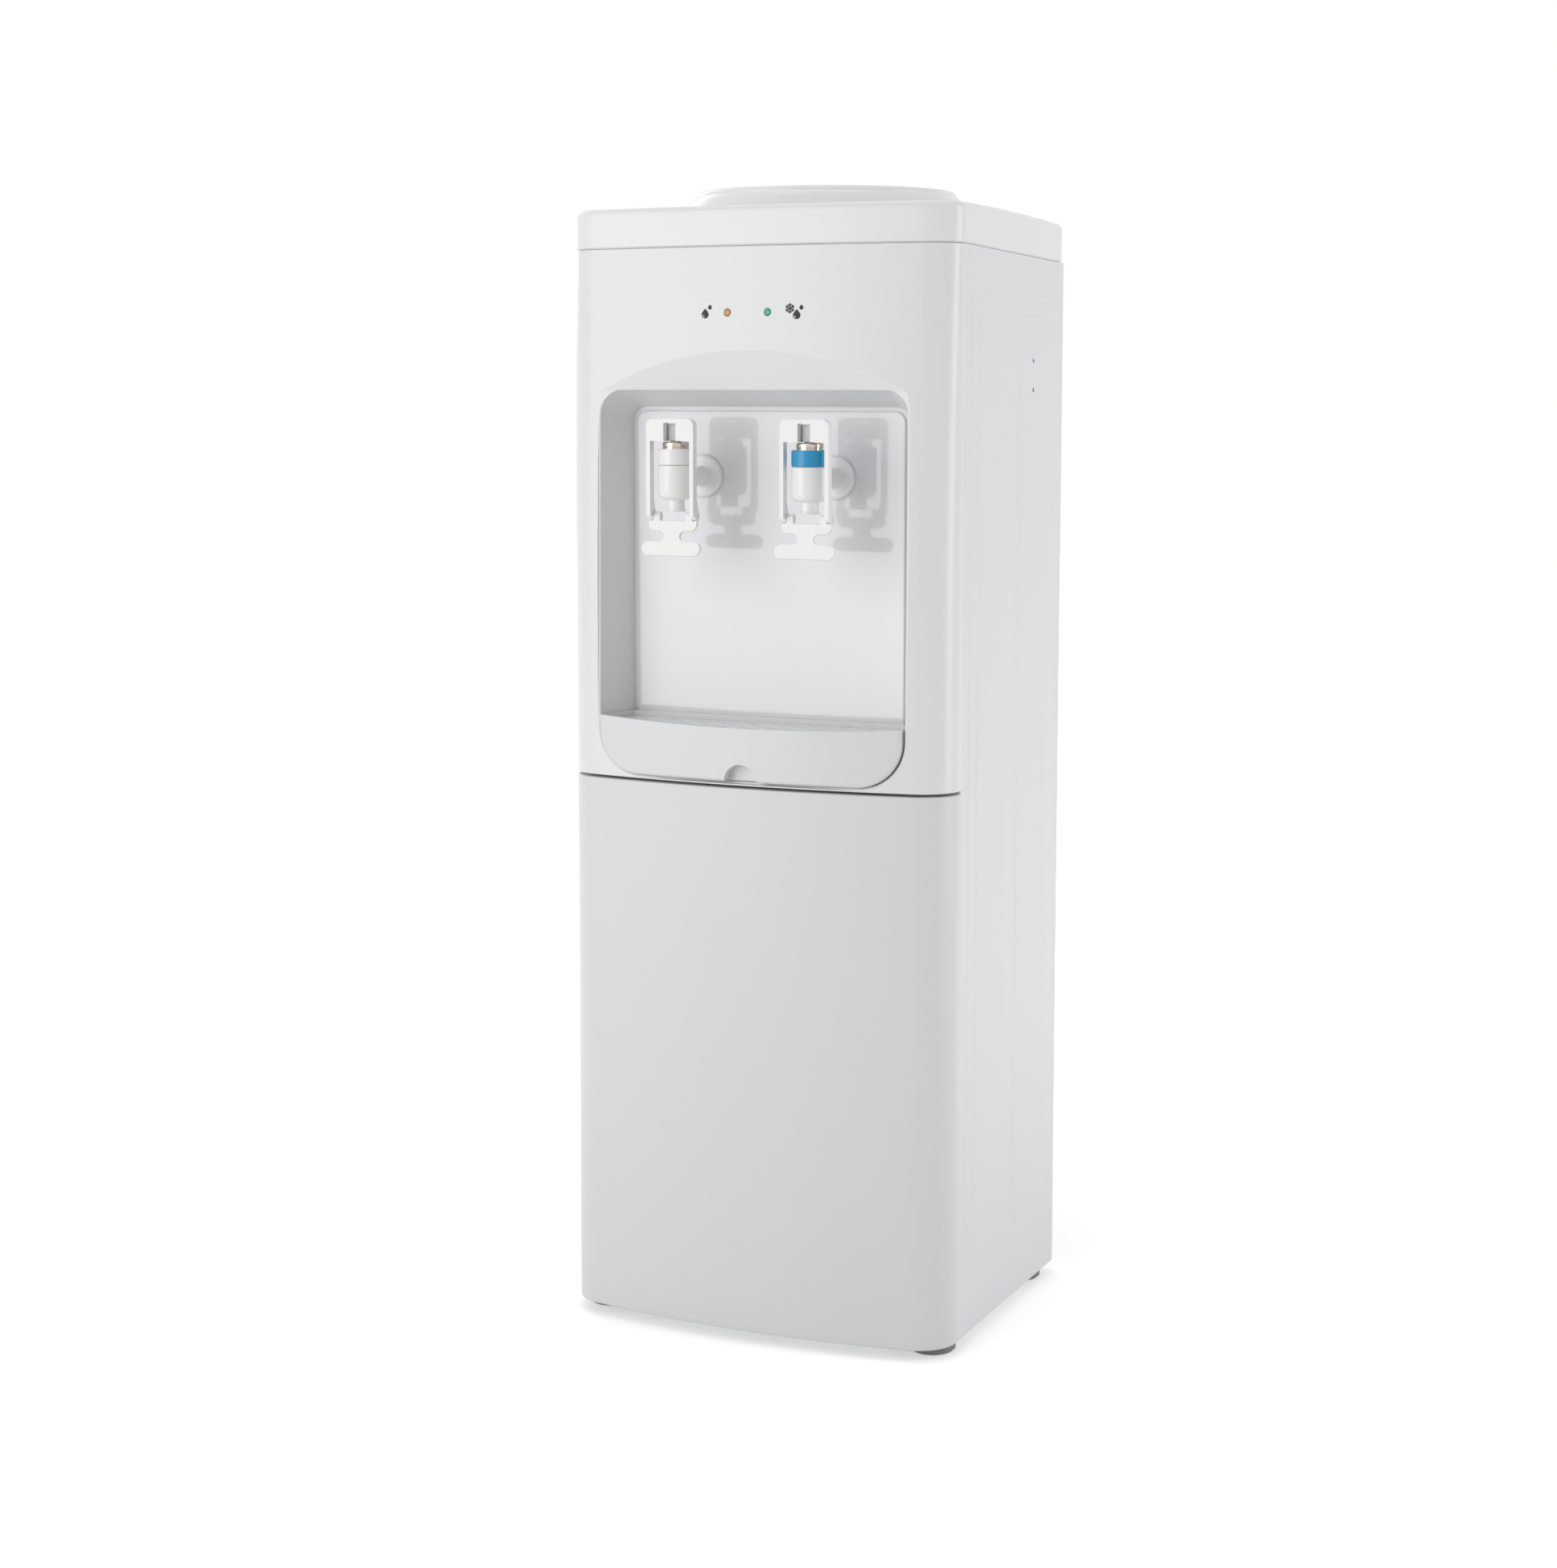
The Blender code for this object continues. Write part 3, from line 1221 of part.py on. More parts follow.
def tank_baffle():
    """Keeps the warm water above apart from the cold below. Its standpipe feeds the ambient tap."""
    low = TANK_LOW + BAFFLE_HEIGHT
    shape = rod((0, COLLAR_Y, low), (0, COLLAR_Y, low + BAFFLE_THICKNESS), TANK_RADIUS - FIT, TANK_STEPS)
    made = piece("tank_baffle", shape, tap_plastic())
    x, y = outlet_places()[0]
    foot = TANK_LOW + TANK_WALL + FIT
    join(made, rod((x, y, foot), (x, y, low + BAFFLE_THICKNESS / 2), STANDPIPE_RADIUS, PIPE_STEPS))
    cut(made, rod((x, y, foot - OVERRUN), (x, y, low + OVERRUN), OUTLET_BORE_RADIUS, PIPE_STEPS))
    for hole in range(BAFFLE_HOLES):
        angle = FULL_TURN * hole / BAFFLE_HOLES
        x = TANK_RADIUS * BAFFLE_HOLE_RING_SHARE * math.cos(angle)
        y = COLLAR_Y + TANK_RADIUS * BAFFLE_HOLE_RING_SHARE * math.sin(angle)
        cut(made, rod((x, y, low - OVERRUN), (x, y, low + OVERRUN), BAFFLE_HOLE_RADIUS, PIPE_STEPS))


def coil_radius():
    """Far enough out for the coil's straight steps to clear the tank."""
    clear = TANK_RADIUS + TANK_WALL + 2 * FIT + COIL_TUBE_RADIUS
    return clear / math.cos(FULL_TURN / COIL_TURN_POINTS / 2)


def coil_exit():
    """Where the coil leaves downwards behind the tank."""
    return (0, COLLAR_Y + coil_radius())


def evaporator_coil():
    """A tube wound round the tank, whose lower end turns down through the foam and the shelf."""
    radius = coil_radius()
    low = TANK_LOW + COIL_LOW
    path = []
    for step in range(COIL_TURNS * COIL_TURN_POINTS + 1):
        turns = step / COIL_TURN_POINTS
        angle = QUARTER_TURN + FULL_TURN * turns
        path.append(
            (radius * math.cos(angle), COLLAR_Y + radius * math.sin(angle), low + COIL_PITCH * turns)
        )
    x, y = coil_exit()
    tail = [(x, y, OUTLET_LOW), (x, y, low - 2 * COIL_TUBE_RADIUS)]
    piece("evaporator_coil", tube(tail + path[1:], COIL_TUBE_RADIUS, COIL_SIDES), copper())


def suction_tube():
    x, y = coil_exit()
    start = (x, y, OUTLET_LOW - FIT)
    stub = COMPRESSOR_Y + COMPRESSOR_RADIUS + STUB_REACH + FIT
    knee = OUTLET_LOW - 3 * SUCTION_BEND
    corners = [start, (x, y, knee), (SUCTION_X, SUCTION_Y, knee - 2 * SUCTION_BEND)]
    corners += [(SUCTION_X, SUCTION_Y, SUCTION_Z), (SUCTION_X, stub, SUCTION_Z)]
    path = bent_path(corners, SUCTION_BEND, CONDENSER_BEND_STEPS)
    piece("suction_tube", tube(path, STUB_RADIUS, COIL_SIDES + 1), copper())


def hoses():
    """Silicone elbows from the tank's outlets to the taps."""
    rear = TAP_WALL_REAR_Y + TAP_PIPE_REACH
    for name, side in (("ambient_hose", -1), ("cold_hose", 1)):
        x = side * TAP_X
        corners = [
            (x, outlet_y(), OUTLET_LOW - FIT), (x, outlet_y(), TAP_PIPE_Z), (x, rear + FIT, TAP_PIPE_Z)
        ]
        path = bent_path(corners, HOSE_BEND, CONDENSER_BEND_STEPS)
        piece(name, tube(path, HOSE_RADIUS, HOSE_SIDES, bore=OUTLET_BORE_RADIUS), silicone())


def drain():
    end = BACK_FACE_Y + DRAIN_PROUD
    corners = [(DRAIN_X, DRAIN_Y, OUTLET_LOW - FIT), (DRAIN_X, DRAIN_Y, DRAIN_Z), (DRAIN_X, end, DRAIN_Z)]
    path = bent_path(corners, DRAIN_BEND, CONDENSER_BEND_STEPS)
    piece("drain_pipe", tube(path, DRAIN_RADIUS, HOSE_SIDES, bore=DRAIN_BORE_RADIUS), tap_plastic())
    bore = DRAIN_RADIUS + DRAIN_CLEARANCE
    outer = bore + DRAIN_CAP_WALL
    mouth = end + FIT + DRAIN_CAP_WALL - DRAIN_CAP_LENGTH
    depth = DRAIN_CAP_LENGTH - DRAIN_CAP_WALL
    profile = [
        (0, depth),
        (bore, depth),
        (bore, 0),
        (outer, 0),
        (outer, DRAIN_CAP_LENGTH),
        (0, DRAIN_CAP_LENGTH),
    ]
    origin = (DRAIN_X, mouth, DRAIN_Z)
    piece("drain_cap", to_rear(turned(profile, KNOB_STEPS), origin), rubber(), origin=origin)


def compressor():
    """A welded steel pot on a three-legged plate, with two stubs for its tubes."""
    low = LEG_Z
    high = low + COMPRESSOR_HEIGHT
    seam = SEAM_Z
    radius = COMPRESSOR_RADIUS
    rim = radius + COMPRESSOR_SEAM
    half = COMPRESSOR_SEAM_HEIGHT / 2
    profile = [(0, low)]
    profile += arc(
        (radius - COMPRESSOR_DOME, low + COMPRESSOR_DOME), COMPRESSOR_DOME, -QUARTER_TURN, 0, LIP_STEPS
    )
    profile += [(radius, seam - half), (rim, seam - half), (rim, seam + half), (radius, seam + half)]
    profile += arc(
        (radius - COMPRESSOR_DOME, high - COMPRESSOR_DOME), COMPRESSOR_DOME, 0, QUARTER_TURN, LIP_STEPS
    )
    profile.append((0, high))
    shape = moved(turned(profile, COMPRESSOR_STEPS), (0, COMPRESSOR_Y, 0))
    made = piece("compressor", shape, black_steel())
    outline = []
    for leg, (x, y) in enumerate(leg_places()):
        middle = QUARTER_TURN + FULL_TURN * leg / LEGS
        spread = FULL_TURN / LEGS / 2
        outline += arc((x, y), LEG_RADIUS, middle - spread, middle + spread, CORNER_STEPS)
    join(made, upright(outline, low, low + LEG_PLATE))
    for x, y in leg_places():
        hole = rod(
            (x, y, low - OVERRUN), (x, y, low + LEG_PLATE + FIT), GROMMET_NECK_RADIUS + FIT, PIPE_STEPS
        )
        cut(made, hole)
    reach = COMPRESSOR_Y + radius + STUB_REACH
    for x, z in ((SUCTION_X, SUCTION_Z), (DISCHARGE_X, DISCHARGE_Z)):
        join(made, rod((x, COMPRESSOR_Y, z), (x, reach, z), STUB_RADIUS + CAP_WALL, PIPE_STEPS))


def grommets():
    low = BASE_TOP + FIT
    waist = LEG_Z - FIT
    top = LEG_Z + LEG_PLATE + FIT
    bore = GROMMET_BORE_RADIUS
    profile = [
        (bore, low),
        (GROMMET_RADIUS, low),
        (GROMMET_RADIUS, waist),
        (GROMMET_NECK_RADIUS, waist),
        (GROMMET_NECK_RADIUS, top),
        (GROMMET_NECK_RADIUS + FIT, top),
        (GROMMET_NECK_RADIUS, top + GROMMET_HEAD),
        (bore, top + GROMMET_HEAD),
    ]
    names = ("rear_grommet", "left_grommet", "right_grommet")
    for name, (x, y) in zip(names, leg_places()):
        piece(name, moved(turned(profile, PIPE_STEPS, hollow=True), (x, y, 0)), rubber())


def relay_cover():
    """Clips over the terminals on the compressor's right side."""
    inner = COMPRESSOR_RADIUS - RELAY_DEPTH / 2
    lowest, corner = RELAY_HIGH - RELAY_HEIGHT, RELAY_CORNER
    outline = rounded_box(RELAY_WIDTH / 2, lowest, RELAY_HIGH, corner, corner, ALCOVE_CORNER_STEPS)
    shape = sideways([(COMPRESSOR_Y + y, z) for y, z in outline], inner, COMPRESSOR_RADIUS + RELAY_DEPTH)
    made = piece("relay_cover", shape, black_plastic())
    low, high = (0, COMPRESSOR_Y, lowest - OVERRUN), (0, COMPRESSOR_Y, RELAY_HIGH + OVERRUN)
    cut(made, rod(low, high, COMPRESSOR_RADIUS + FIT, COMPRESSOR_STEPS))


def condenser_corners():
    """The tube's route: from the compressor, under the back panel, up the riser and down in rows."""
    rear = COMPRESSOR_Y + COMPRESSOR_RADIUS + STUB_REACH + FIT
    run_y = rear + 2 * CORNER_BEND
    top = CONDENSER_LOW + CONDENSER_PITCH * (CONDENSER_ROWS - 1)
    corners = [
        (DISCHARGE_X, rear, DISCHARGE_Z),
        (DISCHARGE_X, run_y, DISCHARGE_Z),
        (DISCHARGE_X, run_y, CONDENSER_CROSS_Z - 2 * CORNER_BEND),
        (DISCHARGE_X, CONDENSER_Y, CONDENSER_CROSS_Z),
        (-CONDENSER_RISER_X, CONDENSER_Y, CONDENSER_CROSS_Z),
        (-CONDENSER_RISER_X, CONDENSER_Y, top),
    ]
    return corners, top


def condenser_coil():
    corners, top = condenser_corners()
    path = bent_path(corners + [(0, CONDENSER_Y, top)], CORNER_BEND, CONDENSER_BEND_STEPS)[:-1]
    bend = CONDENSER_PITCH / 2
    turn_x = CONDENSER_HALF_WIDTH - bend
    for row in range(CONDENSER_ROWS - 1):
        side = 1 if row % 2 == 0 else -1
        z = top - CONDENSER_PITCH * row - bend
        for step in range(2 * CONDENSER_BEND_STEPS + 1):
            angle = QUARTER_TURN - math.pi * step / (2 * CONDENSER_BEND_STEPS)
            x = side * (turn_x + bend * math.cos(angle))
            path.append(Vector((x, CONDENSER_Y, z + bend * math.sin(angle))))
    low = CONDENSER_LOW
    end_z = DRIER_Z + DRIER_LENGTH / 2 + FIT
    drier_x = CONDENSER_RISER_X
    ending = [(0, CONDENSER_Y, low), (drier_x, CONDENSER_Y, low), (drier_x, CONDENSER_Y, end_z)]
    path += bent_path(ending, CORNER_BEND, CONDENSER_BEND_STEPS)[1:]
    piece("condenser_coil", tube(path, CONDENSER_TUBE_RADIUS, CONDENSER_SIDES), black_steel())


def condenser_wires():
    """Upright wires before and behind the tube, held by a strap at each end with tabs to the back panel."""
    top = CONDENSER_LOW + CONDENSER_PITCH * (CONDENSER_ROWS - 1) + STRAP_MARGIN
    low = CONDENSER_LOW - STRAP_MARGIN - STRAP_HEIGHT
    half = CONDENSER_HALF_WIDTH + STRAP_OVERHANG
    rear = CONDENSER_Y + CONDENSER_TUBE_RADIUS + FIT + WIRE
    front = CONDENSER_Y - CONDENSER_TUBE_RADIUS - FIT - WIRE
    made = piece(
        "condenser_wires", block((-half, front, top), (half, rear, top + STRAP_HEIGHT)), black_steel()
    )
    join(made, block((-half, front, low), (half, rear, low + STRAP_HEIGHT)))
    grip = STRAP_HEIGHT / 2
    count = int(2 * CONDENSER_HALF_WIDTH / WIRE_PITCH)
    bars = []
    for wire in range(count + 1):
        x = (wire - count / 2) * WIRE_PITCH
        for y in (front, rear - WIRE):
            bars.append(block((x - WIRE / 2, y, low + grip), (x + WIRE / 2, y + WIRE, top + grip)))
    join(made, merge(*bars))
    tabs = []
    for x in (-TAB_X, TAB_X):
        for z in (low, top):
            tab_low = (x - TAB_WIDTH / 2, BACK_FACE_Y + FIT, z + FIT)
            tabs.append(block(tab_low, (x + TAB_WIDTH / 2, front + WIRE, z + STRAP_HEIGHT - FIT)))
    join(made, merge(*tabs))


def filter_drier():
    """A copper cartridge on the line back to the tank."""
    neck = CONDENSER_TUBE_RADIUS + CAP_WALL
    half = DRIER_LENGTH / 2
    profile = [(0, -half), (neck, -half), (neck, DRIER_NECK - half), (DRIER_RADIUS, 2 * DRIER_NECK - half)]
    profile += [(r, -z) for r, z in reversed(profile)]
    shape = moved(turned(profile, PIPE_STEPS), (CONDENSER_RISER_X, CONDENSER_Y, DRIER_Z))
    piece("filter_drier", shape, copper())


def cooling_switch():
    """A snap-in rocker switch on the back panel."""
    half_x, half_z = SWITCH_WIDTH / 2, SWITCH_HEIGHT / 2
    face = BACK_FACE_Y + FIT
    low = (-CONTROL_X - half_x, face - SWITCH_DEPTH, CONTROL_Z - half_z)
    made = piece(
        "switch_housing",
        block(low, (-CONTROL_X + half_x, face + FIT, CONTROL_Z + half_z)),
        black_plastic(),
    )
    bezel_low = (-CONTROL_X - half_x - SWITCH_BEZEL, face, CONTROL_Z - half_z - SWITCH_BEZEL)
    bezel_high = (-CONTROL_X + half_x + SWITCH_BEZEL, face + SWITCH_BEZEL, CONTROL_Z + half_z + SWITCH_BEZEL)
    join(made, block(bezel_low, bezel_high))
    inner_x, inner_z = half_x - ROCKER_MARGIN, half_z - ROCKER_MARGIN
    pocket = face + SWITCH_BEZEL - 2 * ROCKER_THICKNESS - FIT
    pocket_low = (-CONTROL_X - inner_x, pocket, CONTROL_Z - inner_z)
    cut(made, block(pocket_low, (-CONTROL_X + inner_x, face + OVERRUN, CONTROL_Z + inner_z)))
    origin = (-CONTROL_X, face + SWITCH_BEZEL - ROCKER_THICKNESS, CONTROL_Z)
    wide, tall = inner_x - FIT, inner_z - FIT * 4
    dish = ROCKER_THICKNESS * math.tan(ROCKER_TILT)
    outline = [(-ROCKER_THICKNESS / 2, -tall), (ROCKER_THICKNESS, -tall), (ROCKER_THICKNESS - dish, 0)]
    outline += [(ROCKER_THICKNESS, tall), (-ROCKER_THICKNESS / 2, tall), (-ROCKER_THICKNESS, 0)]
    shape = sideways(
        [(origin[1] + y, origin[2] + z) for y, z in outline],
        origin[0] - wide,
        origin[0] + wide,
    )
    rotated(shape, ROCKER_TILT, "X", origin)
    piece("switch_rocker", shape, black_plastic(), origin=origin)


def thermostat():
    half_x, half_z = THERMOSTAT_WIDTH / 2, THERMOSTAT_HEIGHT / 2
    rear = BACK_INNER_Y - FIT
    low = (CONTROL_X - half_x, rear - THERMOSTAT_DEPTH, CONTROL_Z - half_z)
    made = piece(
        "thermostat", block(low, (CONTROL_X + half_x, rear, CONTROL_Z + half_z)), galvanised_steel()
    )
    seat = BACK_FACE_Y + 2 * FIT
    shaft_end = seat + KNOB_HEIGHT / 2
    start = (CONTROL_X, rear - FIT, CONTROL_Z)
    join(made, rod(start, (CONTROL_X, shaft_end, CONTROL_Z), THERMOSTAT_SHAFT_RADIUS, PIPE_STEPS))
    bore = THERMOSTAT_SHAFT_RADIUS + PIN_CLEARANCE
    depth = KNOB_HEIGHT / 2 + FIT
    profile = [
        (0, depth),
        (bore, depth),
        (bore, 0),
        (KNOB_RADIUS, 0),
        (KNOB_RADIUS - KNOB_POINTER / 2, KNOB_HEIGHT),
    ]
    profile.append((0, KNOB_HEIGHT))
    origin = (CONTROL_X, seat, CONTROL_Z)
    knob = piece(
        "thermostat_knob", to_rear(turned(profile, KNOB_STEPS), origin), black_plastic(), origin=origin
    )
    pointer_low = (CONTROL_X - KNOB_POINTER / 2, seat + KNOB_HEIGHT - KNOB_POINTER, CONTROL_Z)
    pointer_high = (
        CONTROL_X + KNOB_POINTER / 2,
        seat + KNOB_HEIGHT + KNOB_POINTER,
        CONTROL_Z + KNOB_RADIUS - KNOB_POINTER,
    )
    join(knob, block(pointer_low, pointer_high))


def cord_gland():
    """The strain relief for a mains cord, which isn't shown."""
    seat = BACK_FACE_Y + FIT
    inner = SHEET + 2 * FIT
    profile = [
        (GLAND_BORE_RADIUS, -inner),
        (GLAND_BARREL_RADIUS, -inner),
        (GLAND_BARREL_RADIUS, 0),
        (GLAND_RADIUS, 0),
        (GLAND_RADIUS, GLAND_FLANGE),
        (GLAND_BARREL_RADIUS, GLAND_FLANGE),
        (GLAND_BORE_RADIUS + CAP_WALL, GLAND_LENGTH),
        (GLAND_BORE_RADIUS, GLAND_LENGTH),
    ]
    shape = to_rear(turned(profile, PIPE_STEPS, hollow=True), (GLAND_X, seat, GLAND_Z))
    piece("cord_gland", shape, black_plastic())


def tap_body(name, x):
    """Bonnet, spout and wall pipe in one moulding, open inside for the stem, the spring and the seal."""
    round_off = [
        (
            BODY_RADIUS - BODY_ROUND + BODY_ROUND * math.sin(angle),
            BODY_LOW + BODY_ROUND * (1 - math.cos(angle)),
        )
        for angle in (QUARTER_TURN * step / CORNER_STEPS for step in range(CORNER_STEPS + 1))
    ]
    nozzle_low = BODY_LOW - NOZZLE_LENGTH
    neck = BODY_RADIUS - RING_THICKNESS - FIT
    ring_low = BODY_HIGH - RING_HEIGHT - FIT
    profile = [
        (NOZZLE_BORE_RADIUS, nozzle_low),
        (NOZZLE_RADIUS + NOZZLE_FLARE, nozzle_low),
        (NOZZLE_RADIUS, nozzle_low + 2 * NOZZLE_FLARE),
        (NOZZLE_RADIUS, BODY_LOW),
        *round_off,
        (BODY_RADIUS, ring_low),
        (neck, ring_low),
        (neck, BODY_HIGH),
        (BODY_BORE_RADIUS, BODY_HIGH),
        (BODY_BORE_RADIUS, BODY_LOW + BODY_FLOOR),
        (NOZZLE_BORE_RADIUS, BODY_LOW + BODY_FLOOR),
    ]
    made = piece(name, moved(turned(profile, TAP_STEPS, hollow=True), (x, TAP_Y, 0)), tap_plastic())
    flange = TAP_FLANGE_RADIUS
    seat = TAP_WALL_FACE_Y - FIT
    pipe_start = (BODY_RADIUS + BODY_BORE_RADIUS) / 2
    length = seat - TAP_Y
    pipe = [
        (0, pipe_start),
        (TAP_PIPE_RADIUS, pipe_start),
        (TAP_PIPE_RADIUS, length - TAP_FLANGE_THICKNESS),
        (flange - TAP_FLANGE_ROUND, length - TAP_FLANGE_THICKNESS),
        (flange, length - TAP_FLANGE_THICKNESS + TAP_FLANGE_ROUND),
        (flange, length),
        (TAP_PIPE_RADIUS, length),
        (TAP_PIPE_RADIUS, TAP_WALL_REAR_Y + TAP_PIPE_REACH - TAP_Y),
        (0, TAP_WALL_REAR_Y + TAP_PIPE_REACH - TAP_Y),
    ]
    join(made, to_rear(turned(pipe, TAP_STEPS), (x, TAP_Y, TAP_PIPE_Z)))
    end = (x, TAP_WALL_REAR_Y + TAP_PIPE_REACH + OVERRUN, TAP_PIPE_Z)
    cut(made, rod((x, TAP_Y, TAP_PIPE_Z), end, TAP_PIPE_BORE_RADIUS, PIPE_STEPS))


def tap_ring(name, x, finish):
    low, high = BODY_HIGH - RING_HEIGHT, BODY_HIGH
    inner = BODY_RADIUS - RING_THICKNESS
    profile = [(inner, low), (BODY_RADIUS, low), (BODY_RADIUS, high), (inner, high)]
    piece(name, moved(turned(profile, TAP_STEPS, hollow=True), (x, TAP_Y, 0)), finish)


def bonnet_cap(name, x):
    """A pressed metal cap that screws into the bonnet and guides the stem."""
    low, high = BODY_HIGH - CAP_SKIRT, BODY_HIGH + CAP_RISE
    inner = CAP_RADIUS - CAP_WALL
    hole = STEM_RADIUS + FIT
    profile = [(inner, low), (CAP_RADIUS, low)]
    profile += arc((CAP_RADIUS - CAP_ROUND, high - CAP_ROUND), CAP_ROUND, 0, QUARTER_TURN, LIP_STEPS)
    profile += [(hole, high), (hole, high - CAP_WALL), (inner, high - CAP_WALL)]
    piece(name, moved(turned(profile, TAP_STEPS, hollow=True), (x, TAP_Y, 0)), nickel())


def seal_top():
    return BODY_LOW + BODY_FLOOR + FIT + SEAL_HEIGHT


def tongue_low():
    return BODY_HIGH + CAP_RISE + TONGUE_GAP


def tap_stem(name, x):
    """Round inside the bonnet, flat-sided above it, with a cross hole for the lever's pin."""
    origin = (x, TAP_Y, PIN_Z)
    low = seal_top() + FIT
    profile = [
        (0, low),
        (STEM_RADIUS, low),
        (STEM_RADIUS, tongue_low() + TONGUE_GAP),
        (0, tongue_low() + TONGUE_GAP),
    ]
    made = piece(name, moved(turned(profile, PIPE_STEPS), (x, TAP_Y, 0)), stem_grey(), origin=origin)
    outline = rounded_plan((x, TAP_Y), TONGUE_WIDTH / 2, TONGUE_DEPTH / 2, CAP_WALL, LIP_STEPS)
    join(made, upright(outline, tongue_low(), tongue_low() + TONGUE_HEIGHT))
    hole = rod(
        (x - OVERRUN, TAP_Y, PIN_Z), (x + OVERRUN, TAP_Y, PIN_Z), PIN_RADIUS + PIN_CLEARANCE, PIPE_STEPS
    )
    cut(made, hole)
    return made


def tap_seal(name, x, stem):
    low = BODY_LOW + BODY_FLOOR + FIT
    profile = [
        (0, low - SEAL_NOSE),
        (NOZZLE_BORE_RADIUS - 2 * FIT, low - SEAL_NOSE),
        (NOZZLE_BORE_RADIUS - FIT, low),
    ]
    profile += [(SEAL_RADIUS, low), (SEAL_RADIUS, seal_top()), (0, seal_top())]
    piece(
        name,
        moved(turned(profile, PIPE_STEPS), (x, TAP_Y, 0)),
        silicone(),
        stem,
        origin=(x, TAP_Y, PIN_Z),
    )


def tap_spring(name, x):
    """A round-wire spring that presses the seal down from under the cap."""
    low = seal_top() + FIT + SPRING_WIRE_RADIUS
    high = BODY_HIGH + CAP_RISE - CAP_WALL - FIT - SPRING_WIRE_RADIUS
    path = []
    count = SPRING_TURNS * SPRING_TURN_POINTS
    for step in range(count + 1):
        angle = FULL_TURN * step / SPRING_TURN_POINTS
        z = low + (high - low) * step / count
        path.append((x + SPRING_RADIUS * math.cos(angle), TAP_Y + SPRING_RADIUS * math.sin(angle), z))
    piece(name, tube(path, SPRING_WIRE_RADIUS, SPRING_SIDES), stainless_steel())


def lever_pin(name, x, stem):
    half = LEVER_SLOT_WIDTH / 2 + LEVER_EAR
    shape = rod((x - half, TAP_Y, PIN_Z), (x + half, TAP_Y, PIN_Z), PIN_RADIUS, PIPE_STEPS)
    piece(name, shape, stainless_steel(), stem, origin=(x, TAP_Y, PIN_Z))


def tap_lever(name, x, stem):
    """A frame round the bonnet: a slotted top plate, rails, ears on the cross pin and knuckles below."""
    origin = (x, TAP_Y, PIN_Z)
    half = LEVER_WIDTH / 2
    inner = half - LEVER_RAIL
    front, rear = LEVER_FRONT_Y, LEVER_FRONT_Y + LEVER_RAIL_DEPTH
    corner = LEVER_CORNER
    outer_arch = rounded_box(half, FOLD_Z, LEVER_TOP, LEVER_RAIL / 2, corner, PADDLE_STEPS)
    made = piece(
        name,
        facing([(x + u, z) for u, z in outer_arch], front, rear),
        tap_plastic(),
        stem,
        origin=origin,
    )
    window = (x - inner, front - OVERRUN, FOLD_Z - OVERRUN)
    cut(made, block(window, (x + inner, rear + OVERRUN, LEVER_PLATE_LOW)))
    pocket = (x - inner, front + LEVER_PLATE, FOLD_Z - OVERRUN)
    cut(made, block(pocket, (x + inner, rear + OVERRUN, LEVER_TOP - LEVER_SLOT_MARGIN)))
    ears = []
    ear_front = front + LEVER_PLATE / 2
    for side in (-1, 1):
        near = x + side * LEVER_SLOT_WIDTH / 2
        far = near + side * LEVER_EAR
        outline = [(ear_front, LEVER_PLATE_LOW), (ear_front, LEVER_TOP - LEVER_SLOT_MARGIN / 2)]
        outline += [(rear, LEVER_TOP - LEVER_SLOT_MARGIN / 2)]
        outline += arc((TAP_Y, PIN_Z), LEVER_EAR_ROUND, QUARTER_TURN, -QUARTER_TURN / 2, PADDLE_STEPS)
        outline += [(TAP_Y, LEVER_PLATE_LOW)]
        ears.append(sideways(outline, min(near, far), max(near, far)))
    join(made, merge(*ears))
    feet_shapes = []
    for side in (-1, 1):
        near, far = x + side * inner, x + side * half
        outline = [(front + FIT, FOLD_Z + 4 * KNUCKLE_RADIUS), (front, FOLD_Z)]
        outline += arc(
            (FOLD_Y, FOLD_Z), KNUCKLE_RADIUS, -2 * QUARTER_TURN, QUARTER_TURN / 2, 2 * PADDLE_STEPS
        )
        outline += [(rear - FIT, FOLD_Z + 4 * KNUCKLE_RADIUS)]
        feet_shapes.append(sideways(outline, min(near, far), max(near, far)))
    join(made, merge(*feet_shapes))
    slot = (x - LEVER_SLOT_WIDTH / 2, front - OVERRUN, LEVER_PLATE_LOW - OVERRUN)
    slot_high = (x + LEVER_SLOT_WIDTH / 2, rear + FIT, LEVER_TOP - LEVER_SLOT_MARGIN)
    cut(made, block(slot, slot_high))
    hole = rod(
        (x - OVERRUN, TAP_Y, PIN_Z), (x + OVERRUN, TAP_Y, PIN_Z), PIN_RADIUS + PIN_CLEARANCE, PIPE_STEPS
    )
    cut(made, hole)
    start, end = (x - OVERRUN - half, FOLD_Y, FOLD_Z), (x + OVERRUN + half, FOLD_Y, FOLD_Z)
    cut(made, rod(start, end, HINGE_BORE_RADIUS + PIN_CLEARANCE, PIPE_STEPS))
    return made


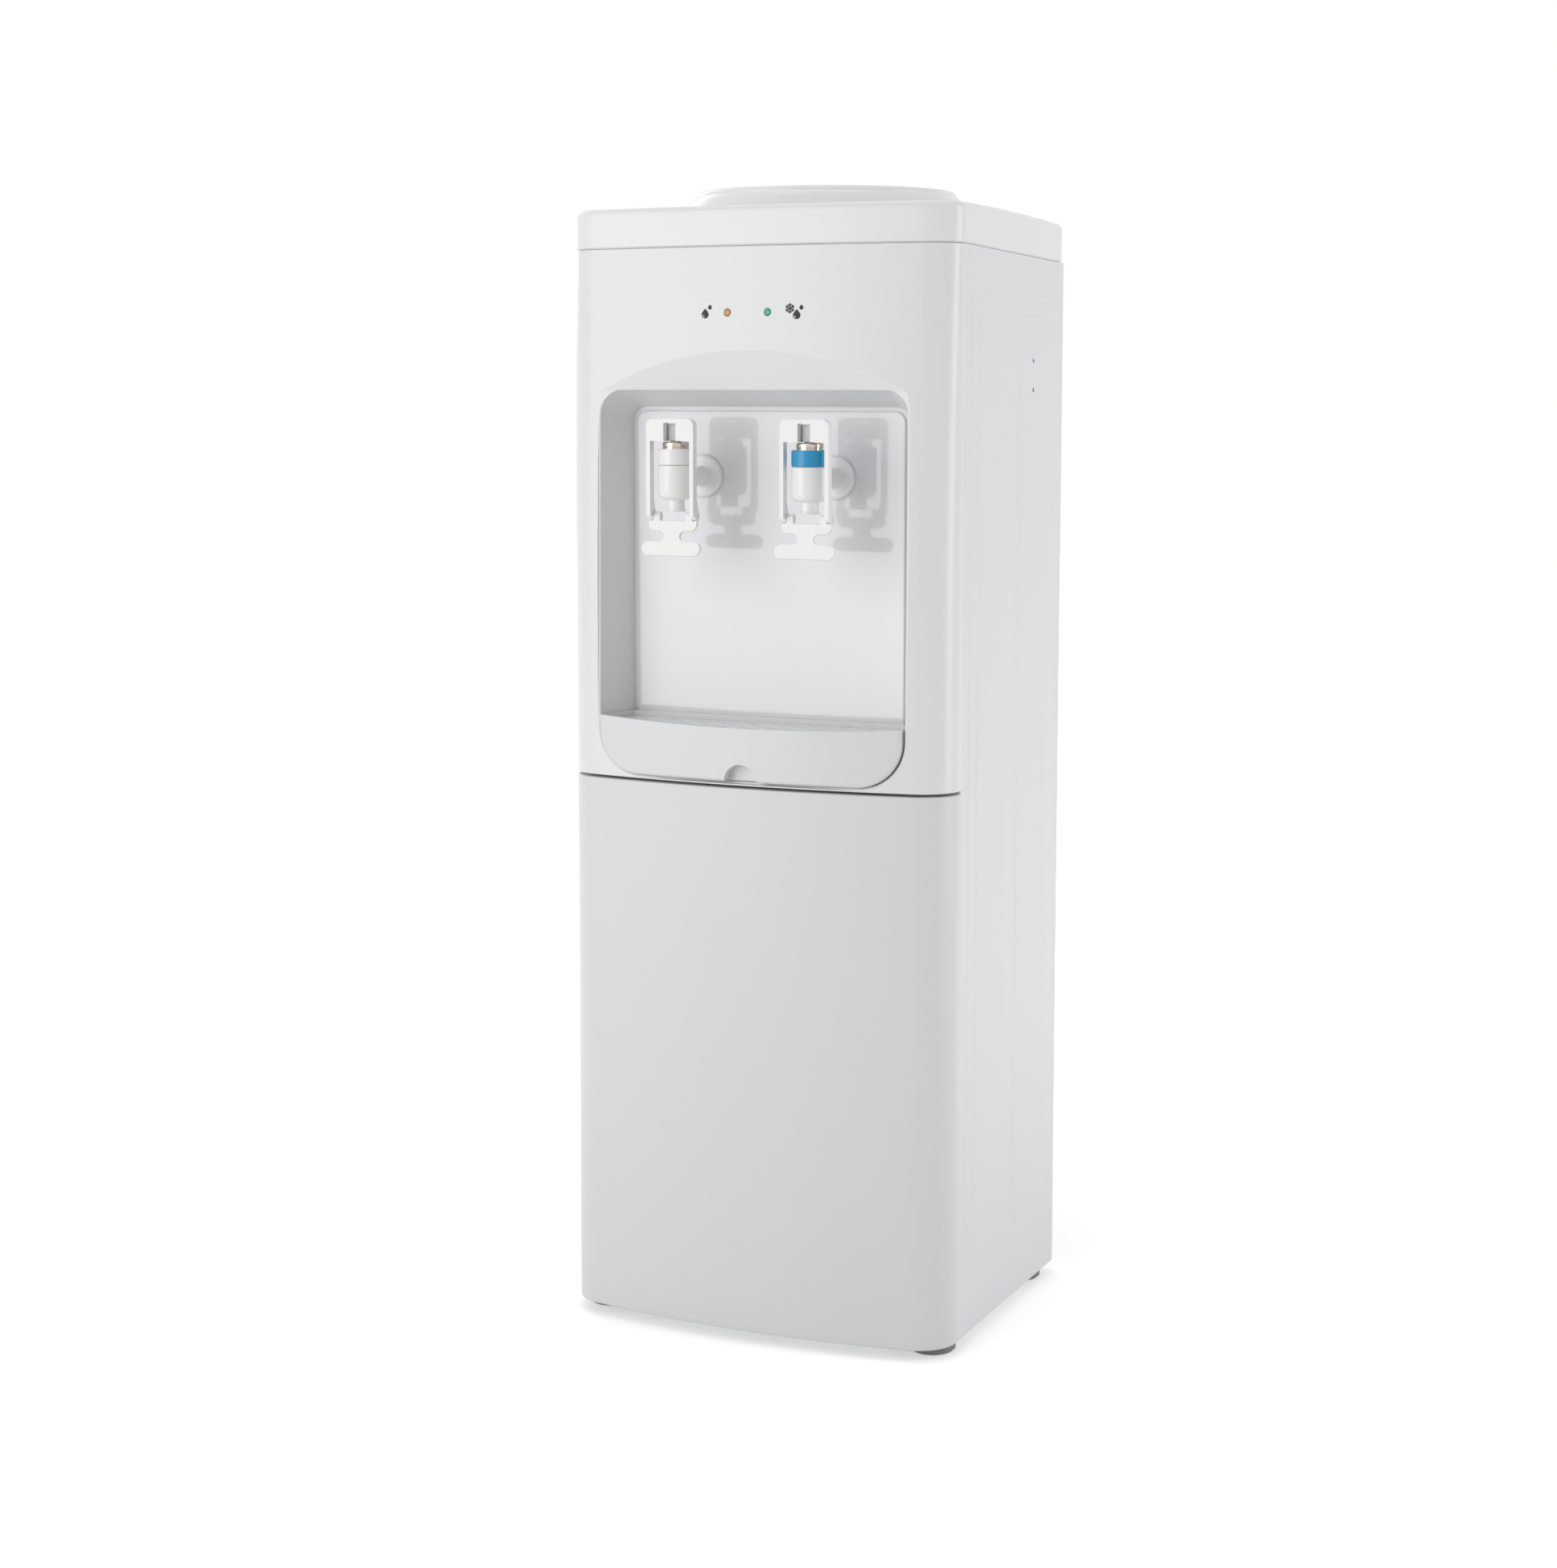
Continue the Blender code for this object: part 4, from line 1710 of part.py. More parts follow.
def paddle_outline():
    """The push paddle from the front: a wing, two round bites and a bar with round ends."""
    bar = PADDLE_BAR_HEIGHT / 2
    half, wing = PADDLE_WIDTH / 2, PADDLE_WING_WIDTH / 2
    neck = PADDLE_NECK_WIDTH / 2
    bite = PADDLE_BITE_RADIUS
    bar_top = PADDLE_LOW + PADDLE_BAR_HEIGHT
    wing_low = bar_top + 2 * bite
    wing_top = wing_low + PADDLE_WING_HEIGHT
    right = list(arc((half - bar, PADDLE_LOW + bar), bar, -QUARTER_TURN, QUARTER_TURN, PADDLE_STEPS))
    right += arc((neck + bite, bar_top + bite), bite, -QUARTER_TURN, -3 * QUARTER_TURN, PADDLE_STEPS)
    corner = PADDLE_WING_RADIUS
    right += arc((wing - corner, wing_low + corner), corner, -QUARTER_TURN, 0, PADDLE_STEPS)
    right += [(wing, wing_top)]
    return right + [(-x, z) for x, z in reversed(right)], wing_top


def push_paddle(name, x, lever):
    """Hangs from the lever's knuckles on two moulded pins, and folds up forwards."""
    origin = (x, FOLD_Y, FOLD_Z)
    outline, wing_top = paddle_outline()
    lift = FOLD_Z - FIT - KNUCKLE_RADIUS - wing_top
    half_t = PADDLE_THICKNESS / 2
    plate = facing([(x + u, z + lift) for u, z in outline], FOLD_Y - half_t, FOLD_Y + half_t)
    rotated(plate, -PADDLE_TILT, "X", origin)
    made = piece(name, plate, tap_plastic(), lever, origin=origin)
    inner = LEVER_WIDTH / 2 - LEVER_RAIL - FIT
    top_z = FOLD_Z - KNUCKLE_RADIUS - 2 * FIT
    lugs = []
    for side in (-1, 1):
        near, far = x + side * (inner - PADDLE_LUG_WIDTH), x + side * inner
        outline = [(FOLD_Y - half_t, top_z - KNUCKLE_RADIUS)]
        outline += [(FOLD_Y + half_t, top_z - KNUCKLE_RADIUS)]
        outline += arc((FOLD_Y, FOLD_Z), KNUCKLE_RADIUS - FIT, 0, 2 * QUARTER_TURN, PADDLE_STEPS)
        lugs.append(sideways(outline, min(near, far), max(near, far)))
    join(made, merge(*lugs))
    pins = []
    for side in (-1, 1):
        near, far = sorted((x + side * (inner - FIT), x + side * LEVER_WIDTH / 2))
        start, end = (near, FOLD_Y, FOLD_Z), (far, FOLD_Y, FOLD_Z)
        pins.append(rod(start, end, HINGE_BORE_RADIUS, PIPE_STEPS))
    join(made, merge(*pins))


def taps():
    for side, water, finish in ((-1, "ambient", ring_white()), (1, "cold", ring_blue())):
        x = side * TAP_X
        tap_body(water + "_tap_body", x)
        tap_ring(water + "_tap_ring", x, finish)
        bonnet_cap(water + "_bonnet_cap", x)
        stem = tap_stem(water + "_tap_stem", x)
        tap_seal(water + "_tap_seal", x, stem)
        tap_spring(water + "_tap_spring", x)
        lever_pin(water + "_lever_pin", x, stem)
        lever = tap_lever(water + "_tap_lever", x, stem)
        push_paddle(water + "_push_paddle", x, lever)


def tray_half(inset):
    return ALCOVE_HALF_FRONT - TRAY_GAP - inset


def tray_rear_half(inset):
    return tray_half(inset) - ALCOVE_SIDE_SLOPE * (TRAY_BACK_Y - inset - TRAY_GAP - ALCOVE_EDGE_Y)


def tray_front_y(x, inset):
    """The tray's bowed front, standing a little proud of the panel in the middle."""
    rise = BOW_RISE + TRAY_PROUD / 2
    return rise * (x / HALF_WIDTH) ** 2 - FRONT_REACH - TRAY_PROUD + inset


def tray_side_y(x, inset):
    """How far back the tray reaches beside the narrowing alcove."""
    side = ALCOVE_EDGE_Y + TRAY_GAP + (tray_half(inset) - abs(x)) / ALCOVE_SIDE_SLOPE
    return min(TRAY_BACK_Y - inset, side)


def tray_low_z(x, y, inset):
    """The round lower corners follow the alcove as it narrows towards its back."""
    radius = ALCOVE_LOW_RADIUS - TRAY_GAP - inset
    half = tray_half(inset) - ALCOVE_SIDE_SLOPE * max(0, y - ALCOVE_EDGE_Y)
    over = min(max(0, abs(x) - (half - radius)), radius)
    return TRAY_LOW + inset + radius - math.sqrt(radius ** 2 - over ** 2)


def tray_lip(x):
    """The front lip dips a little towards the middle."""
    return TRAY_LIP_Z - TRAY_LIP_DIP * (1 - (x / ALCOVE_HALF_FRONT) ** 2)


def tray_stations(inset):
    """Slices across the tray, closer together round the lower corners."""
    half = tray_half(inset)
    radius = ALCOVE_LOW_RADIUS - TRAY_GAP - inset
    flat = half - radius
    right = [flat * step / BOW_STEPS for step in range(1, BOW_STEPS)]
    for step in range(PADDLE_STEPS + 1):
        right.append(flat + radius * math.sin(QUARTER_TURN * step / PADDLE_STEPS))
    right.append(tray_rear_half(inset))
    right = sorted(right)
    return [-x for x in reversed(right)] + [0] + right


def tray_solid(inset, rise=None):
    """The tray in slices across: bowed in front, round below, narrowing behind."""
    rings = []
    for x in tray_stations(inset):
        front, edge, rear = tray_front_y(x, inset), ALCOVE_EDGE_Y, tray_side_y(x, inset)
        lip = tray_lip(x) if rise is None else TRAY_LIP_Z + rise
        back_lip = TRAY_LIP_Z if rise is None else TRAY_LIP_Z + rise
        low = [(x, y, tray_low_z(x, y, inset)) for y in (front, edge, rear)]
        rings.append([*low, (x, rear, back_lip), (x, edge, back_lip), (x, front, lip)])
    return loft(rings)


def tray_plan(inset, low, high):
    """The tray's outline in plan as an upright block."""
    front = [(x, tray_front_y(x, inset)) for x in tray_stations(inset)]
    half = tray_half(inset)
    rear_half = tray_rear_half(inset)
    rear_y = TRAY_BACK_Y - inset
    side_y = ALCOVE_EDGE_Y + TRAY_GAP
    rear = [(half, side_y), (rear_half, rear_y), (-rear_half, rear_y), (-half, side_y)]
    return upright(front + rear, low, high)


def drip_tray():
    """A shallow basin behind a bowed front, with a ledge for the grille and a finger notch below."""
    origin = (0, TRAY_BACK_Y, TRAY_LOW)
    made = piece("drip_tray", tray_solid(0), front_plastic(), origin=origin)
    hollow = cut(made, tray_solid(TRAY_WALL + TRAY_LEDGE, OVERRUN))
    cut(hollow, notch_shape(NOTCH_RADIUS + NOTCH_WALL, NOTCH_DEPTH + NOTCH_WALL))
    cut(made, tray_plan(TRAY_WALL, TRAY_LEDGE_Z, TRAY_LIP_Z + OVERRUN))
    cut(made, notch_shape(NOTCH_RADIUS, NOTCH_DEPTH))
    return made


def notch_shape(radius, depth):
    """The half-round finger notch under the tray's front."""
    front = -FRONT_REACH - TRAY_PROUD - OVERRUN
    rear = -FRONT_REACH - TRAY_PROUD + depth
    outline = circle((0, TRAY_LOW), radius, KNOB_STEPS)
    return facing(outline, front, rear)


def slot_outline(x, y):
    half = (SLOT_LENGTH - SLOT_WIDTH) / 2
    radius = SLOT_WIDTH / 2
    points = list(arc((x + half, y), radius, -QUARTER_TURN, QUARTER_TURN, SLOT_END_STEPS))
    return points + list(arc((x - half, y), radius, QUARTER_TURN, 3 * QUARTER_TURN, SLOT_END_STEPS))


def drip_grille(tray):
    """A flat plate with staggered rows of slots, and two thumb cut-outs in its front edge."""
    inset = TRAY_WALL + GRILLE_GAP
    low = TRAY_LEDGE_Z + FIT
    high = low + GRILLE_THICKNESS
    rear = TRAY_BACK_Y - inset
    origin = (0, TRAY_BACK_Y, TRAY_LIP_Z)
    made = piece("drip_grille", tray_plan(inset, low, high), front_plastic(), tray, origin=origin)
    slots = []
    for row in range(SLOT_ROWS):
        y = rear + SLOT_FIRST_ROW_Y - SLOT_ROW_PITCH * row
        shift = SLOT_PITCH / 2 if row % 2 else 0
        reach = ALCOVE_HALF_BACK - inset - SLOT_MARGIN - SLOT_LENGTH / 2
        count = int((reach - shift) / SLOT_PITCH)
        places = [shift + SLOT_PITCH * step for step in range(count + 1)]
        for x in sorted({place * sign for place in places for sign in (-1, 1)}):
            slots.append(upright(slot_outline(x, y), low - OVERRUN, high + OVERRUN))
    cut(made, merge(*slots))
    thumbs = []
    for side in (-1, 1):
        x = side * THUMB_PITCH / 2
        centre = (x, tray_front_y(x, inset))
        thumbs.append(upright(circle(centre, THUMB_RADIUS, KNOB_STEPS), low - OVERRUN, high + OVERRUN))
    cut(made, merge(*thumbs))


clear_scene()
cabinet = bpy.data.objects.new("cabinet_frame", None)
scene.collection.objects.link(cabinet)
cabinet.location = (0, -(FRONT_END + REAR_END) / 2, FOOT_HEIGHT)
origins[cabinet.name] = Vector()

lower_front_panel()
upper_front_panel()
tap_wall()
indicator_lights()
top_cover()
bottle_seat()
side_sheets()
base_plate()
feet()
back_panel()
tank_shelf()
insulation()
water_tank()
tank_baffle()
evaporator_coil()
suction_tube()
hoses()
drain()
compressor()
grommets()
relay_cover()
condenser_coil()
condenser_wires()
filter_drier()
cooling_switch()
thermostat()
cord_gland()
taps()
drip_grille(drip_tray())
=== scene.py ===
"""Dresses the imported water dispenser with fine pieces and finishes, and lights it for its picture.

Sizes are in millimetres, and what draws a shape turns them into the scene's metres. Shapes are drawn in
the cabinet's own frame: x = 0 is the middle, y = 0 is the joint between the front panels and the side
sheets, and z = 0 is the panels' bottom edge. The last step of each piece moves it to its place in the frame
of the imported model.
"""

import json
import math

import bmesh
import bpy
from mathutils import Matrix, Vector


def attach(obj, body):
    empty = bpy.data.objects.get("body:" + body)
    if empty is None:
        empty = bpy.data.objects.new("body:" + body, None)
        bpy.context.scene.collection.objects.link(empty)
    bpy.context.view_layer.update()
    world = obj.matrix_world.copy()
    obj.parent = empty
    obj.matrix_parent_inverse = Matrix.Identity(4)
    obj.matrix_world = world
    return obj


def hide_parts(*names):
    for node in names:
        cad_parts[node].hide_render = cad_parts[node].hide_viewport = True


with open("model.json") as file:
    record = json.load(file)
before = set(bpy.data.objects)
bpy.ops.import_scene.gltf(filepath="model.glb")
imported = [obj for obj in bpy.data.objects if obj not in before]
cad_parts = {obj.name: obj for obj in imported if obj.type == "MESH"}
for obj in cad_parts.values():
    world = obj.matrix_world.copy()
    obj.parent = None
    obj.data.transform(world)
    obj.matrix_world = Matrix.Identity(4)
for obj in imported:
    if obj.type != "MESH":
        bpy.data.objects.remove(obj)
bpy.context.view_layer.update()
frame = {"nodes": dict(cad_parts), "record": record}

MM = 0.001
TURN = 2 * math.pi
QUARTER = math.pi / 2
TINY = 1e-6
PLACE = Vector((0, -92.4, 8)) * MM

# Cabinet
HALF = 150
DEPTH = 214
SEAM_LOW = 397.4
SEAM_HIGH = 399.4
TOP = 780
COVER_LOW = 781
COVER_HIGH = 808.5
COVER_DROP = 5.6
WALL = 2.5
FIT = 0.3
OVER = 20

# Bowed front
BOW_RISE = 15.7
CORNER_RADIUS = 28.7
REACH = BOW_RISE + 25.7
BOW_RADIUS = (HALF ** 2 + BOW_RISE ** 2) / (2 * BOW_RISE)
BOW_CENTRE_Y = BOW_RADIUS - REACH
CORNER_X = HALF - CORNER_RADIUS
CORNER_Y = BOW_CENTRE_Y - math.sqrt((BOW_RADIUS - CORNER_RADIUS) ** 2 - CORNER_X ** 2)
SPREAD = math.atan2(CORNER_X, BOW_CENTRE_Y - CORNER_Y)
LEAN = 11
LEAN_START = 480
BOW_STEPS = 40
CORNER_STEPS = 18
LEAN_STEPS = 20

# Collar
COLLAR_Y = 106
COLLAR_BASE = 105
COLLAR_TOP = 96.5
COLLAR_HIGH = COVER_HIGH + 15.6
COLLAR_BORE = 86
LEDGE = 79
LEDGE_THICK = 3
ROUND_STEPS = 96

# Alcove and brow
ALCOVE_FRONT = 119
ALCOVE_BACK = 108.5
ALCOVE_LOW = 402.4
CEILING_FRONT = 679
CEILING_BACK = 667.5
EDGE_Y = -28
BACK_Y = 4
SPAN_Y = BACK_Y - EDGE_Y
SIDE_SLOPE = (ALCOVE_FRONT - ALCOVE_BACK) / SPAN_Y
CEILING_SLOPE = (CEILING_FRONT - CEILING_BACK) / SPAN_Y
TOP_RADIUS = 17
TOP_RADIUS_BACK = 10
LOW_RADIUS = 33
FLARE = 2.2
FLARE_DEPTH = 2.4
BROW_SLOPE = 0.25
BROW_RADIUS = 14
BROW_SHOULDER = 668.8
BROW_END = math.radians(62)

# Indicator lights
LIGHT_X = 15.5
LIGHT_Z = 733.6
LIGHT_RADIUS = 2.5

# Taps
TAP_X = 51.795
TAP_Y = -42
PIPE_Z = 617.5
BODY_R = 12.9
BODY_LOW = 602
BODY_HIGH = 638
PIN_Z = 650
FOLD_Y = -45.4
FOLD_Z = 590.5
LEVER_FRONT = -52.5
LEVER_HALF = 18.5
LEVER_RAIL = 3
LEVER_TOP = 659.2

# Tray and grille
TRAY_FRONT = -REACH - 5
TRAY_LOW = 402.8
TRAY_HIGH = 444.4
TRAY_SEAT = 438.4
TRAY_REAR = 1.5
TRAY_RADIUS = LOW_RADIUS - 1
GRILLE_INSET = 2.7

# Back and base
BACK_FACE = 212.7
CONTROL_X = 122
CONTROL_Z = 715
GLAND_X = -104
OUTLET_Z = 250
COIL_Y = 230.7
COIL_LOW = 300
COIL_PITCH = 42
COIL_ROWS = 9
COIL_HALF = 106
COIL_SIDE = 118
TUBE_RADIUS = 2.5
POT_Y = 118
POT_RADIUS = 60
POT_LOW = 15.3
POT_HIGH = 161.3
POT_SEAM = 91.22
LEG_CIRCLE = 78
SUCTION_X = 12
SUCTION_Z = 117.94
DISCHARGE_X = -22
DISCHARGE_Z = 59.98
STUB_END = 183.3
SEAT_Z = 811.8
TANK_OUTLET_LOW = 632
DRAIN = (40, 150)

# The room's light on the object, where 1 is the white that the camera sees
SURROUND = 0.475

# How a drawn outline, in its own flat u and v, is turned to face along an axis
VIEWS = {
    "plan": Matrix.Identity(3),
    "front": Matrix(((1, 0, 0), (0, 0, -1), (0, 1, 0))),
    "side": Matrix(((0, 0, 1), (1, 0, 0), (0, 1, 0))),
}


def metres(*lengths):
    """Millimetres in metres."""
    return [length * MM for length in lengths]


class Value:
    """A socket of a material's board, for plain expressions."""

    def __init__(self, board, socket):
        self.board, self.socket = board, socket

    def math(self, operation, first, second):
        return self.board.add("Math", {"operation": operation}, {0: first, 1: second})

    def __add__(self, other):
        return self.math("ADD", self, other)

    def __mul__(self, other):
        return self.math("MULTIPLY", self, other)

    def __sub__(self, other):
        return self.math("SUBTRACT", self, other)

    def __rsub__(self, other):
        return self.math("SUBTRACT", other, self)

    __radd__, __rmul__ = __add__, __mul__


class Board:
    """The nodes of one material or of the world, on the object's own coordinates."""

    def __init__(self, owner):
        owner = bpy.data.materials.new(owner) if isinstance(owner, str) else owner
        owner.use_nodes = True
        self.owner, self.tree = owner, owner.node_tree
        self.tree.nodes.clear()

    def add(self, kind, settings=None, sockets=None, output=0):
        node = self.tree.nodes.new("ShaderNode" + kind)
        for key, value in (settings or {}).items():
            setattr(node, key, value)
        for key, value in (sockets or {}).items():
            if isinstance(value, Value):
                self.tree.links.new(value.socket, node.inputs[key])
            else:
                node.inputs[key].default_value = value
        return Value(self, node.outputs[output])

    def place(self, stretch=(1, 1, 1), centre=(0, 0, 0)):
        sockets = {"Vector": self.add("TexCoord", output="Object"), "Location": centre, "Scale": stretch}
        return self.add("Mapping", {"vector_type": "TEXTURE"}, sockets)

    def noise(self, size, detail=2.0, stretch=(1, 1, 1)):
        """Soft noise between 0 and 1, with spots of about the given size."""
        scale = 1 / (size * MM)
        sockets = {"Vector": self.place(stretch), "Scale": scale, "Detail": detail, "Roughness": 0.5}
        return self.add("TexNoise", None, sockets)

    def spots(self, size, feature="F1"):
        sockets = {"Vector": self.place(), "Scale": 1 / (size * MM)}
        return self.add("TexVoronoi", {"feature": feature}, sockets)

    def length(self, vector):
        return self.add("VectorMath", {"operation": "LENGTH"}, {0: vector}, output="Value")

    def blend(self, share, first, second):
        """Mixes two colours."""
        return self.add("Mix", {"data_type": "RGBA"}, {0: share, 6: first, 7: second}, output=2)

    def clamp(self, value, low=0.0, high=1.0):
        return self.add("Clamp", None, {"Value": value, "Min": low, "Max": high})

    def bump(self, height, depth, strength=1.0):
        return self.add("Bump", None, {"Height": height, "Distance": depth * MM, "Strength": strength})

    def shader(self, **sockets):
        named = {key.replace("_", " "): value for key, value in sockets.items()}
        self.finish(self.add("BsdfPrincipled", None, named))
        return self.owner

    def finish(self, surface, kind="Material"):
        end = self.tree.nodes.new("ShaderNodeOutput" + kind)
        self.tree.links.new(surface.socket, end.inputs["Surface"])


def shade(colour, factor=1.0):
    """A colour made lighter or darker."""
    return (*(min(1.0, part * factor) for part in colour), 1.0)


def moulded(name, colour, roughness, peel=0.25, grain=0.0, mottle=0.02):
    """Injection-moulded plastic: faint flow marks, a soft waviness and, where satin, a fine grain."""
    board = Board(name)
    flow, dust = board.noise(90, 3.0, (1, 1, 2.5)), board.noise(1.5)
    tint = board.blend(flow, shade(colour, 1 - mottle), shade(colour, 1 + mottle))
    return board.shader(
        Base_Color=board.blend(dust * 0.12, tint, shade(colour, 1 - 2 * mottle)),
        Roughness=roughness + (flow - 0.5) * 0.06 + (dust - 0.5) * 0.04,
        Normal=board.bump(board.noise(14) * peel + board.noise(0.35, 1.0) * grain, 0.05),
        IOR=1.5,
    )


def painted(name, colour, roughness, peel=0.5):
    """Powder coat: a fine orange peel, evenly satin."""
    board = Board(name)
    cloud, skin = board.noise(120, 3.0), board.noise(1.8)
    tint = board.blend(cloud, shade(colour, 0.975), shade(colour, 1.02))
    return board.shader(
        Base_Color=board.blend(skin * 0.15, tint, shade(colour, 0.95)),
        Roughness=roughness + (cloud - 0.5) * 0.08 + (skin - 0.5) * 0.08,
        Normal=board.bump(skin, 0.05, peel),
        IOR=1.5,
    )


def metal(name, colour, roughness, stretch=(1, 1, 1), stain=0.12):
    """Bare metal with a drawn or brushed grain and a faint stain."""
    board = Board(name)
    cloud, lines = board.noise(18, 4.0), board.noise(0.6, 3.0, stretch)
    tint = board.blend(cloud, shade(colour, 1 - stain), shade(colour, 1 + stain / 2))
    return board.shader(
        Base_Color=board.blend(lines * 0.4, tint, shade(colour, 0.8)),
        Roughness=roughness + (cloud - 0.5) * 0.15 + (lines - 0.5) * 0.12,
        Metallic=1.0,
        Normal=board.bump(lines, 0.02, 0.5),
    )


def galvanised(name):
    """Zinc with its flat crystals."""
    board = Board(name)
    crystal, dirt = board.spots(9), board.noise(30, 4.0)
    tint = board.blend(crystal, shade((0.60, 0.61, 0.63)), shade((0.44, 0.45, 0.47)))
    return board.shader(
        Base_Color=board.blend(dirt * 0.4, tint, shade((0.40, 0.41, 0.42))),
        Roughness=0.34 + crystal * 0.25 + (dirt - 0.5) * 0.1,
        Metallic=0.85,
        Normal=board.bump(crystal, 0.02, 0.4),
    )


def beaded_foam(name):
    """Foam beads with darker seams between them."""
    board = Board(name)
    bead, cloud = board.clamp(board.spots(4, "DISTANCE_TO_EDGE") * 3), board.noise(40)
    tint = board.blend(cloud, shade((0.80, 0.80, 0.77)), shade((0.87, 0.87, 0.85)))
    return board.shader(
        Base_Color=board.blend(bead, shade((0.70, 0.70, 0.68)), tint),
        Roughness=0.85 + (cloud - 0.5) * 0.1,
        Normal=board.bump(bead, 0.4, 0.5),
    )


def black_rubber(name):
    """Dull rubber with a grey bloom and fine pores."""
    board, colour = Board(name), (0.035, 0.035, 0.036)
    bloom = board.noise(12, 4.0)
    return board.shader(
        Base_Color=board.blend(bloom, shade(colour, 0.8), shade(colour, 1.6)),
        Roughness=0.72 + (bloom - 0.5) * 0.15,
        Normal=board.bump(board.noise(0.5), 0.08, 0.5),
    )


def board_green(name):
    """A circuit board's green lacquer over its traces."""
    board = Board(name)
    trace, cloud = board.spots(3, "DISTANCE_TO_EDGE"), board.noise(10)
    tint = board.blend(board.clamp(trace * 6), shade((0.12, 0.30, 0.14)), shade((0.04, 0.17, 0.07)))
    return board.shader(
        Base_Color=board.blend(cloud * 0.3, tint, shade((0.03, 0.12, 0.05))),
        Roughness=0.45 + (cloud - 0.5) * 0.1,
        Normal=board.bump(trace, 0.05, 0.3),
    )


def lens(name, colour, x):
    """A clear coloured dome with painted light: painted grey shade in the middle, painted light that makes it
    glow in strong colour away from the window, a painted dark shade at its rim, and a faint painted glow
    though the light is off.
    """
    board = Board(name)
    cloud = board.noise(1.2)
    wide = LIGHT_RADIUS * MM
    across = board.place((wide, 1, wide), Vector(metres(x, 0, LIGHT_Z)) + PLACE)
    side = board.add("SeparateXYZ", None, {0: across}, output="X")
    far = board.length(board.add("VectorMath", {"operation": "MULTIPLY"}, {0: across, 1: (1, 0, 1)}))
    # The greyed, darkened colour below is painted shade: on the dome's middle and near side, and darker at
    # its rim.
    painted_shade_colour = tuple(0.55 * part + 0.09 for part in colour)
    # Painted light: the colour grows brighter and stronger towards +x, as if light came through the dome.
    tint = board.blend(board.clamp(side * 1.6 + 0.1), shade(painted_shade_colour, 0.8), shade(colour, 1.15))
    # Painted shade: a dark ring at the dome's rim.
    tint = board.blend(board.clamp((far - 0.72) * 3.0, 0, 0.75), tint, shade(painted_shade_colour, 0.3))
    return board.shader(
        Base_Color=board.blend(cloud * 0.15, tint, shade(colour, 0.7)),
        Roughness=0.1 + cloud * 0.06,
        Normal=board.bump(cloud, 0.02, 0.4),
        # A faint painted glow: the light is off, yet the dome emits its painted colour.
        Emission_Color=tint,
        Emission_Strength=0.12,
        IOR=1.49,
        Coat_Weight=0.6,
    )


finishes = {
    "front_plastic": moulded("glossy_white_front", (0.785, 0.785, 0.79), 0.3, grain=0.15),
    "cover_plastic": moulded("satin_white_cover", (0.815, 0.815, 0.815), 0.3, grain=0.15),
    "alcove_plastic": moulded("polished_white_wall", (0.76, 0.76, 0.775), 0.06, peel=0.1),
    "lower_plastic": moulded("satin_pale_grey_panel", (0.715, 0.715, 0.715), 0.36, grain=0.2),
    "painted_steel": painted("powder_coated_steel", (0.755, 0.755, 0.78), 0.42),
    "galvanised_steel": galvanised("galvanised_steel"),
    "stainless_steel": metal("brushed_stainless", (0.63, 0.63, 0.62), 0.26, (0.05, 1, 1)),
    "black_steel": painted("black_enamel", (0.028, 0.028, 0.029), 0.33, 0.8),
    "copper": metal("drawn_copper", (0.72, 0.36, 0.22), 0.32, stain=0.3),
    "tap_plastic": moulded("glossy_white_tap", (0.86, 0.86, 0.855), 0.22, peel=0.15),
    "ring_white": moulded("glossy_white_ring", (0.87, 0.865, 0.86), 0.22, peel=0.1),
    "ring_blue": moulded("glossy_blue_ring", (0.008, 0.29, 0.54), 0.3, peel=0.1, mottle=0.05),
    "nickel": metal("bright_nickel", (0.62, 0.55, 0.50), 0.13, (1, 1, 0.2), stain=0.08),
    "stem_grey": moulded("satin_grey_stem", (0.62, 0.61, 0.61), 0.42, mottle=0.05),
    "silicone": moulded("milky_silicone", (0.74, 0.74, 0.71), 0.55, mottle=0.04),
    "rubber": black_rubber("black_rubber"),
    "foot_plastic": moulded("dark_grey_foot", (0.22, 0.21, 0.212), 0.55, grain=0.6, mottle=0.08),
    "foam": beaded_foam("beaded_foam"),
    "circuit_board": board_green("green_board"),
    "amber_lens": lens("amber_lens", (0.80, 0.36, 0.06), -LIGHT_X),
    "green_lens": lens("green_lens", (0.02, 0.50, 0.30), LIGHT_X),
    "black_plastic": moulded("satin_black_plastic", (0.03, 0.03, 0.031), 0.4, grain=0.6, mottle=0.15),
}
# The tray's white is the front's plastic painted darker: painted shade.
shaded_tray_white = moulded("satin_white_tray", (0.72, 0.72, 0.73), 0.3, grain=0.15)
# The grille's white is the front's plastic painted lighter: painted light and reflection from the bright wall
# behind.
lit_grille_white = moulded("glossy_white_grille", (0.85, 0.85, 0.86), 0.18, grain=0.15)
print_black = moulded("printed_black", (0.012, 0.011, 0.011), 0.6, mottle=0.15)


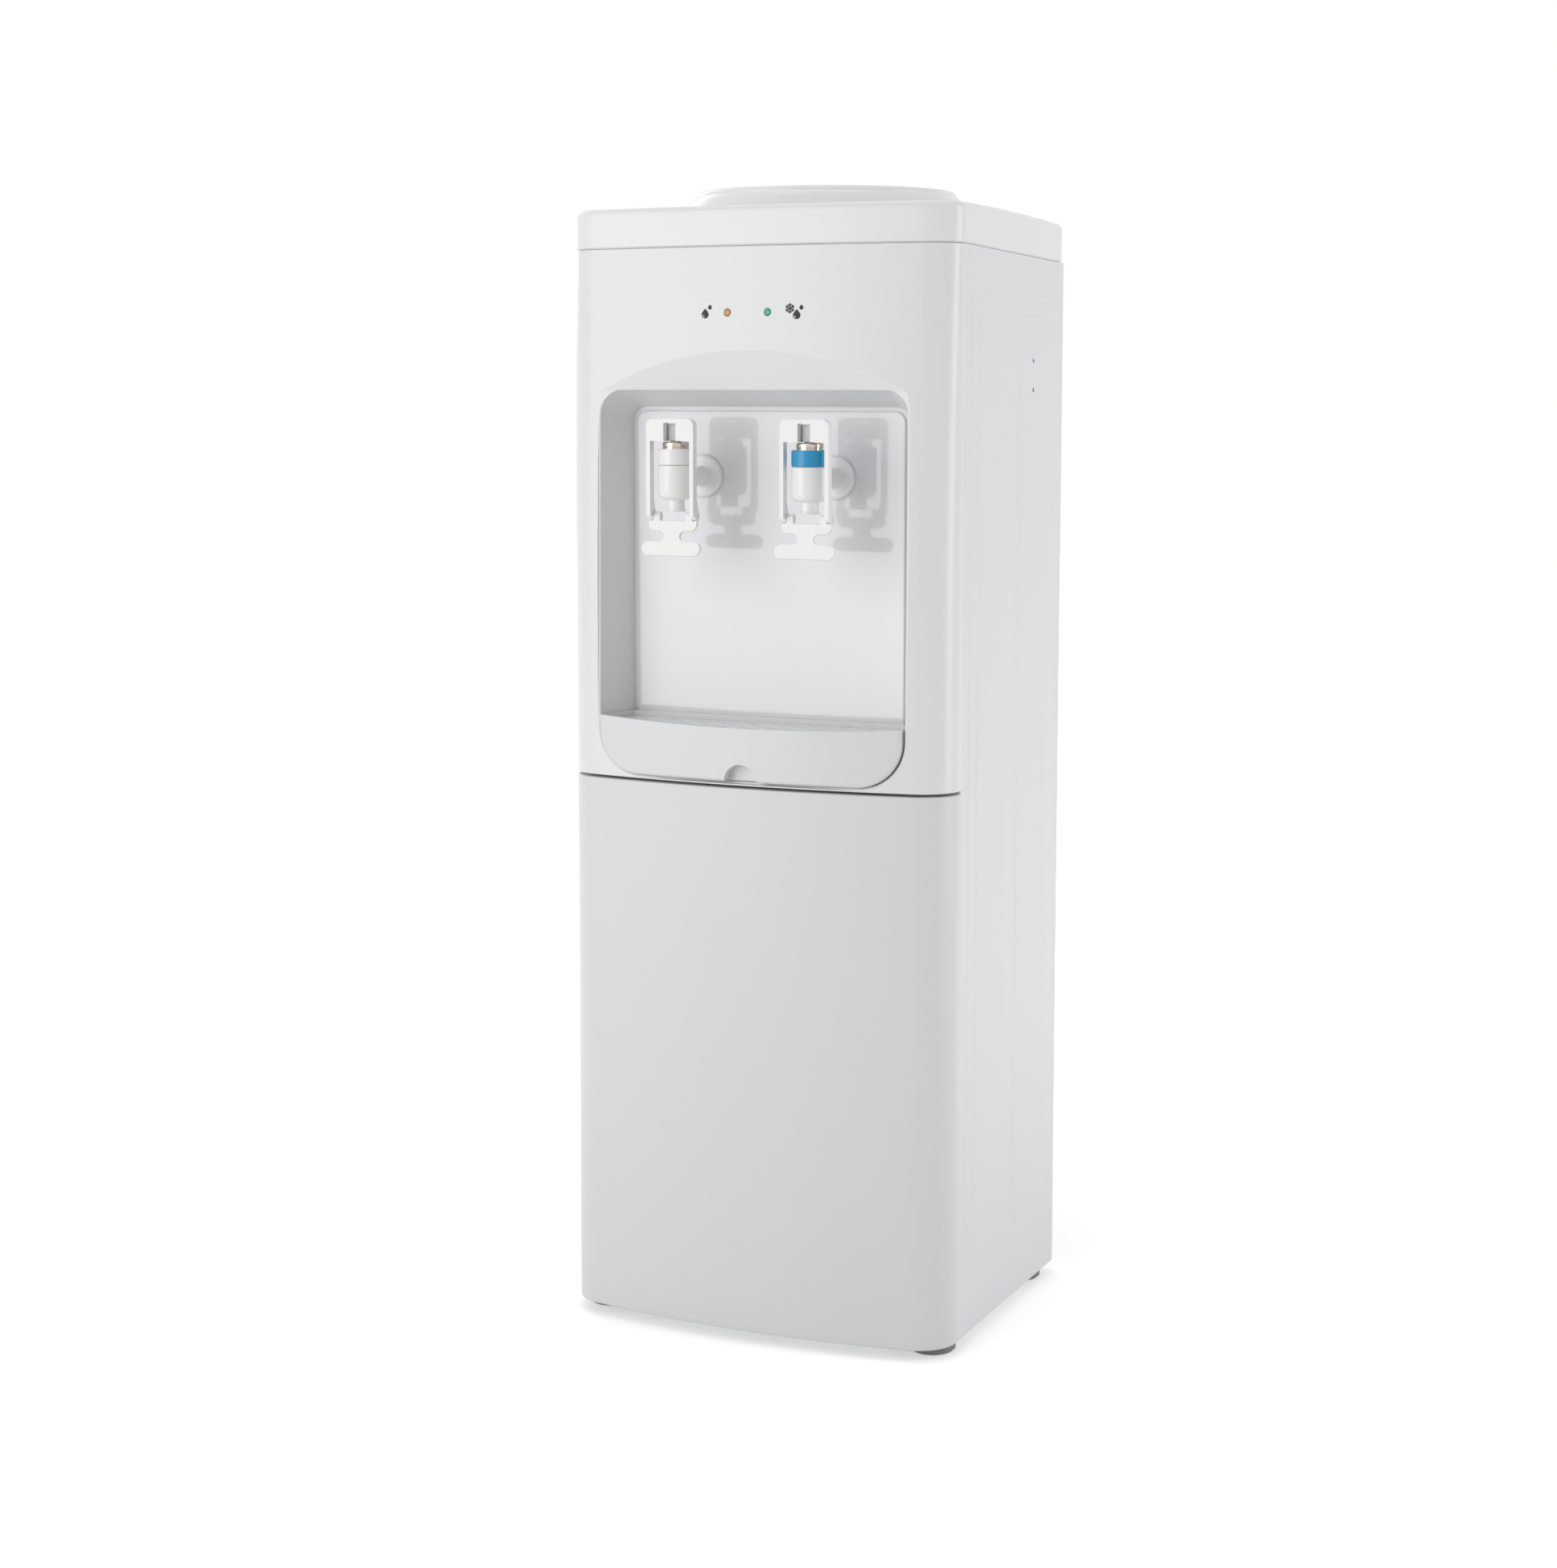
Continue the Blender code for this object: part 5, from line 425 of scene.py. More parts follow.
class Pen:
    """Draws an outline by pulling one point along lines and arcs."""

    def __init__(self, *start):
        self.shape = bmesh.new()
        self.first = self.tip = self.shape.verts.new(metres(*start, 0))

    def line(self, *points):
        for point in points:
            self.tip = bmesh.ops.extrude_vert_indiv(self.shape, verts=[self.tip])["verts"][0]
            self.tip.co = metres(*point, 0)
        return self

    def arc(self, centre, angle, steps):
        made = bmesh.ops.spin(
            self.shape, geom=[self.tip], cent=metres(*centre, 0), axis=(0, 0, 1), angle=angle, steps=steps,
            use_duplicate=False,
        )
        self.tip = points_of(made["geom_last"])[0]
        return self

    def close(self):
        """Joins the ends and fills the outline."""
        if (self.tip.co - self.first.co).length < TINY:
            bmesh.ops.pointmerge(self.shape, verts=[self.tip, self.first], merge_co=self.first.co)
        else:
            bmesh.ops.contextual_create(self.shape, geom=[self.tip, self.first])
        bmesh.ops.edgeloop_fill(self.shape, edges=self.shape.edges)
        return self.shape


def points_of(geometry):
    return [part for part in geometry if isinstance(part, bmesh.types.BMVert)]


def faced(shape, view):
    bmesh.ops.transform(shape, matrix=VIEWS[view].to_4x4(), verts=shape.verts)
    bmesh.ops.recalc_face_normals(shape, faces=shape.faces)
    return shape


def prism(pen, view, low, high):
    """Pulls an outline from one depth to another, and turns it to face along an axis."""
    shape = pen.close()
    near, far = sorted((low, high) if view != "front" else (-low, -high))
    moved(shape, 0, 0, near)
    made = bmesh.ops.extrude_face_region(shape, geom=shape.faces[:])
    bmesh.ops.translate(shape, verts=points_of(made["geom"]), vec=metres(0, 0, far - near))
    return faced(shape, view)


def slice_at(shape, level, axis):
    """Adds a loop of edges all round at one level."""
    axis = Vector(axis)
    everything = shape.verts[:] + shape.edges[:] + shape.faces[:]
    bmesh.ops.bisect_plane(shape, geom=everything, plane_co=axis * (level * MM), plane_no=axis)
    return shape


def shaped(shape, rule):
    """Moves each point by a rule, which takes and gives metres."""
    for point in shape.verts:
        point.co = rule(point.co.copy())
    return shape


def moved(shape, *offset):
    bmesh.ops.translate(shape, verts=shape.verts, vec=metres(*offset))
    return shape


def turned(shape, angle, axis, centre=(0, 0, 0)):
    turn = Matrix.Rotation(angle, 3, axis)
    bmesh.ops.rotate(shape, verts=shape.verts, cent=metres(*centre), matrix=turn)
    return shape


def rounded(centre, radius, start=0, sweep=QUARTER, steps=4):
    """A profile's arc, as radius and height."""
    angles = [start + sweep * step / steps for step in range(steps + 1)]
    return [(centre[0] + radius * math.cos(angle), centre[1] + radius * math.sin(angle)) for angle in angles]


def revolve(profile, steps=48, closed=False):
    """Spins a profile of radius and height round +Z."""
    shape = bmesh.new()
    tip = first = shape.verts.new(metres(profile[0][0], 0, profile[0][1]))
    for radius, height in profile[1:]:
        tip = bmesh.ops.extrude_vert_indiv(shape, verts=[tip])["verts"][0]
        tip.co = metres(radius, 0, height)
    if closed:
        bmesh.ops.contextual_create(shape, geom=[tip, first])
    bmesh.ops.spin(
        shape, geom=shape.verts[:] + shape.edges[:], cent=(0, 0, 0), axis=(0, 0, 1), angle=TURN, steps=steps,
        use_merge=True, use_duplicate=False,
    )
    bmesh.ops.remove_doubles(shape, verts=shape.verts, dist=TINY)
    bmesh.ops.recalc_face_normals(shape, faces=shape.faces)
    return shape


def rod(start, end, radius, steps=32):
    reach = Vector(metres(*end)) - Vector(metres(*start))
    length = reach.length / MM
    shape = revolve([(0, 0), (radius, 0), (radius, length), (0, length)], steps)
    turn = reach.to_track_quat("Z", "Y").to_matrix()
    bmesh.ops.rotate(shape, verts=shape.verts, cent=(0, 0, 0), matrix=turn)
    return moved(shape, *start)


def post(x, y, low, high, radius, steps=32):
    return rod((x, y, low), (x, y, high), radius, steps)


def bore(x, z, low, high, radius, steps=32):
    """A rod from front to rear."""
    return rod((x, low, z), (x, high, z), radius, steps)


def block(low, high, edge=0.0, steps=2):
    shape = bmesh.new()
    bmesh.ops.create_cube(shape, size=1)
    bmesh.ops.scale(shape, verts=shape.verts, vec=metres(*(b - a for a, b in zip(low, high))))
    moved(shape, *((a + b) / 2 for a, b in zip(low, high)))
    return soften(shape, shape.edges[:], edge, steps) if edge else shape


def merge(shapes):
    """One mesh from several that don't touch."""
    whole = shapes[0]
    for extra in shapes[1:]:
        take_up(whole, extra)
    return whole


def take_up(whole, extra):
    mesh = bpy.data.meshes.new("extra")
    extra.to_mesh(mesh)
    extra.free()
    whole.from_mesh(mesh)
    bpy.data.meshes.remove(mesh)


def box_outline(half, low, high, low_radius, high_radius, steps, centre=0.0):
    """A rectangle with rounded corners, even about the first axis."""
    lower, upper = (half - low_radius, low + low_radius), (half - high_radius, high - high_radius)
    corners = (
        (1, *lower, low_radius, (0, -1)), (1, *upper, high_radius, (1, 0)),
        (-1, *upper, high_radius, (0, 1)), (-1, *lower, low_radius, (-1, 0)),
    )
    pen = Pen(centre - lower[0], low)
    for side, u, v, radius, (du, dv) in corners:
        u = centre + side * u
        pen.line((u + radius * du, v + radius * dv)).arc((u, v), QUARTER, steps)
    return pen


def rims(shape, axis, level, radius, steps=4):
    """Rounds the edges that lie in one plane across an axis."""
    plane = level * MM
    edges = [edge for edge in shape.edges if all(abs(end.co[axis] - plane) < TINY for end in edge.verts)]
    return soften(shape, edges, radius, steps)


def soften(shape, edges, radius, steps, clamp=True):
    bmesh.ops.bevel(
        shape, geom=edges, offset=radius * MM, offset_type="OFFSET", segments=steps, profile=0.5,
        affect="EDGES", clamp_overlap=clamp, material=-1,
    )
    return shape


def sharp_edges(shape, angle):
    limit = math.radians(angle)
    return [edge for edge in shape.edges if len(edge.link_faces) == 2 and edge.calc_face_angle(0) > limit]


def shown(name, data):
    made = bpy.data.objects.new(name, data)
    bpy.context.scene.collection.objects.link(made)
    return made


def as_object(name, shape):
    mesh = bpy.data.meshes.new(name)
    shape.to_mesh(mesh)
    shape.free()
    return shown(name, mesh)


def settled(made):
    """The object's mesh with its modifiers applied, as a shape. The object goes."""
    bpy.context.view_layer.update()
    mesh = bpy.data.meshes.new_from_object(made.evaluated_get(bpy.context.evaluated_depsgraph_get()))
    shape = bmesh.new()
    shape.from_mesh(mesh)
    bpy.data.meshes.remove(mesh)
    bpy.data.objects.remove(made, do_unlink=True)
    return shape


def worked(shape, *steps):
    """Joins the shapes after a "+" to a shape and cuts those after a "-" out of it, in order."""
    made, tools = as_object("blank", shape), []
    for step in steps:
        if isinstance(step, str):
            operation = {"+": "UNION", "-": "DIFFERENCE"}[step]
            continue
        tools.append(as_object("tool", step))
        change = made.modifiers.new(operation, "BOOLEAN")
        change.operation, change.object, change.solver = operation, tools[-1], "EXACT"
    result = settled(made)
    for tool in tools:
        bpy.data.objects.remove(tool, do_unlink=True)
    bmesh.ops.remove_doubles(result, verts=result.verts, dist=2 * TINY)
    bmesh.ops.dissolve_degenerate(result, edges=result.edges, dist=2 * TINY)
    return result


def cut(shape, *tools):
    return worked(shape, "-", *tools)


def join(shape, *tools):
    return worked(shape, "+", *tools)


def piece(name, shape, slot, node=None, body="cabinet", finish=None, angle=32):
    """Puts a finished shape in its place, smooth but for its sharp edges, on its body."""
    bmesh.ops.recalc_face_normals(shape, faces=shape.faces)
    bmesh.ops.translate(shape, verts=shape.verts, vec=PLACE)
    made = as_object(name, shape)
    made.data.materials.append(finish or finishes[slot])
    made.data.shade_smooth()
    made.data.set_sharp_from_angle(angle=math.radians(angle))
    made.modifiers.new("even_shading", "WEIGHTED_NORMAL").keep_sharp = True
    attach(made, body)
    if node:
        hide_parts(node)


def depth_share(height):
    climb = max(0.0, height - LEAN_START) / (TOP - LEAN_START)
    return 1 - LEAN * climb ** 2 / REACH


def leaned(point):
    if point.y < 0:
        point.y *= depth_share(point.z / MM)
    return point


def bow(half, rear):
    """The bowed front in plan, from a point behind its left side to its right corner."""
    pen = Pen(-half, rear).line((-half, CORNER_Y)).arc((-CORNER_X, CORNER_Y), QUARTER - SPREAD, CORNER_STEPS)
    pen.arc((0, BOW_CENTRE_Y), 2 * SPREAD, BOW_STEPS)
    return pen.arc((CORNER_X, CORNER_Y), QUARTER - SPREAD, CORNER_STEPS)


def front_block(inset, low, high, rear, edge=0.0):
    """A block with the bowed front, which leans back towards its top."""
    shape = prism(bow(HALF - inset, rear).line((HALF - inset, rear)), "plan", low, high)
    if edge:
        rims(rims(shape, 2, low, edge), 2, high, edge)
    if high > LEAN_START:
        for step in range(LEAN_STEPS):
            slice_at(shape, LEAN_START + (TOP - LEAN_START) * step / LEAN_STEPS, (0, 0, 1))
    return shaped(shape, leaned)


def front_y(x, z):
    """The bowed front's face at a point."""
    return (BOW_CENTRE_Y - math.sqrt(BOW_RADIUS ** 2 - x ** 2)) * depth_share(z)


def bridged(outlines, view="front"):
    """A closed solid through a row of outlines, each given with its depth or a rule for it.

    The rings are joined at even distances, and take their real depths afterwards.
    """
    shape, loops, even = bmesh.new(), [], 5
    toward = -1 if view == "front" else 1
    for place, (pen, _) in enumerate(outlines):
        ring = pen.close()
        bmesh.ops.delete(ring, geom=ring.faces, context="FACES_ONLY")
        before = len(shape.edges)
        take_up(shape, moved(ring, 0, 0, even * place))
        shape.edges.ensure_lookup_table()
        loops.append(shape.edges[before:])
    for first, second in zip(loops, loops[1:]):
        bmesh.ops.bridge_loops(shape, edges=first + second)
    for end in (loops[0], loops[-1]):
        bmesh.ops.edgeloop_fill(shape, edges=end)
    for point in shape.verts:
        u, v, place = point.co / MM
        depth = outlines[round(place / even)][1]
        point.co.z = toward * (depth(u, v) if callable(depth) else depth) * MM
    return faced(shape, view)


def rim_y(x, z):
    """The face in which the alcove opens: the bowed front, or the slanted brow where that lies deeper."""
    return max(front_y(x, z), EDGE_Y - BROW_SLOPE * abs(z - CEILING_FRONT))


def alcove_block(grow, rear):
    """The alcove's space: a round rim that follows the front, then walls that close in towards the back."""

    def outline(offset, back):
        radius = TOP_RADIUS + (TOP_RADIUS_BACK - TOP_RADIUS) * min(1.0, back / SPAN_Y)
        half = ALCOVE_FRONT - SIDE_SLOPE * back + offset + grow
        high = CEILING_FRONT - CEILING_SLOPE * back + offset * 0.3 + grow
        low = ALCOVE_LOW - grow - offset * 0.85
        return box_outline(half, low, high, LOW_RADIUS + grow, radius + grow, 18)

    rings = [(outline(FLARE, 0), -REACH - OVER)]
    for wide, deep in rounded((FLARE, FLARE_DEPTH - 0.05), 1, -QUARTER, -QUARTER, 8):
        wide, deep = FLARE * (wide - FLARE + 1), FLARE_DEPTH * (deep - FLARE_DEPTH + 0.05 + 1) - 0.05
        rings.append((outline(wide, 0), lambda x, z, deep=deep: rim_y(x, z) + deep))
    rings.append((outline(0, 0), lambda x, z: max(EDGE_Y, rim_y(x, z) + FLARE_DEPTH + FIT)))
    return bridged([*rings, (outline(0, SPAN_Y), BACK_Y), (outline(0, SPAN_Y), rear)])


def brow_block(grow):
    """The brow's space: round ends that run down to the alcove's rim, and an arch where it leaves the bow."""
    half, low, shoulder = ALCOVE_FRONT + FLARE + grow, CEILING_FRONT - TOP_RADIUS, BROW_SHOULDER + grow
    inner = half - BROW_RADIUS
    end_x, end_z = inner + BROW_RADIUS * math.cos(BROW_END), shoulder + BROW_RADIUS * math.sin(BROW_END)
    pen = Pen(half, low).line((half, shoulder)).arc((inner, shoulder), BROW_END, 18)
    pen.line((0, end_z + end_x / math.tan(BROW_END)), (-end_x, end_z)).arc((-inner, shoulder), BROW_END, 18)
    shape = slice_at(prism(pen.line((-half, low)), "front", -REACH - OVER, 0), CEILING_FRONT, (0, 0, 1))

    def slant(point):
        if point.y / MM > -REACH:
            point.y = (EDGE_Y - BROW_SLOPE * max(0.0, point.z / MM - CEILING_FRONT) + grow) * MM
        return point

    return shaped(shape, slant)


def lower_panel():
    outer = front_block(0, 0, SEAM_LOW, 0, 1.2)
    inner = front_block(WALL, -OVER, SEAM_LOW - WALL, OVER)
    piece("lower_front_shell", cut(outer, inner), "lower_plastic", "lower_front_panel")


def upper_panel():
    outer = front_block(0, SEAM_HIGH, TOP, BACK_Y, 1.0)
    hollow = front_block(WALL, SEAM_HIGH + WALL, TOP - WALL, OVER)
    hollow = join(hollow, block((-HALF - OVER, 0, SEAM_HIGH - OVER), (HALF + OVER, OVER, TOP + OVER)))
    hollow = cut(hollow, alcove_block(WALL, OVER * 2), brow_block(WALL))
    shape = cut(outer, hollow, alcove_block(0, OVER), brow_block(0))
    for x in (-LIGHT_X, LIGHT_X):
        shape = cut(shape, bore(x, LIGHT_Z, -REACH - OVER, -20, 2.8))
    piece("upper_front_shell", shape, "front_plastic", "upper_front_panel", angle=7)


def cover_outline(inset):
    """The cover in plan: the bowed front, straight sides and a rear edge with rounded corners."""
    half, rear, radius = HALF + 1 - inset, DEPTH + 1 - inset, 14 - inset
    pen = bow(half, rear - radius)
    pen.line((half, rear - radius)).arc((half - radius, rear - radius), QUARTER, CORNER_STEPS)
    return pen.line((radius - half, rear)).arc((radius - half, rear - radius), QUARTER, CORNER_STEPS)


def top_cover():
    share = (REACH * depth_share(TOP) - 1) / (REACH + 1)

    def settle(point):
        back = max(0.0, point.y / MM) / DEPTH
        if point.y < 0:
            point.y *= share
        crown = max(0.0, min(1.0, (point.z / MM - COVER_LOW - 6) / (COVER_HIGH - COVER_LOW - 6)))
        point.z -= COVER_DROP * (back - crown * back * (1 - back)) * MM
        return point

    outer = rims(prism(cover_outline(0), "plan", COVER_LOW, COVER_HIGH), 2, COVER_HIGH, 5, 8)
    rims(outer, 2, COVER_LOW, 0.6, 3)
    inner = prism(cover_outline(WALL), "plan", COVER_LOW - OVER, COVER_HIGH - WALL)
    rims(inner, 2, COVER_HIGH - WALL, WALL)
    lip = prism(cover_outline(1.6), "plan", COVER_LOW - 0.7, COVER_LOW + WALL)
    for shape in (outer, inner, lip):
        for step in range(1, 12):
            slice_at(shape, DEPTH * step / 12, (0, 1, 0))
        shaped(shape, settle)
    root, shelf, core = COVER_HIGH - COVER_DROP - WALL, COVER_HIGH + LEDGE_THICK, LEDGE - LEDGE_THICK
    foot, edge = COLLAR_BASE + 1, 3.5
    collar = revolve([
        (core, root), (foot, root), (foot, COVER_HIGH - COVER_DROP / 2), (COLLAR_BASE - 0.2, COVER_HIGH),
        (COLLAR_BASE - (COLLAR_BASE - COLLAR_TOP) * 0.42, COLLAR_HIGH - edge * 2.2),
        *rounded((COLLAR_TOP - edge, COLLAR_HIGH - edge), edge, steps=8),
        (COLLAR_BORE + edge / 2, COLLAR_HIGH), (COLLAR_BORE, COLLAR_HIGH - edge / 2),
        (COLLAR_BORE, shelf), (core, shelf),
    ], ROUND_STEPS, closed=True)
    mouth = post(0, COLLAR_Y, COVER_LOW, COLLAR_HIGH + OVER, LEDGE, ROUND_STEPS)
    shape = worked(outer, "+", lip, "-", inner, "+", moved(collar, 0, COLLAR_Y, 0), "-", mouth)
    piece("cover_shell", shape, "cover_plastic", "top_cover", angle=28)


def stamped(front, rear, low, high, base, rise):
    """A long shallow pad with rounded corners and soft flanks, pressed out of the sheet."""
    rings = []
    for inset, out in ((0, -0.5 / rise), (0, 0), (0.7, 0.12), (1.6, 0.5), (2.5, 0.88), (3.2, 1)):
        corner, width = 9 - inset, (rear - front) / 2 - inset
        pen = box_outline(width, low + inset, high - inset, corner, corner, 8, (front + rear) / 2)
        rings.append((pen, base + out * rise))
    return bridged(rings, "side")


def side_sheet(name, side):
    """A folded sheet: a wide stamped field that carries two narrower ones, and returns front and rear."""
    skin, sheet, front, bend, rise = HALF - 0.6, 1, 0.9, 1.4, 0.3
    pen = Pen(skin - 11, front).line((skin - bend, front)).arc((skin - bend, front + bend), QUARTER, 6)
    pen.line((skin, DEPTH - bend)).arc((skin - bend, DEPTH - bend), QUARTER, 6).line((skin - 15, DEPTH))
    pen.line((skin - 15, DEPTH - sheet), (skin - sheet, DEPTH - sheet))
    pen.line((skin - sheet, front + sheet), (skin - 11, front + sheet))
    shape = join(prism(pen, "plan", 0, COVER_LOW - 1), stamped(14, 200, 39, 750, skin, rise))
    fields = ((30, 100), (114, 190))
    shape = join(shape, *(stamped(near, far, 54, 735, skin + rise, rise) for near, far in fields))

    def settle(point):
        if point.z / MM > COVER_LOW - OVER:
            point.z -= COVER_DROP * point.y / DEPTH
        point.x *= side
        return point

    shaped(shape, settle)
    bmesh.ops.recalc_face_normals(shape, faces=shape.faces)
    if side > 0:
        for z in (700.7, 679.3):
            shape = cut(shape, rod((HALF - OVER, 144.5, z), (HALF + OVER, 144.5, z), 1.7, 24))
    piece(name + "_skin", shape, "painted_steel", name, angle=25)


def tap_wall():
    outline = box_outline(ALCOVE_BACK + 5, SEAM_HIGH + WALL + FIT, CEILING_BACK + 5, 8, 8, 8)
    plate = prism(outline, "front", BACK_Y + FIT, BACK_Y + FIT + WALL)
    face, groove = 2.3, 3
    outline = box_outline(ALCOVE_BACK - groove, ALCOVE_LOW + groove, CEILING_BACK - groove, LOW_RADIUS, 8, 14)
    shape = join(plate, rims(prism(outline, "front", face, 5.5), 1, face, 1.1, 5))
    for x in (-TAP_X, TAP_X):
        shape = cut(shape, bore(x, PIPE_Z, -OVER, OVER, 7.3))
    piece("polished_tap_wall", shape, "alcove_plastic", "tap_wall")


def indicator_lights():
    front, flange, proud = front_y(0, LIGHT_Z), 3.3, 1.6
    length = WALL + 4 - FIT
    profile = [(0, 0), (flange, 0), (flange, 1), (LIGHT_RADIUS, 1)]
    profile += rounded((0, length + proud - LIGHT_RADIUS), LIGHT_RADIUS, steps=9)
    for name, x in (("amber", -LIGHT_X), ("green", LIGHT_X)):
        shape = moved(turned(revolve(profile, 32), QUARTER, "X"), x, front + length, LIGHT_Z)
        piece(name + "_light_lens", shape, name + "_lens", name + "_light")


def taps():
    """Each tap piece is made once in the middle and copied to both sides."""
    parts = (
        ("tap_body", tap_body(), "tap_plastic", ""),
        ("tap_ring", tap_ring(), "", ""),
        ("bonnet_cap", bonnet_cap(), "nickel", ""),
        ("tap_stem", tap_stem(), "stem_grey", "_stem"),
        ("lever_pin", lever_pin(), "stainless_steel", "_stem"),
        ("tap_lever", tap_lever(), "tap_plastic", "_lever"),
        ("push_paddle", push_paddle(), "tap_plastic", "_paddle"),
    )
    for water, x, ring in (("ambient", -TAP_X, "ring_white"), ("cold", TAP_X, "ring_blue")):
        for part, shape, slot, body in parts:
            node = water + "_" + part
            body = water + body if body else "cabinet"
            piece(node + "_moulding", moved(shape.copy(), x, 0, 0), slot or ring, node, body)


def at_tap(profile):
    return moved(revolve(profile, 64, closed=True), 0, TAP_Y, 0)


def tap_ring():
    inner, low, edge = BODY_R - 1.4, BODY_HIGH - 11.3, 0.5
    return at_tap([
        (inner, low), (BODY_R - edge, low), (BODY_R, low + edge),
        (BODY_R, BODY_HIGH - edge), (BODY_R - edge, BODY_HIGH), (inner, BODY_HIGH),
    ])


def tap_body():
    low, curve, neck, ring_low, edge = BODY_LOW - 8.5, 5.5, BODY_R - 1.7, BODY_HIGH - 11.6, 0.4
    body = at_tap([
        (4.2, low), (6.4, low), (7, low + 0.5), (7, low + 1.2), (6.3, low + 2.2), (6.3, BODY_LOW),
        *rounded((BODY_R - curve, BODY_LOW + curve), curve, -QUARTER, QUARTER, 8),
        (BODY_R, ring_low - edge), (BODY_R - edge, ring_low), (neck, ring_low), (neck, BODY_HIGH),
        (10, BODY_HIGH), (10, BODY_LOW + 4), (4.2, BODY_LOW + 4),
    ])
    seam = block((-0.35, TAP_Y - BODY_R - 0.12, BODY_LOW + curve), (0.35, TAP_Y, ring_low - 1))
    length, end, thick, radius, bend = 2.3 - FIT - TAP_Y, 24.8 - TAP_Y, 3.4, 15.6, 2.4
    flange = length - thick
    pipe = revolve([
        (0, 11.45), (7, 11.45), (7, flange - 1.2), (7.4, flange - 0.4), (8.4, flange),
        *rounded((radius - bend, flange + bend), bend, -QUARTER, QUARTER, 8),
        (radius, length), (7, length), (7, end), (0, end),
    ], 64)
    return worked(body, "+", seam, to_rear(pipe, 0, TAP_Y, PIPE_Z), "-", bore(0, PIPE_Z, TAP_Y, 45, 3.6, 24))


def bonnet_cap():
    low, high, radius, wall, hole, edge = BODY_HIGH - 7, BODY_HIGH + 5, 9.6, 1.2, 3.9, 1.4
    inner, groove = radius - wall, radius - 0.35
    return at_tap([
        (inner, low), (radius, low), (radius, BODY_HIGH + 0.6), (groove, BODY_HIGH + 1),
        (groove, BODY_HIGH + 1.5), (radius, BODY_HIGH + 1.9),
        *rounded((radius - edge, high - edge), edge, steps=6),
        (hole, high), (hole, high - wall), (inner, high - wall),
    ])


def pin_hole():
    return rod((-OVER, TAP_Y, PIN_Z), (OVER, TAP_Y, PIN_Z), 1.65, 24)


def tap_stem():
    low, high = BODY_HIGH + 5.6, BODY_HIGH + 17.6
    tongue = prism(box_outline(4.3, TAP_Y - 4.8, TAP_Y + 4.8, 1.2, 1.2, 5), "plan", low, high)
    rims(rims(tongue, 2, high, 0.6, 3), 2, low, 0.5, 3)
    return worked(post(0, TAP_Y, 610.1, low + 0.6, 3.6), "+", tongue, "-", pin_hole())


def lever_pin():
    reach, edge, radius = 7.2, 0.3, 1.5
    profile = [(0, -reach), (radius - edge, -reach), (radius, edge - reach)]
    profile += [(radius, reach - edge), (radius - edge, reach), (0, reach)]
    return moved(turned(revolve(profile, 24), QUARTER, "Y"), 0, TAP_Y, PIN_Z)


def tap_lever():
    """A frame round the bonnet: a slotted top plate, rails, ears on the cross pin and knuckles below."""
    inner, plate_low, ceiling = LEVER_HALF - LEVER_RAIL, 643.6, LEVER_TOP - 2.7
    front, rear, slot, knuckle, reach = LEVER_FRONT, LEVER_FRONT + 6, 4.8, 3.2, 4 * math.sin(QUARTER / 2)
    face, crest = front + 1.1, LEVER_TOP - 1.35
    bar = prism(box_outline(LEVER_HALF, FOLD_Z, LEVER_TOP, 1.5, 5, 10), "front", front, rear)
    window = block((-inner, front - OVER, FOLD_Z - OVER), (inner, rear + OVER, plate_low))
    pocket = block((-inner, front + 2.2, FOLD_Z - OVER), (inner, rear + OVER, ceiling))
    grown = []
    for side in (-1, 1):
        pen = Pen(face, plate_low).line((TAP_Y, plate_low), (TAP_Y + reach, PIN_Z - reach))
        pen.arc((TAP_Y, PIN_Z), QUARTER * 1.5, 12).line((rear, crest), (face, crest))
        grown.append(prism(pen, "side", side * slot, side * (slot + 2.4)))
        pen = Pen(front, FOLD_Z).line((FOLD_Y - knuckle, FOLD_Z)).arc((FOLD_Y, FOLD_Z), QUARTER * 2.5, 20)
        pen.line((rear - FIT, FOLD_Z + 4 * knuckle), (front + FIT, FOLD_Z + 4 * knuckle))
        grown.append(prism(pen, "side", side * inner, side * LEVER_HALF))
    gap = block((-slot, front - OVER, plate_low - OVER), (slot, rear + FIT, ceiling))
    axle = rod((-2 * OVER, FOLD_Y, FOLD_Z), (2 * OVER, FOLD_Y, FOLD_Z), 1.45, 24)
    shape = worked(bar, "-", window, pocket, "+", *grown, "-", gap, pin_hole(), axle)
    return soften(shape, [edge for edge in sharp_edges(shape, 40) if edge.calc_length() > 0.5 * MM], 0.4, 2)


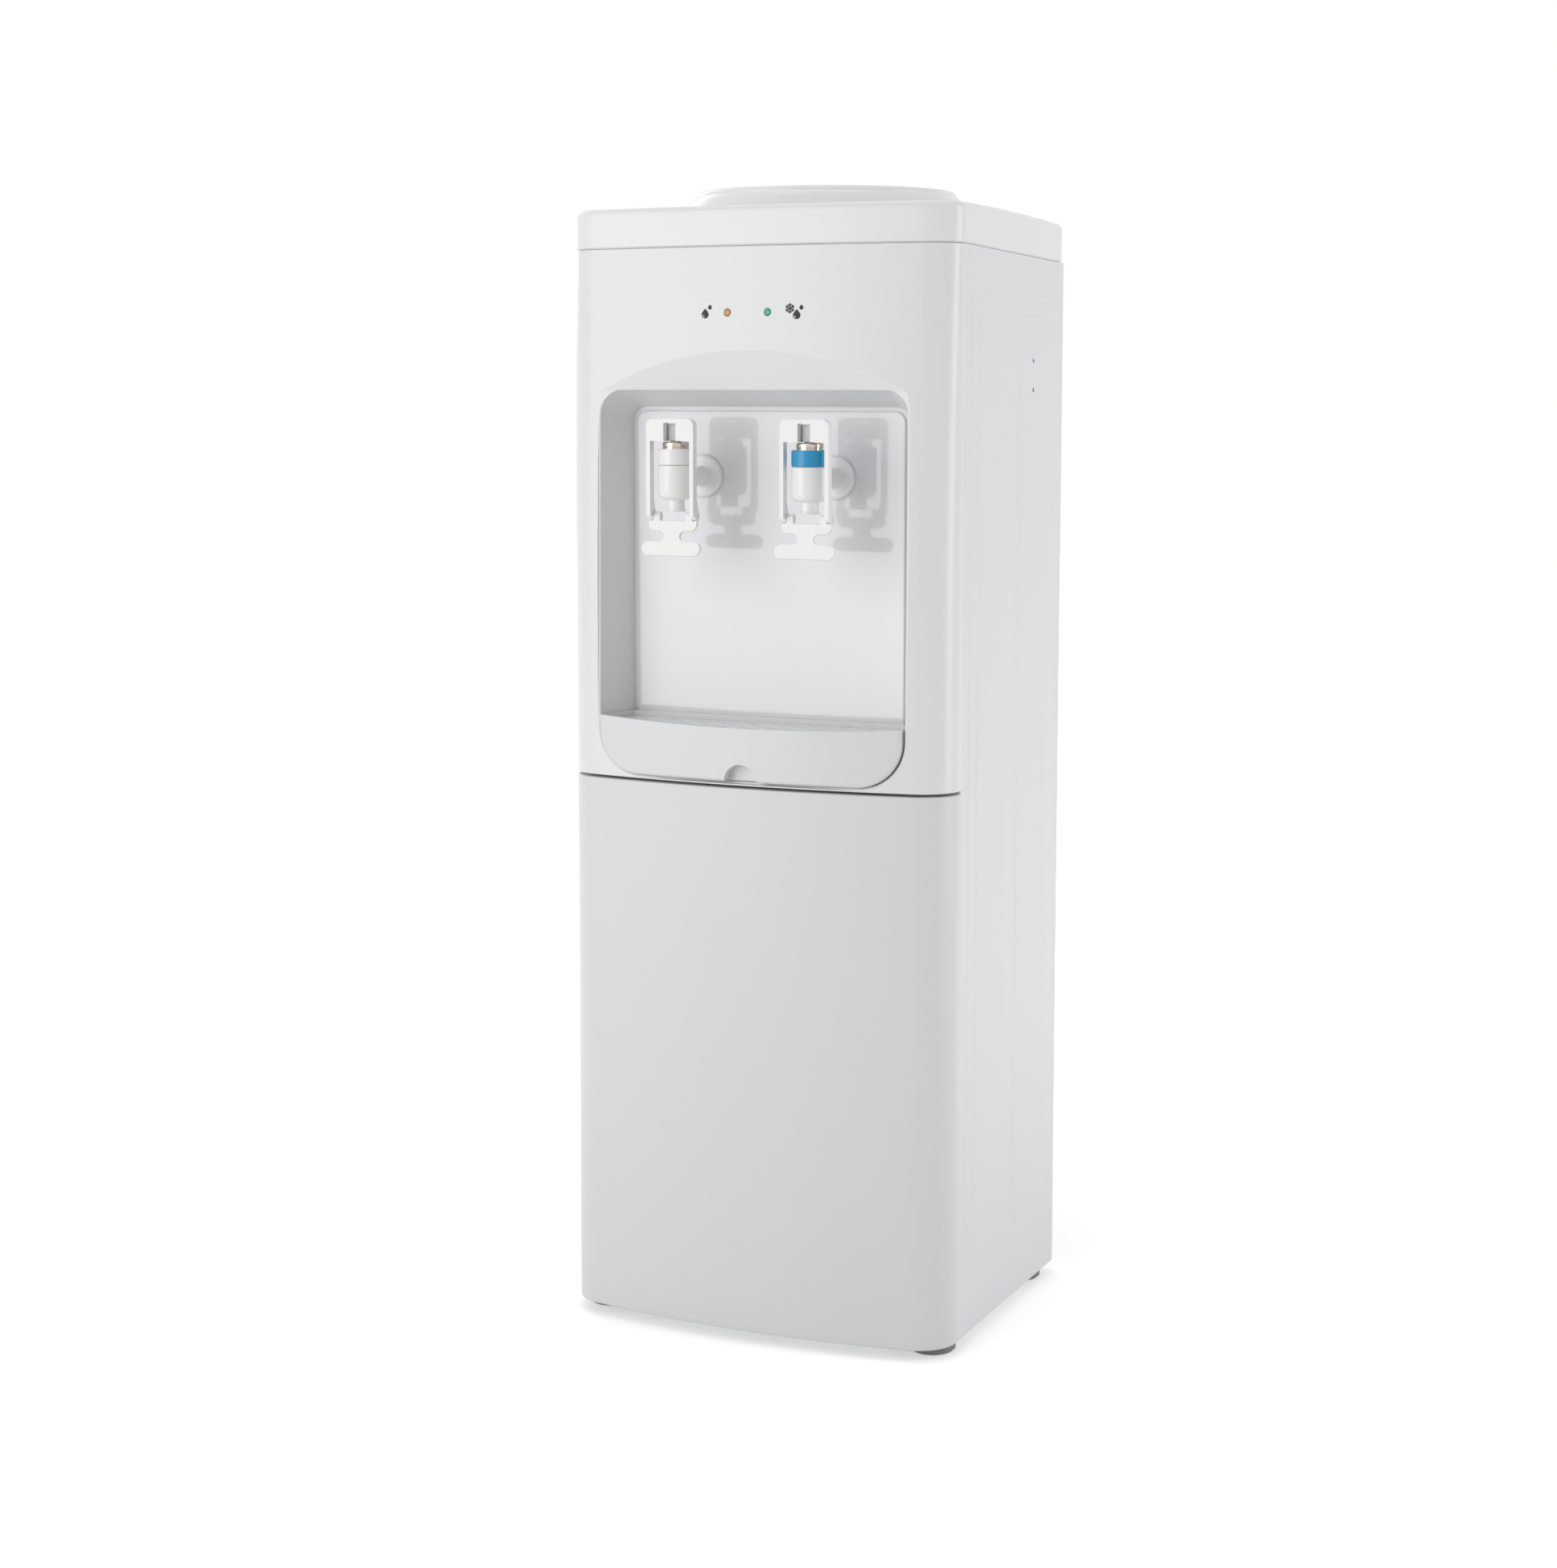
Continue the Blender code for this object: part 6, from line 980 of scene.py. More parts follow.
def push_paddle():
    """A wing, a neck between two round bites and a bar with round ends."""
    bar, bite, neck, corner, half, wing, thick = 5.3, 3.6, 6.25, 5, 23.2, 19, 1.2
    wing_top = FOLD_Z - FIT - 3.2
    wing_low = wing_top - 7.5
    bar_top = wing_low - 2 * bite
    low = bar_top - 2 * bar
    pen = Pen(bar - half, low).line((half - bar, low)).arc((half - bar, low + bar), 2 * QUARTER, 14)
    pen.line((neck + bite, bar_top)).arc((neck + bite, bar_top + bite), -2 * QUARTER, 12)
    pen.line((wing - corner, wing_low)).arc((wing - corner, wing_low + corner), QUARTER, 8)
    pen.line((wing, wing_top), (-wing, wing_top), (-wing, wing_low + corner))
    pen.arc((corner - wing, wing_low + corner), QUARTER, 8)
    pen.line((-neck - bite, wing_low)).arc((-neck - bite, bar_top + bite), -2 * QUARTER, 12)
    pen.line((bar - half, bar_top)).arc((bar - half, low + bar), 2 * QUARTER, 14)
    plate = prism(pen, "front", FOLD_Y - thick, FOLD_Y + thick)
    rims(rims(plate, 1, FOLD_Y - thick, 0.5, 3), 1, FOLD_Y + thick, 0.5, 3)
    turned(plate, math.radians(-12), "X", (0, FOLD_Y, FOLD_Z))
    inner, root, knuckle, grown = LEVER_HALF - LEVER_RAIL - FIT, FOLD_Z - 7, 2.9, []
    for side in (-1, 1):
        pen = Pen(FOLD_Y - thick, root).line((FOLD_Y + thick, root), (FOLD_Y + knuckle, FOLD_Z))
        pen.arc((FOLD_Y, FOLD_Z), 2 * QUARTER, 14)
        grown.append(prism(pen, "side", side * (inner - 5), side * inner))
        near, far = sorted((side * (inner - FIT), side * (LEVER_HALF - FIT)))
        grown.append(rod((near, FOLD_Y, FOLD_Z), (far, FOLD_Y, FOLD_Z), 1.3, 24))
    return join(plate, *grown)


def tray_half(inset):
    return ALCOVE_FRONT - 1 - inset


def tray_rear_half(inset):
    return tray_half(inset) - SIDE_SLOPE * (TRAY_REAR - inset - 1 - EDGE_Y)


def tray_front_y(x, inset):
    return 18.2 * (x / HALF) ** 2 + TRAY_FRONT + inset


def tray_section(x, inset, rise):
    """One slice across the tray: its depth, and its low and high corners."""
    radius, half = TRAY_RADIUS - inset, tray_half(inset)
    rear = min(TRAY_REAR - inset, EDGE_Y + 1 + (half - abs(x)) / SIDE_SLOPE)
    corners = []
    for y in (tray_front_y(x, inset), EDGE_Y, rear):
        past = min(max(0.0, abs(x) - (half - SIDE_SLOPE * max(0.0, y - EDGE_Y) - radius)), radius)
        corners.append((y, TRAY_LOW + inset + radius - math.sqrt(radius ** 2 - past ** 2)))
    lip = TRAY_HIGH + (rise or -3.4 * (1 - (x / ALCOVE_FRONT) ** 2))
    back = TRAY_HIGH + rise
    return [*corners, (rear, back), (EDGE_Y, back), (corners[0][0], lip)]


def tray_block(inset, rise=0.0):
    radius, half = TRAY_RADIUS - inset, tray_half(inset)
    flat = half - radius
    right = [flat * step / 20 for step in range(1, 20)]
    right += [flat + radius * math.sin(QUARTER * step / 14) for step in range(15)]
    right.append(tray_rear_half(inset))
    outlines = []
    for x in sorted({*right, 0.0, *(-x for x in right)}):
        first, *others = tray_section(x, inset, rise)
        outlines.append((Pen(*first).line(*others), x))
    return bridged(outlines, "side")


def tray_plan(inset, low, high):
    half, rear_half = tray_half(inset), tray_rear_half(inset)
    front = [(x, tray_front_y(x, inset)) for x in (half * (step / 30 - 1) for step in range(61))]
    pen = Pen(*front[0]).line(*front[1:]).line((half, EDGE_Y + 1), (rear_half, TRAY_REAR - inset))
    return prism(pen.line((-rear_half, TRAY_REAR - inset), (-half, EDGE_Y + 1)), "plan", low, high)


def notch(radius, depth):
    return bore(0, TRAY_LOW, TRAY_FRONT - OVER, TRAY_FRONT + depth, radius, 48)


def tray_rim(edge):
    """True for the edges round the tray's front face, but for its top lip."""
    ends = [end.co / MM for end in edge.verts]
    in_face = all(abs(end.y - tray_front_y(end.x, 0)) < 0.01 for end in ends)
    return in_face and not all(end.z > TRAY_HIGH - 4 for end in ends)


def drip_tray():
    outer = tray_block(0)
    soften(outer, [edge for edge in sharp_edges(outer, 50) if tray_rim(edge)], 2.2, 5, clamp=False)
    hollow = cut(tray_block(5.2, OVER), notch(14.5, 11))
    shape = cut(outer, hollow, tray_plan(2.2, TRAY_SEAT, TRAY_HIGH + OVER), notch(12.5, 9))
    # The tray takes a darker copy of the front's plastic, painted as shade.
    piece("tray_basin", shape, "front_plastic", "drip_tray", "tray", shaded_tray_white, angle=30)


def drip_grille():
    low, high, half, radius, pitch = TRAY_SEAT + FIT, TRAY_SEAT + 2.1, 5.2, 1.2, 20
    plate = rims(tray_plan(GRILLE_INSET, low, high), 2, high, 0.4, 2)
    slots = []
    for row in range(5):
        y, shift = TRAY_REAR - GRILLE_INSET - 3.5 - 7.2 * row, pitch / 2 if row % 2 else 0.0
        count = int((ALCOVE_BACK - GRILLE_INSET - 12 - shift) / pitch) + 1
        places = [shift + pitch * step for step in range(count)]
        for x in sorted({place * sign for place in places for sign in (-1, 1)}):
            pen = Pen(x - half, y - radius).line((x + half, y - radius)).arc((x + half, y), 2 * QUARTER, 6)
            pen.line((x - half, y + radius)).arc((x - half, y), 2 * QUARTER, 6)
            slots.append(prism(pen, "plan", low - OVER, high + OVER))
    thumbs = [post(x, tray_front_y(x, GRILLE_INSET), low - OVER, high + OVER, 8, 48) for x in (-48, 48)]
    shape = cut(plate, merge(slots), merge(thumbs))
    # The grille takes a lighter copy of the front's plastic, painted as light and reflection.
    piece("slotted_grille", shape, "front_plastic", "drip_grille", "grille", lit_grille_white)


def feet():
    profile = [(0, -8), (14, -8), (15, -7.8), (16.4, -6.6), (17, -6), (17, -1), (16.3, -0.3), (8, -0.3)]
    profile += [(8, 0.9), (4, 0.9), (4, 5.9), (0, 5.9)]
    for side_y, y in (("front", 3), ("rear", 188)):
        for side_x, x in (("left", -130), ("right", 130)):
            node = side_y + "_" + side_x + "_foot"
            piece(node + "_pad", moved(revolve(profile, 56), x, y, 0), "foot_plastic", node)


def drop_mark(x, z, height):
    """A small printed drop: a round belly with a drawn-out tip, and in the big ones a bare glint."""
    radius = height * 0.40
    tangent = math.asin(radius / (height - radius))
    pen = Pen(x, z + height - radius)
    pen.line((x - radius * math.cos(tangent), z + radius * math.sin(tangent)))
    mark = prism(pen.arc((x, z), 2 * QUARTER + 2 * tangent, 24), "front", 0, 0.12)
    if height < 5:
        return mark
    outer, inner, start, sweep = radius * 0.74, radius * 0.52, math.radians(188), math.radians(66)
    end = start + sweep
    glint = Pen(x + outer * math.cos(start), z + outer * math.sin(start)).arc((x, z), sweep, 8)
    glint.line((x + inner * math.cos(end), z + inner * math.sin(end))).arc((x, z), -sweep, 8)
    return cut(mark, prism(glint, "front", -OVER, OVER))


def bar_mark(start, end, width, deep):
    """A flat printed bar between two points."""
    along = (end - start).normalized()
    across = Vector((-along.y, along.x)) * width / 2
    first, *others = (tuple(point) for point in (start - across, end - across, end + across, start + across))
    return prism(Pen(*first).line(*others), "front", 0, deep)


def ray(angle, length=1.0):
    return Vector((math.cos(angle), math.sin(angle))) * length


def flake_mark(x, z, radius):
    """A six-armed snow star with a pair of barbs on each arm."""
    bars, centre = [], Vector((x, z))
    for arm in range(6):
        angle, deep = TURN * (arm / 6 + 1 / 12), 0.110 + 0.002 * arm
        bars.append(bar_mark(centre, centre + ray(angle, radius), radius * 0.24, deep))
        knee = centre + ray(angle, radius * 0.42)
        for turn in (-1, 1):
            end = knee + ray(angle + turn * math.radians(42), radius * 0.5)
            bars.append(bar_mark(knee, end, radius * 0.2, deep - 0.001 * (turn + 2)))
    return join(*bars)


def marks():
    """Thin marks that lie on the bowed front."""

    def laid(point):
        point.y += (front_y(point.x / MM, point.z / MM) - 0.09) * MM
        return point

    room = [drop_mark(-33, 732.4, 7), drop_mark(-29.3, 737.2, 3.7)]
    chilled = [drop_mark(37.6, 731.2, 7), drop_mark(41, 736.4, 3.7), flake_mark(32.4, 736, 3.6)]
    for name, shapes in (("room_water_mark", room), ("chilled_water_mark", chilled)):
        piece(name, shaped(merge(shapes), laid), "black_plastic", finish=print_black)


def bent(corners, radius, steps=8):
    """A route through corners, each rounded with an arc."""
    corners = [Vector(corner) for corner in corners]
    points = corners[:1]
    for before, corner, after in zip(corners, corners[1:], corners[2:]):
        back, ahead = (before - corner).normalized(), (after - corner).normalized()
        opening = back.angle(ahead)
        centre = corner + (back + ahead).normalized() * radius / math.sin(opening / 2)
        reach = radius / math.tan(opening / 2)
        start, end = ((corner + way * reach - centre).normalized() for way in (back, ahead))
        points += [centre + start.slerp(end, step / steps) * radius for step in range(steps + 1)]
    return points + corners[-1:]


def drawn_tube(points, radius):
    """A round tube along a route, closed at its ends."""
    line = bpy.data.curves.new("route", "CURVE")
    line.dimensions, line.bevel_depth, line.bevel_resolution, line.use_fill_caps = "3D", radius * MM, 3, True
    spline = line.splines.new("POLY")
    spline.points.add(len(points) - 1)
    for knot, place in zip(spline.points, points):
        knot.co = (*metres(*place), 1)
    shape = settled(shown("route", line))
    bmesh.ops.remove_doubles(shape, verts=shape.verts, dist=TINY)
    return shape


def to_rear(shape, x, y, z):
    """Turns a shape that was spun round +Z to face backwards, and puts it in place."""
    return moved(turned(shape, -QUARTER, "X"), x, y, z)


def fluted(shape, teeth, depth, least):
    """Presses even flutes into the outer wall of a spun shape."""

    def flute(point):
        radius = math.hypot(point.x, point.y) / MM
        if radius > least:
            share = 1 - depth / radius * (0.5 - 0.5 * math.cos(teeth * math.atan2(point.y, point.x)))
            point.x, point.y = point.x * share, point.y * share
        return point

    return shaped(shape, flute)


def condenser():
    """The condenser tube's rows, the upright wires before and behind them, and the straps with their tabs."""
    top, bend = COIL_LOW + COIL_PITCH * (COIL_ROWS - 1), COIL_PITCH / 2
    run_y, cross_z, coil_bend = STUB_END + 24, 212, 12
    route = bent([
        (DISCHARGE_X, STUB_END, DISCHARGE_Z), (DISCHARGE_X, run_y, DISCHARGE_Z),
        (DISCHARGE_X, run_y, cross_z - 24), (DISCHARGE_X, COIL_Y, cross_z),
        (-COIL_SIDE, COIL_Y, cross_z), (-COIL_SIDE, COIL_Y, top), (0, COIL_Y, top),
    ], coil_bend)[:-1]
    for row in range(COIL_ROWS - 1):
        arc = rounded((COIL_HALF - bend, top - COIL_PITCH * row - bend), bend, QUARTER, -2 * QUARTER, 12)
        route += [Vector(((-1) ** row * x, COIL_Y, z)) for x, z in arc]
    end = [(0, COIL_Y, COIL_LOW), (COIL_SIDE, COIL_Y, COIL_LOW), (COIL_SIDE, COIL_Y, 240.3)]
    shape = drawn_tube(route + bent(end, coil_bend)[1:], TUBE_RADIUS)
    piece("condenser_tube", shape, "black_steel", "condenser_coil")
    wire, strap, half, low, high = 0.8, 4, COIL_HALF + 5, COIL_LOW - 18, top + 14
    clear = TUBE_RADIUS + FIT + 2 * wire
    near, far = COIL_Y - clear, COIL_Y + clear
    wires = [
        post(x, y, low + strap / 2, high + strap / 2, wire * 0.98, 8)
        for x in range(-100, 101, 20) for y in (near + wire, far - wire)
    ]
    piece("condenser_wire_rows", merge(wires), "black_steel", "condenser_wires")
    for end, z in (("lower", low), ("upper", high)):
        shape = block((-half, near, z), (half, far, z + strap), 0.8, 3)
        for x in (-90, 90):
            tab = block((x - 7, BACK_FACE + FIT, z + 1), (x + 7, near + wire, z + strap - 1))
            foot = block((x - 7, BACK_FACE + 0.05, z + 1), (x + 7, BACK_FACE + 1.3, z + 11), 0.4)
            shape = join(shape, tab, foot)
        piece(end + "_condenser_strap", shape, "black_steel")


def back_plate():
    """The painted rear sheet with its holes and a hem behind the cover, and its cross-slotted screws."""
    half, inner = 148.1, BACK_FACE - 1
    sheet = block((-half, inner, 232), (half, BACK_FACE, 774), 0.3)
    hem = block((1 - half, inner - 1, 769), (half - 1, inner + 0.1, 779))
    holes = ((DRAIN[0], OUTLET_Z, 6.3), (GLAND_X, OUTLET_Z, 6.8), (CONTROL_X, CONTROL_Z, 3.3))
    tools = [bore(x, z, inner - OVER, BACK_FACE + OVER, radius, 40) for x, z, radius in holes]
    tools.append(switch_block(7.8, 10.8, inner - OVER, BACK_FACE + OVER))
    piece("rear_sheet", cut(join(sheet, hem), *tools), "painted_steel", "back_panel")
    profile = [(0, 0), (3.4, 0), (3.4, 0.7), *rounded((1.9, 0.7), 1.5, steps=5)[1:], (0, 2.2)]
    heads = []
    for x in (-140, 140):
        for z in (244, 420, 590, 762):
            slots = [block((-u, -v, 1.2), (u, v, 4)) for u, v in ((2.1, 0.45), (0.45, 2.1))]
            heads.append(to_rear(cut(revolve(profile, 32), *slots), x, BACK_FACE + 0.02, z))
    piece("rear_sheet_screws", merge(heads), "stainless_steel")


def compressor():
    """A welded pot on its three-legged plate, with two stubs, a terminal cover and rubber rings."""
    dome, rim, flange = 26, POT_RADIUS + 3.5, 2.5
    pot = revolve([
        (0, POT_LOW), *rounded((POT_RADIUS - dome, POT_LOW + dome), dome, -QUARTER, QUARTER, 12),
        (POT_RADIUS, POT_SEAM - flange), (rim - 0.8, POT_SEAM - flange),
        *rounded((rim - 1.2, POT_SEAM), 1.2, -QUARTER, 2 * QUARTER, 6),
        (rim - 0.8, POT_SEAM + flange), (POT_RADIUS, POT_SEAM + flange),
        *rounded((POT_RADIUS - dome, POT_HIGH - dome), dome, steps=12), (0, POT_HIGH),
    ], 72)
    pen, legs, plate_high = None, [], POT_LOW + 2.5
    for angle in (QUARTER + TURN * leg / 3 for leg in range(3)):
        centre = Vector((0, POT_Y)) + ray(angle, LEG_CIRCLE)
        start = centre + ray(angle - TURN / 6, 13)
        pen = pen.line(start) if pen else Pen(*start)
        pen.arc(centre, TURN / 3, 16)
        legs.append(centre)
    plate = rims(prism(pen, "plan", POT_LOW, plate_high), 2, plate_high, 0.6, 2)
    holes = [post(*leg, POT_LOW - OVER, POT_LOW + 2.8, 4.5) for leg in legs]
    places = ((SUCTION_X, SUCTION_Z), (DISCHARGE_X, DISCHARGE_Z))
    stubs = [bore(x, z, POT_Y, STUB_END - FIT, 4.6, 28) for x, z in places]
    shape = worked(moved(pot, 0, POT_Y, 0), "+", plate, "-", *holes, "+", *stubs)
    piece("compressor_pot", shape, "black_steel", "compressor")
    low, high, outside = 36.42, 88.42, 82
    cover = rims(prism(box_outline(20, low, high, 5, 5, 6, POT_Y), "side", 49, outside), 0, outside, 2)
    vents = []
    for step in range(-2, 3):
        z = (low + high) / 2 + step * 7
        vents.append(block((outside - 0.8, POT_Y - 12, z - 1), (90, POT_Y + 12, z + 1)))
    shape = cut(cover, post(0, POT_Y, low - OVER, high + OVER, POT_RADIUS + FIT, 72), *vents)
    piece("terminal_cover", shape, "black_plastic", "relay_cover")
    profile = [(2.5, 3), (8.2, 3), (9, 3.8), (9, 7), (8.2, 8), (8.2, 10), (9, 11), (9, 14.2), (8.2, 15)]
    profile += [(4.2, 15), (4.2, 18.1), (4.5, 18.1), (4.5, 19), (4.0, 22.1), (2.5, 22.1)]
    for name, leg in zip(("rear", "left", "right"), legs):
        shape = moved(revolve(profile, 36, closed=True), *leg, 0)
        piece(name + "_grommet_ring", shape, "rubber", name + "_grommet")


def pipework():
    """The suction tube, the drier and the drain with its cap."""
    coil_y, drop_y, knee, outlet = 190.95, 196, TANK_OUTLET_LOW - 30, TANK_OUTLET_LOW - FIT
    route = bent([
        (0, coil_y, outlet), (0, coil_y, knee), (SUCTION_X, drop_y, knee - 20),
        (SUCTION_X, drop_y, SUCTION_Z), (SUCTION_X, STUB_END, SUCTION_Z),
    ], 10)
    piece("suction_line", drawn_tube(route, 3.36), "copper", "suction_tube")
    half, neck, radius = 35, 3.7, 9
    profile = [
        (0, -half), (neck, -half), (neck, 11 - half), (neck + 1, 13 - half), (radius - 1.6, 19 - half),
        *rounded((radius - 3, 23 - half), 3, -QUARTER / 2, QUARTER / 2),
        (radius, -9), (radius - 0.5, -8), (radius, -7),
    ]
    profile += [(r, -z) for r, z in reversed(profile)]
    piece("drier_cartridge", moved(revolve(profile, 40), COIL_SIDE, COIL_Y, 205), "copper", "filter_drier")
    (x, y), end = DRAIN, BACK_FACE + 17
    tube = drawn_tube(bent([(x, y, outlet), (x, y, OUTLET_Z), (x, end, OUTLET_Z)], 14), 5.95)
    piece("drain_line", cut(tube, bore(x, OUTLET_Z, end - 30, end + OVER, 4)), "tap_plastic", "drain_pipe")
    inner, outer, long, edge = 6.2, 8.2, 12, 1.2
    profile = [
        (0, 10), (inner, 10), (inner, 0), (outer - 0.4, 0), (outer, 0.4), (outer, 3), (outer, 9),
        *rounded((outer - edge, long - edge), edge), (0, long),
    ]
    shape = to_rear(fluted(revolve(profile, 96), 16, 0.5, 7.5), x, 220, OUTLET_Z)
    piece("drain_cap_ribbed", shape, "rubber", "drain_cap", "cap")


def switch_block(half, tall, front, rear):
    """A block round the switch's middle."""
    return block((-CONTROL_X - half, front, CONTROL_Z - tall), (-CONTROL_X + half, rear, CONTROL_Z + tall))


def controls():
    """The rocker switch, the fluted thermostat knob with its scale, and the cord gland."""
    face = BACK_FACE + FIT
    outline = box_outline(9.5, CONTROL_Z - 12.5, CONTROL_Z + 12.5, 2, 2, 6, -CONTROL_X)
    bezel = rims(prism(outline, "front", face, face + 2), 1, face + 2, 0.6, 3)
    body = switch_block(7.5, 10.5, face - 17, face + FIT)
    pocket = switch_block(5.9, 8.9, face - 8.3, face + OVER)
    piece("switch_frame", worked(bezel, "+", body, "-", pocket), "black_plastic", "switch_housing")
    thick, tall, tilt, wide = 5, 7.7, math.radians(8), 5.6
    dish = thick * math.tan(tilt)
    shallow = thick - dish * 0.75
    pen = Pen(-thick / 2, -tall).line((thick, -tall), (shallow, -tall / 2), (thick - dish, 0))
    pen.line((shallow, tall / 2), (thick, tall), (-thick / 2, tall), (-thick, 0))
    rocker = prism(pen, "side", -wide, wide)
    turned(soften(rocker, sharp_edges(rocker, 50), 0.4, 2), tilt, "X")
    shape = moved(rocker, -CONTROL_X, face - 3, CONTROL_Z)
    piece("rocker_key", shape, "black_plastic", "switch_rocker", "rocker")
    radius, high, hole = 9.5, 9, 3.15
    profile = [
        (0, 4.8), (hole, 4.8), (hole, 0), (radius - 0.3, 0), (radius, 0.3), (radius, 1.6),
        (radius - 0.6, 2.2), (radius - 0.9, high - 1), *rounded((radius - 1.9, high - 1), 1)[1:], (0, high),
    ]
    rib = block((-0.8, 0, high - 1.6), (0.8, 7.9, high + 1.6), 0.4)
    knob = turned(join(fluted(revolve(profile, 144), 24, 0.45, 8.2), rib), 2 * QUARTER, "Z")
    shape = to_rear(knob, CONTROL_X, BACK_FACE + 2 * FIT, CONTROL_Z)
    piece("fluted_knob", shape, "black_plastic", "thermostat_knob", "knob")
    scale, centre = [], Vector((CONTROL_X, CONTROL_Z))
    for step in range(7):
        near, far = (ray(QUARTER - math.radians(45) * step, out) for out in (11.5, 13 + step * 0.25))
        scale.append(moved(bar_mark(centre + near, centre + far, 0.8, 0.06), 0, BACK_FACE + 0.04, 0))
    piece("knob_scale", merge(scale), "black_plastic", finish=print_black)
    profile = [(3.6, -1.6), (6.5, -1.6), (6.5, 0), (8.6, 0), (9, 0.4), (9, 2.1), (8.6, 2.5), (6.5, 2.5)]
    profile.append((6.2, 4.5))
    for z in (4.5, 7.0, 9.5):
        out = 6.2 - (z - 4.5) * 0.22
        profile += [(out - 0.7, z + 0.3), (out - 0.8, z + 1.2), (out - 0.25, z + 1.5), (out - 0.3, z + 2.2)]
    profile += [(4.8, 13.6), (4.5, 14), (3.6, 14)]
    shape = to_rear(revolve(profile, 40, closed=True), GLAND_X, face, OUTLET_Z)
    piece("ribbed_cord_gland", shape, "black_plastic", "cord_gland")


def bottle_seat():
    """The lift-out funnel: a rim, a cone, and a well with windows round the hollow probe."""
    rim, shoulder, well, wall = COLLAR_BORE - FIT, LEDGE - 2.4, 34, 2.4
    cone, floor = SEAT_Z - 34, SEAT_Z - 70
    inside, outside, probe = floor + wall, well + wall, floor + 52
    shape = revolve([
        (6, floor), (outside - 1, floor), (outside, floor + 1), (outside, cone - wall),
        (shoulder, SEAT_Z - wall), (shoulder, SEAT_Z), (rim, SEAT_Z), *rounded((rim - 1, SEAT_Z + 2), 1),
        (shoulder + wall + 0.8, SEAT_Z + 3), (shoulder + wall - 0.4, SEAT_Z + 2.4), (shoulder - wall, SEAT_Z),
        (well + 1.5, cone + 1.2), (well, cone - 0.8), (well, inside + 1), (well - 1, inside), (10, inside),
        (9, inside + 1), (9, probe - 9), (8.6, probe - 6.6), (7, probe - 2), (6, probe),
    ], ROUND_STEPS, closed=True)
    bars = [turned(block((-50, -4, inside), (50, 4, inside + 8)), angle, "Z") for angle in (0, QUARTER)]
    shape, *bars = (moved(part, 0, COLLAR_Y, 0) for part in (shape, *bars))
    piece("bottle_funnel", cut(shape, *bars), "tap_plastic", "bottle_seat", "seat")


def water_tank():
    """A spun tank with a flange and three outlets."""
    outer, low, high, curve, flange = 81, 671.6, 769.6, 4, 16
    bend = (outer - curve, low + curve)
    tank = revolve([
        (0, low), (outer - curve, low), *rounded(bend, curve, -QUARTER, QUARTER, 5)[1:],
        (outer, high - 1), (outer + flange, high - 1), (outer + flange, high), (outer - 1, high),
        *rounded(bend, curve - 1, 0, -QUARTER, 5), (0, low + 1),
    ], ROUND_STEPS)
    tap_y = COLLAR_Y - math.sqrt(71 ** 2 - TAP_X ** 2)
    places = ((-TAP_X, tap_y), (TAP_X, tap_y), DRAIN)
    pipes = [post(*place, TANK_OUTLET_LOW, low + 0.5, 5.5) for place in places]
    bores = [post(*place, TANK_OUTLET_LOW - 12, low + OVER, 4) for place in places]
    shape = worked(moved(tank, 0, COLLAR_Y, 0), "+", *pipes, "-", *bores)
    piece("spun_water_tank", shape, "stainless_steel", "water_tank")


def repaint():
    """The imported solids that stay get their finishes."""
    slots = {part["node"]: part["material_slot"] for part in frame["record"]["subparts"]}
    for name, node in frame["nodes"].items():
        if node.hide_render or name not in slots:
            continue
        if not node.material_slots:
            node.data.materials.append(finishes[slots[name]])
        for place in node.material_slots:
            place.material = finishes[slots[name]]


def seen_share(board):
    """1 for rays that show the background itself, and 0 for the light that falls on the object."""
    kinds = ("Is Camera Ray", "Is Glossy Ray", "Is Transmission Ray")
    first, second, third = (board.add("LightPath", output=kind) for kind in kinds)
    return board.clamp(first + second + third)


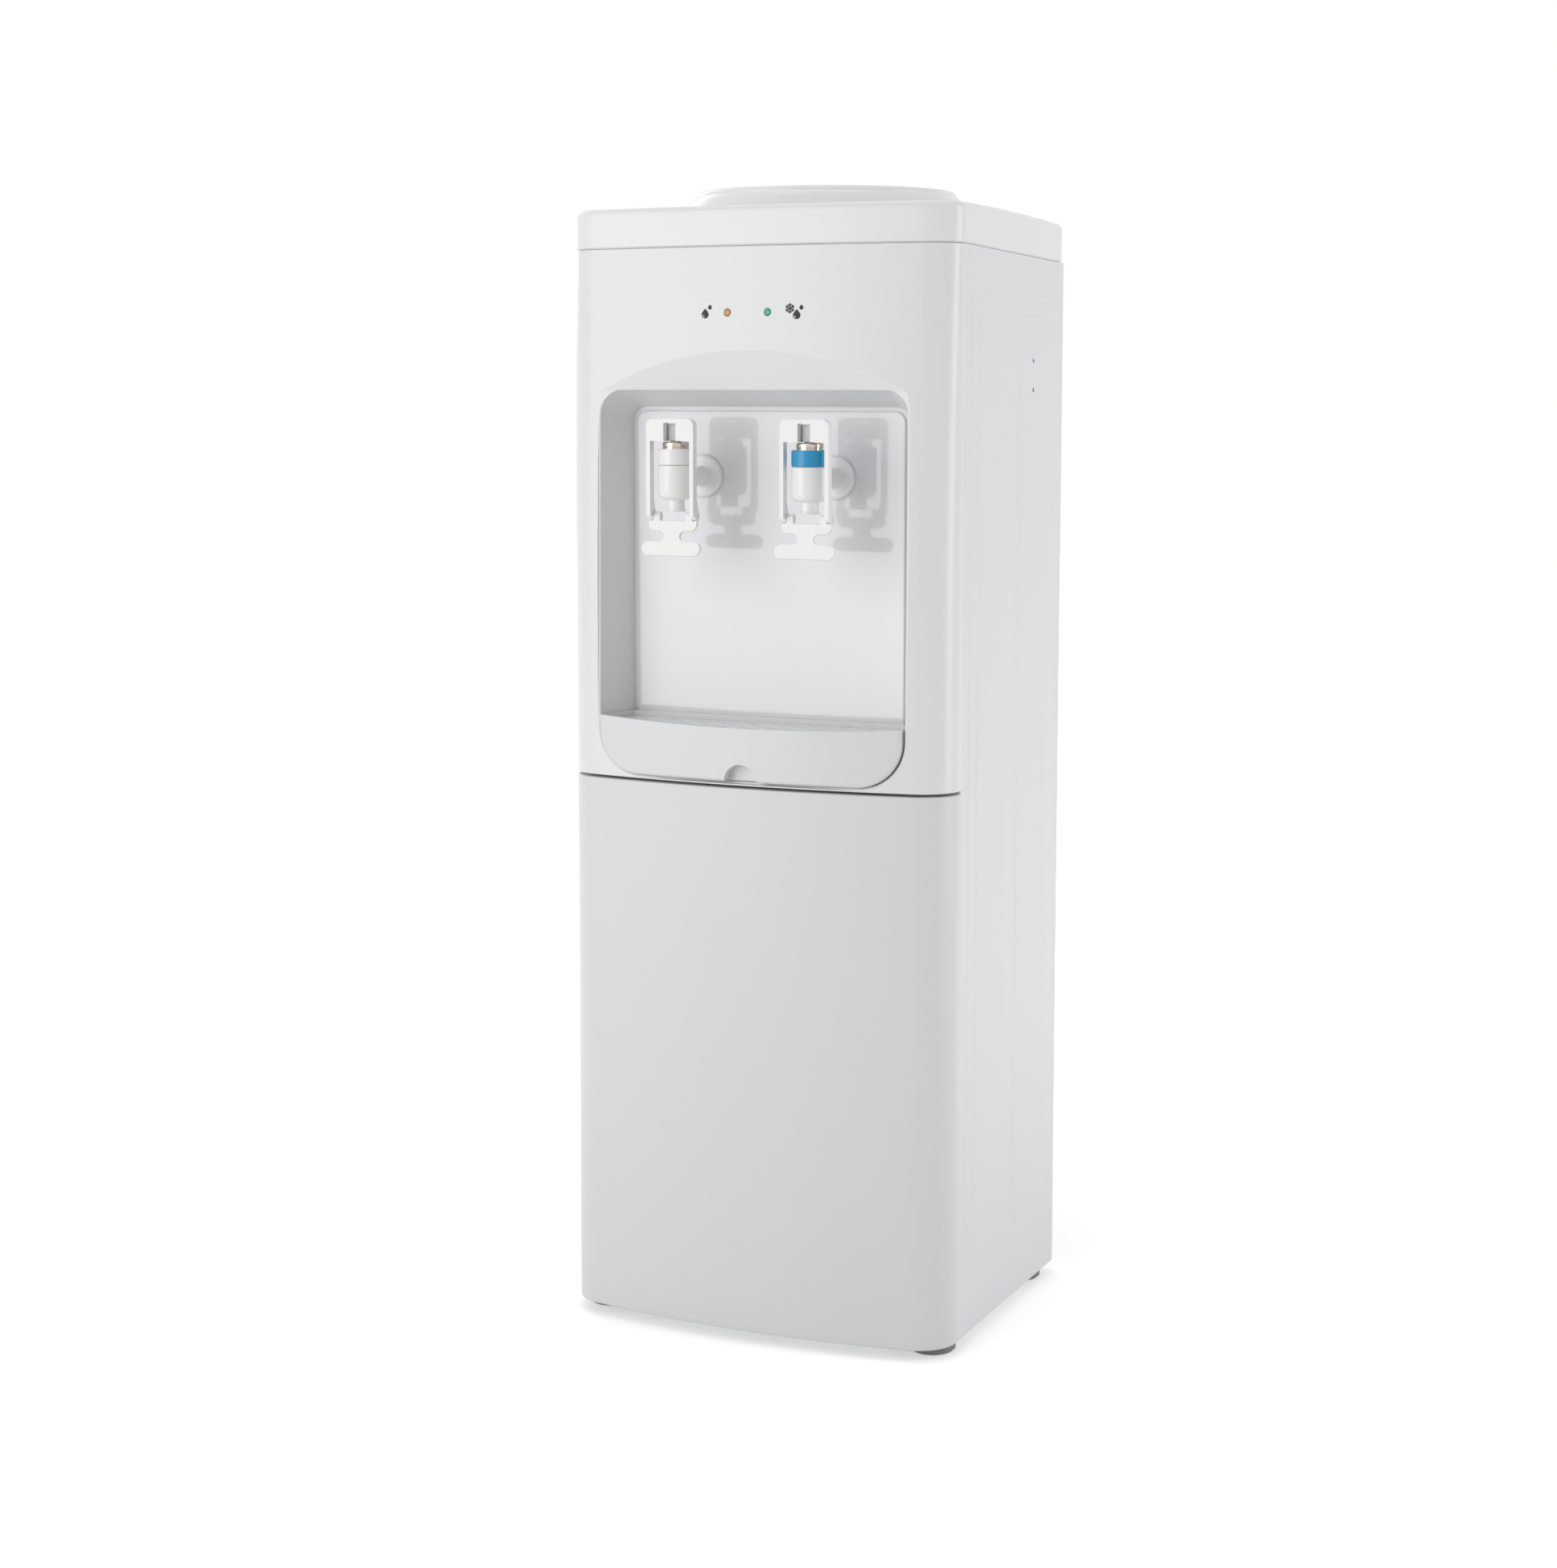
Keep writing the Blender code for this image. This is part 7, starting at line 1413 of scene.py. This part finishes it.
def room():
    """A pale floor that keeps the shadow, and a white background that reflections see too."""
    board = Board("pale_floor")
    far = board.length(board.add("TexCoord", output="Object"))
    glow = (board.clamp((far - 0.3) * 0.7, 0.0, 0.55) + 0.45) * seen_share(board)
    cloth = board.add("BsdfDiffuse", None, {"Color": (0.82, 0.82, 0.82, 1)})
    light = board.add("Emission", None, {"Color": (1, 1, 1, 1), "Strength": glow})
    board.finish(board.add("AddShader", None, {0: cloth, 1: light}))
    shape = bmesh.new()
    bmesh.ops.create_grid(shape, x_segments=1, y_segments=1, size=9)
    floor = as_object("floor", shape)
    floor.data.materials.append(board.owner)
    world = bpy.data.worlds.new("studio")
    bpy.context.scene.world = world
    board = Board(world)
    level = seen_share(board) * (1 - SURROUND) + SURROUND
    sky = board.add("Background", None, {"Color": (1, 1, 1, 1), "Strength": level})
    board.finish(sky, "World")


def lamp(name, place, target, size, power):
    light = bpy.data.lights.new(name, "AREA")
    light.shape, light.energy = "RECTANGLE", power
    light.size, light.size_y = size
    made = shown(name, light)
    made.location = place
    made.rotation_euler = (Vector(target) - Vector(place)).to_track_quat("-Z", "Y").to_euler()
    made.visible_camera = False


def camera():
    view = bpy.data.cameras.new("camera")
    view.lens, view.sensor_width, view.sensor_fit = 64.5, 36, "AUTO"
    view.shift_x, view.shift_y, view.clip_end = 0.0174, -0.061, 60
    made = shown("camera", view)
    made.location = (0.8355, -1.9267, 0.691)
    made.rotation_euler = (QUARTER - 0.1076, 0, 0.433)
    bpy.context.scene.camera = made


lower_panel()
upper_panel()
top_cover()
side_sheet("left_side_sheet", -1)
side_sheet("right_side_sheet", 1)
tap_wall()
indicator_lights()
taps()
drip_tray()
drip_grille()
feet()
marks()
back_plate()
condenser()
compressor()
pipework()
controls()
bottle_seat()
water_tank()
repaint()
room()
lamp("left_softbox", (-1.35, -2.35, 1.08), (0, 0, 0.55), (2.0, 2.1), 32.5)
lamp("right_softbox", (2.4, 0.35, 0.95), (0, 0, 0.5), (0.8, 1.8), 19)
lamp("top_softbox", (-0.3, 0.5, 2.6), (0, 0, 0.8), (1.4, 1.4), 9)
lamp("rear_strip", (-1.9, 1.3, 1.5), (0, 0, 0.8), (0.4, 1.4), 6)
camera()

bpy.context.scene.view_settings.view_transform = "Standard"
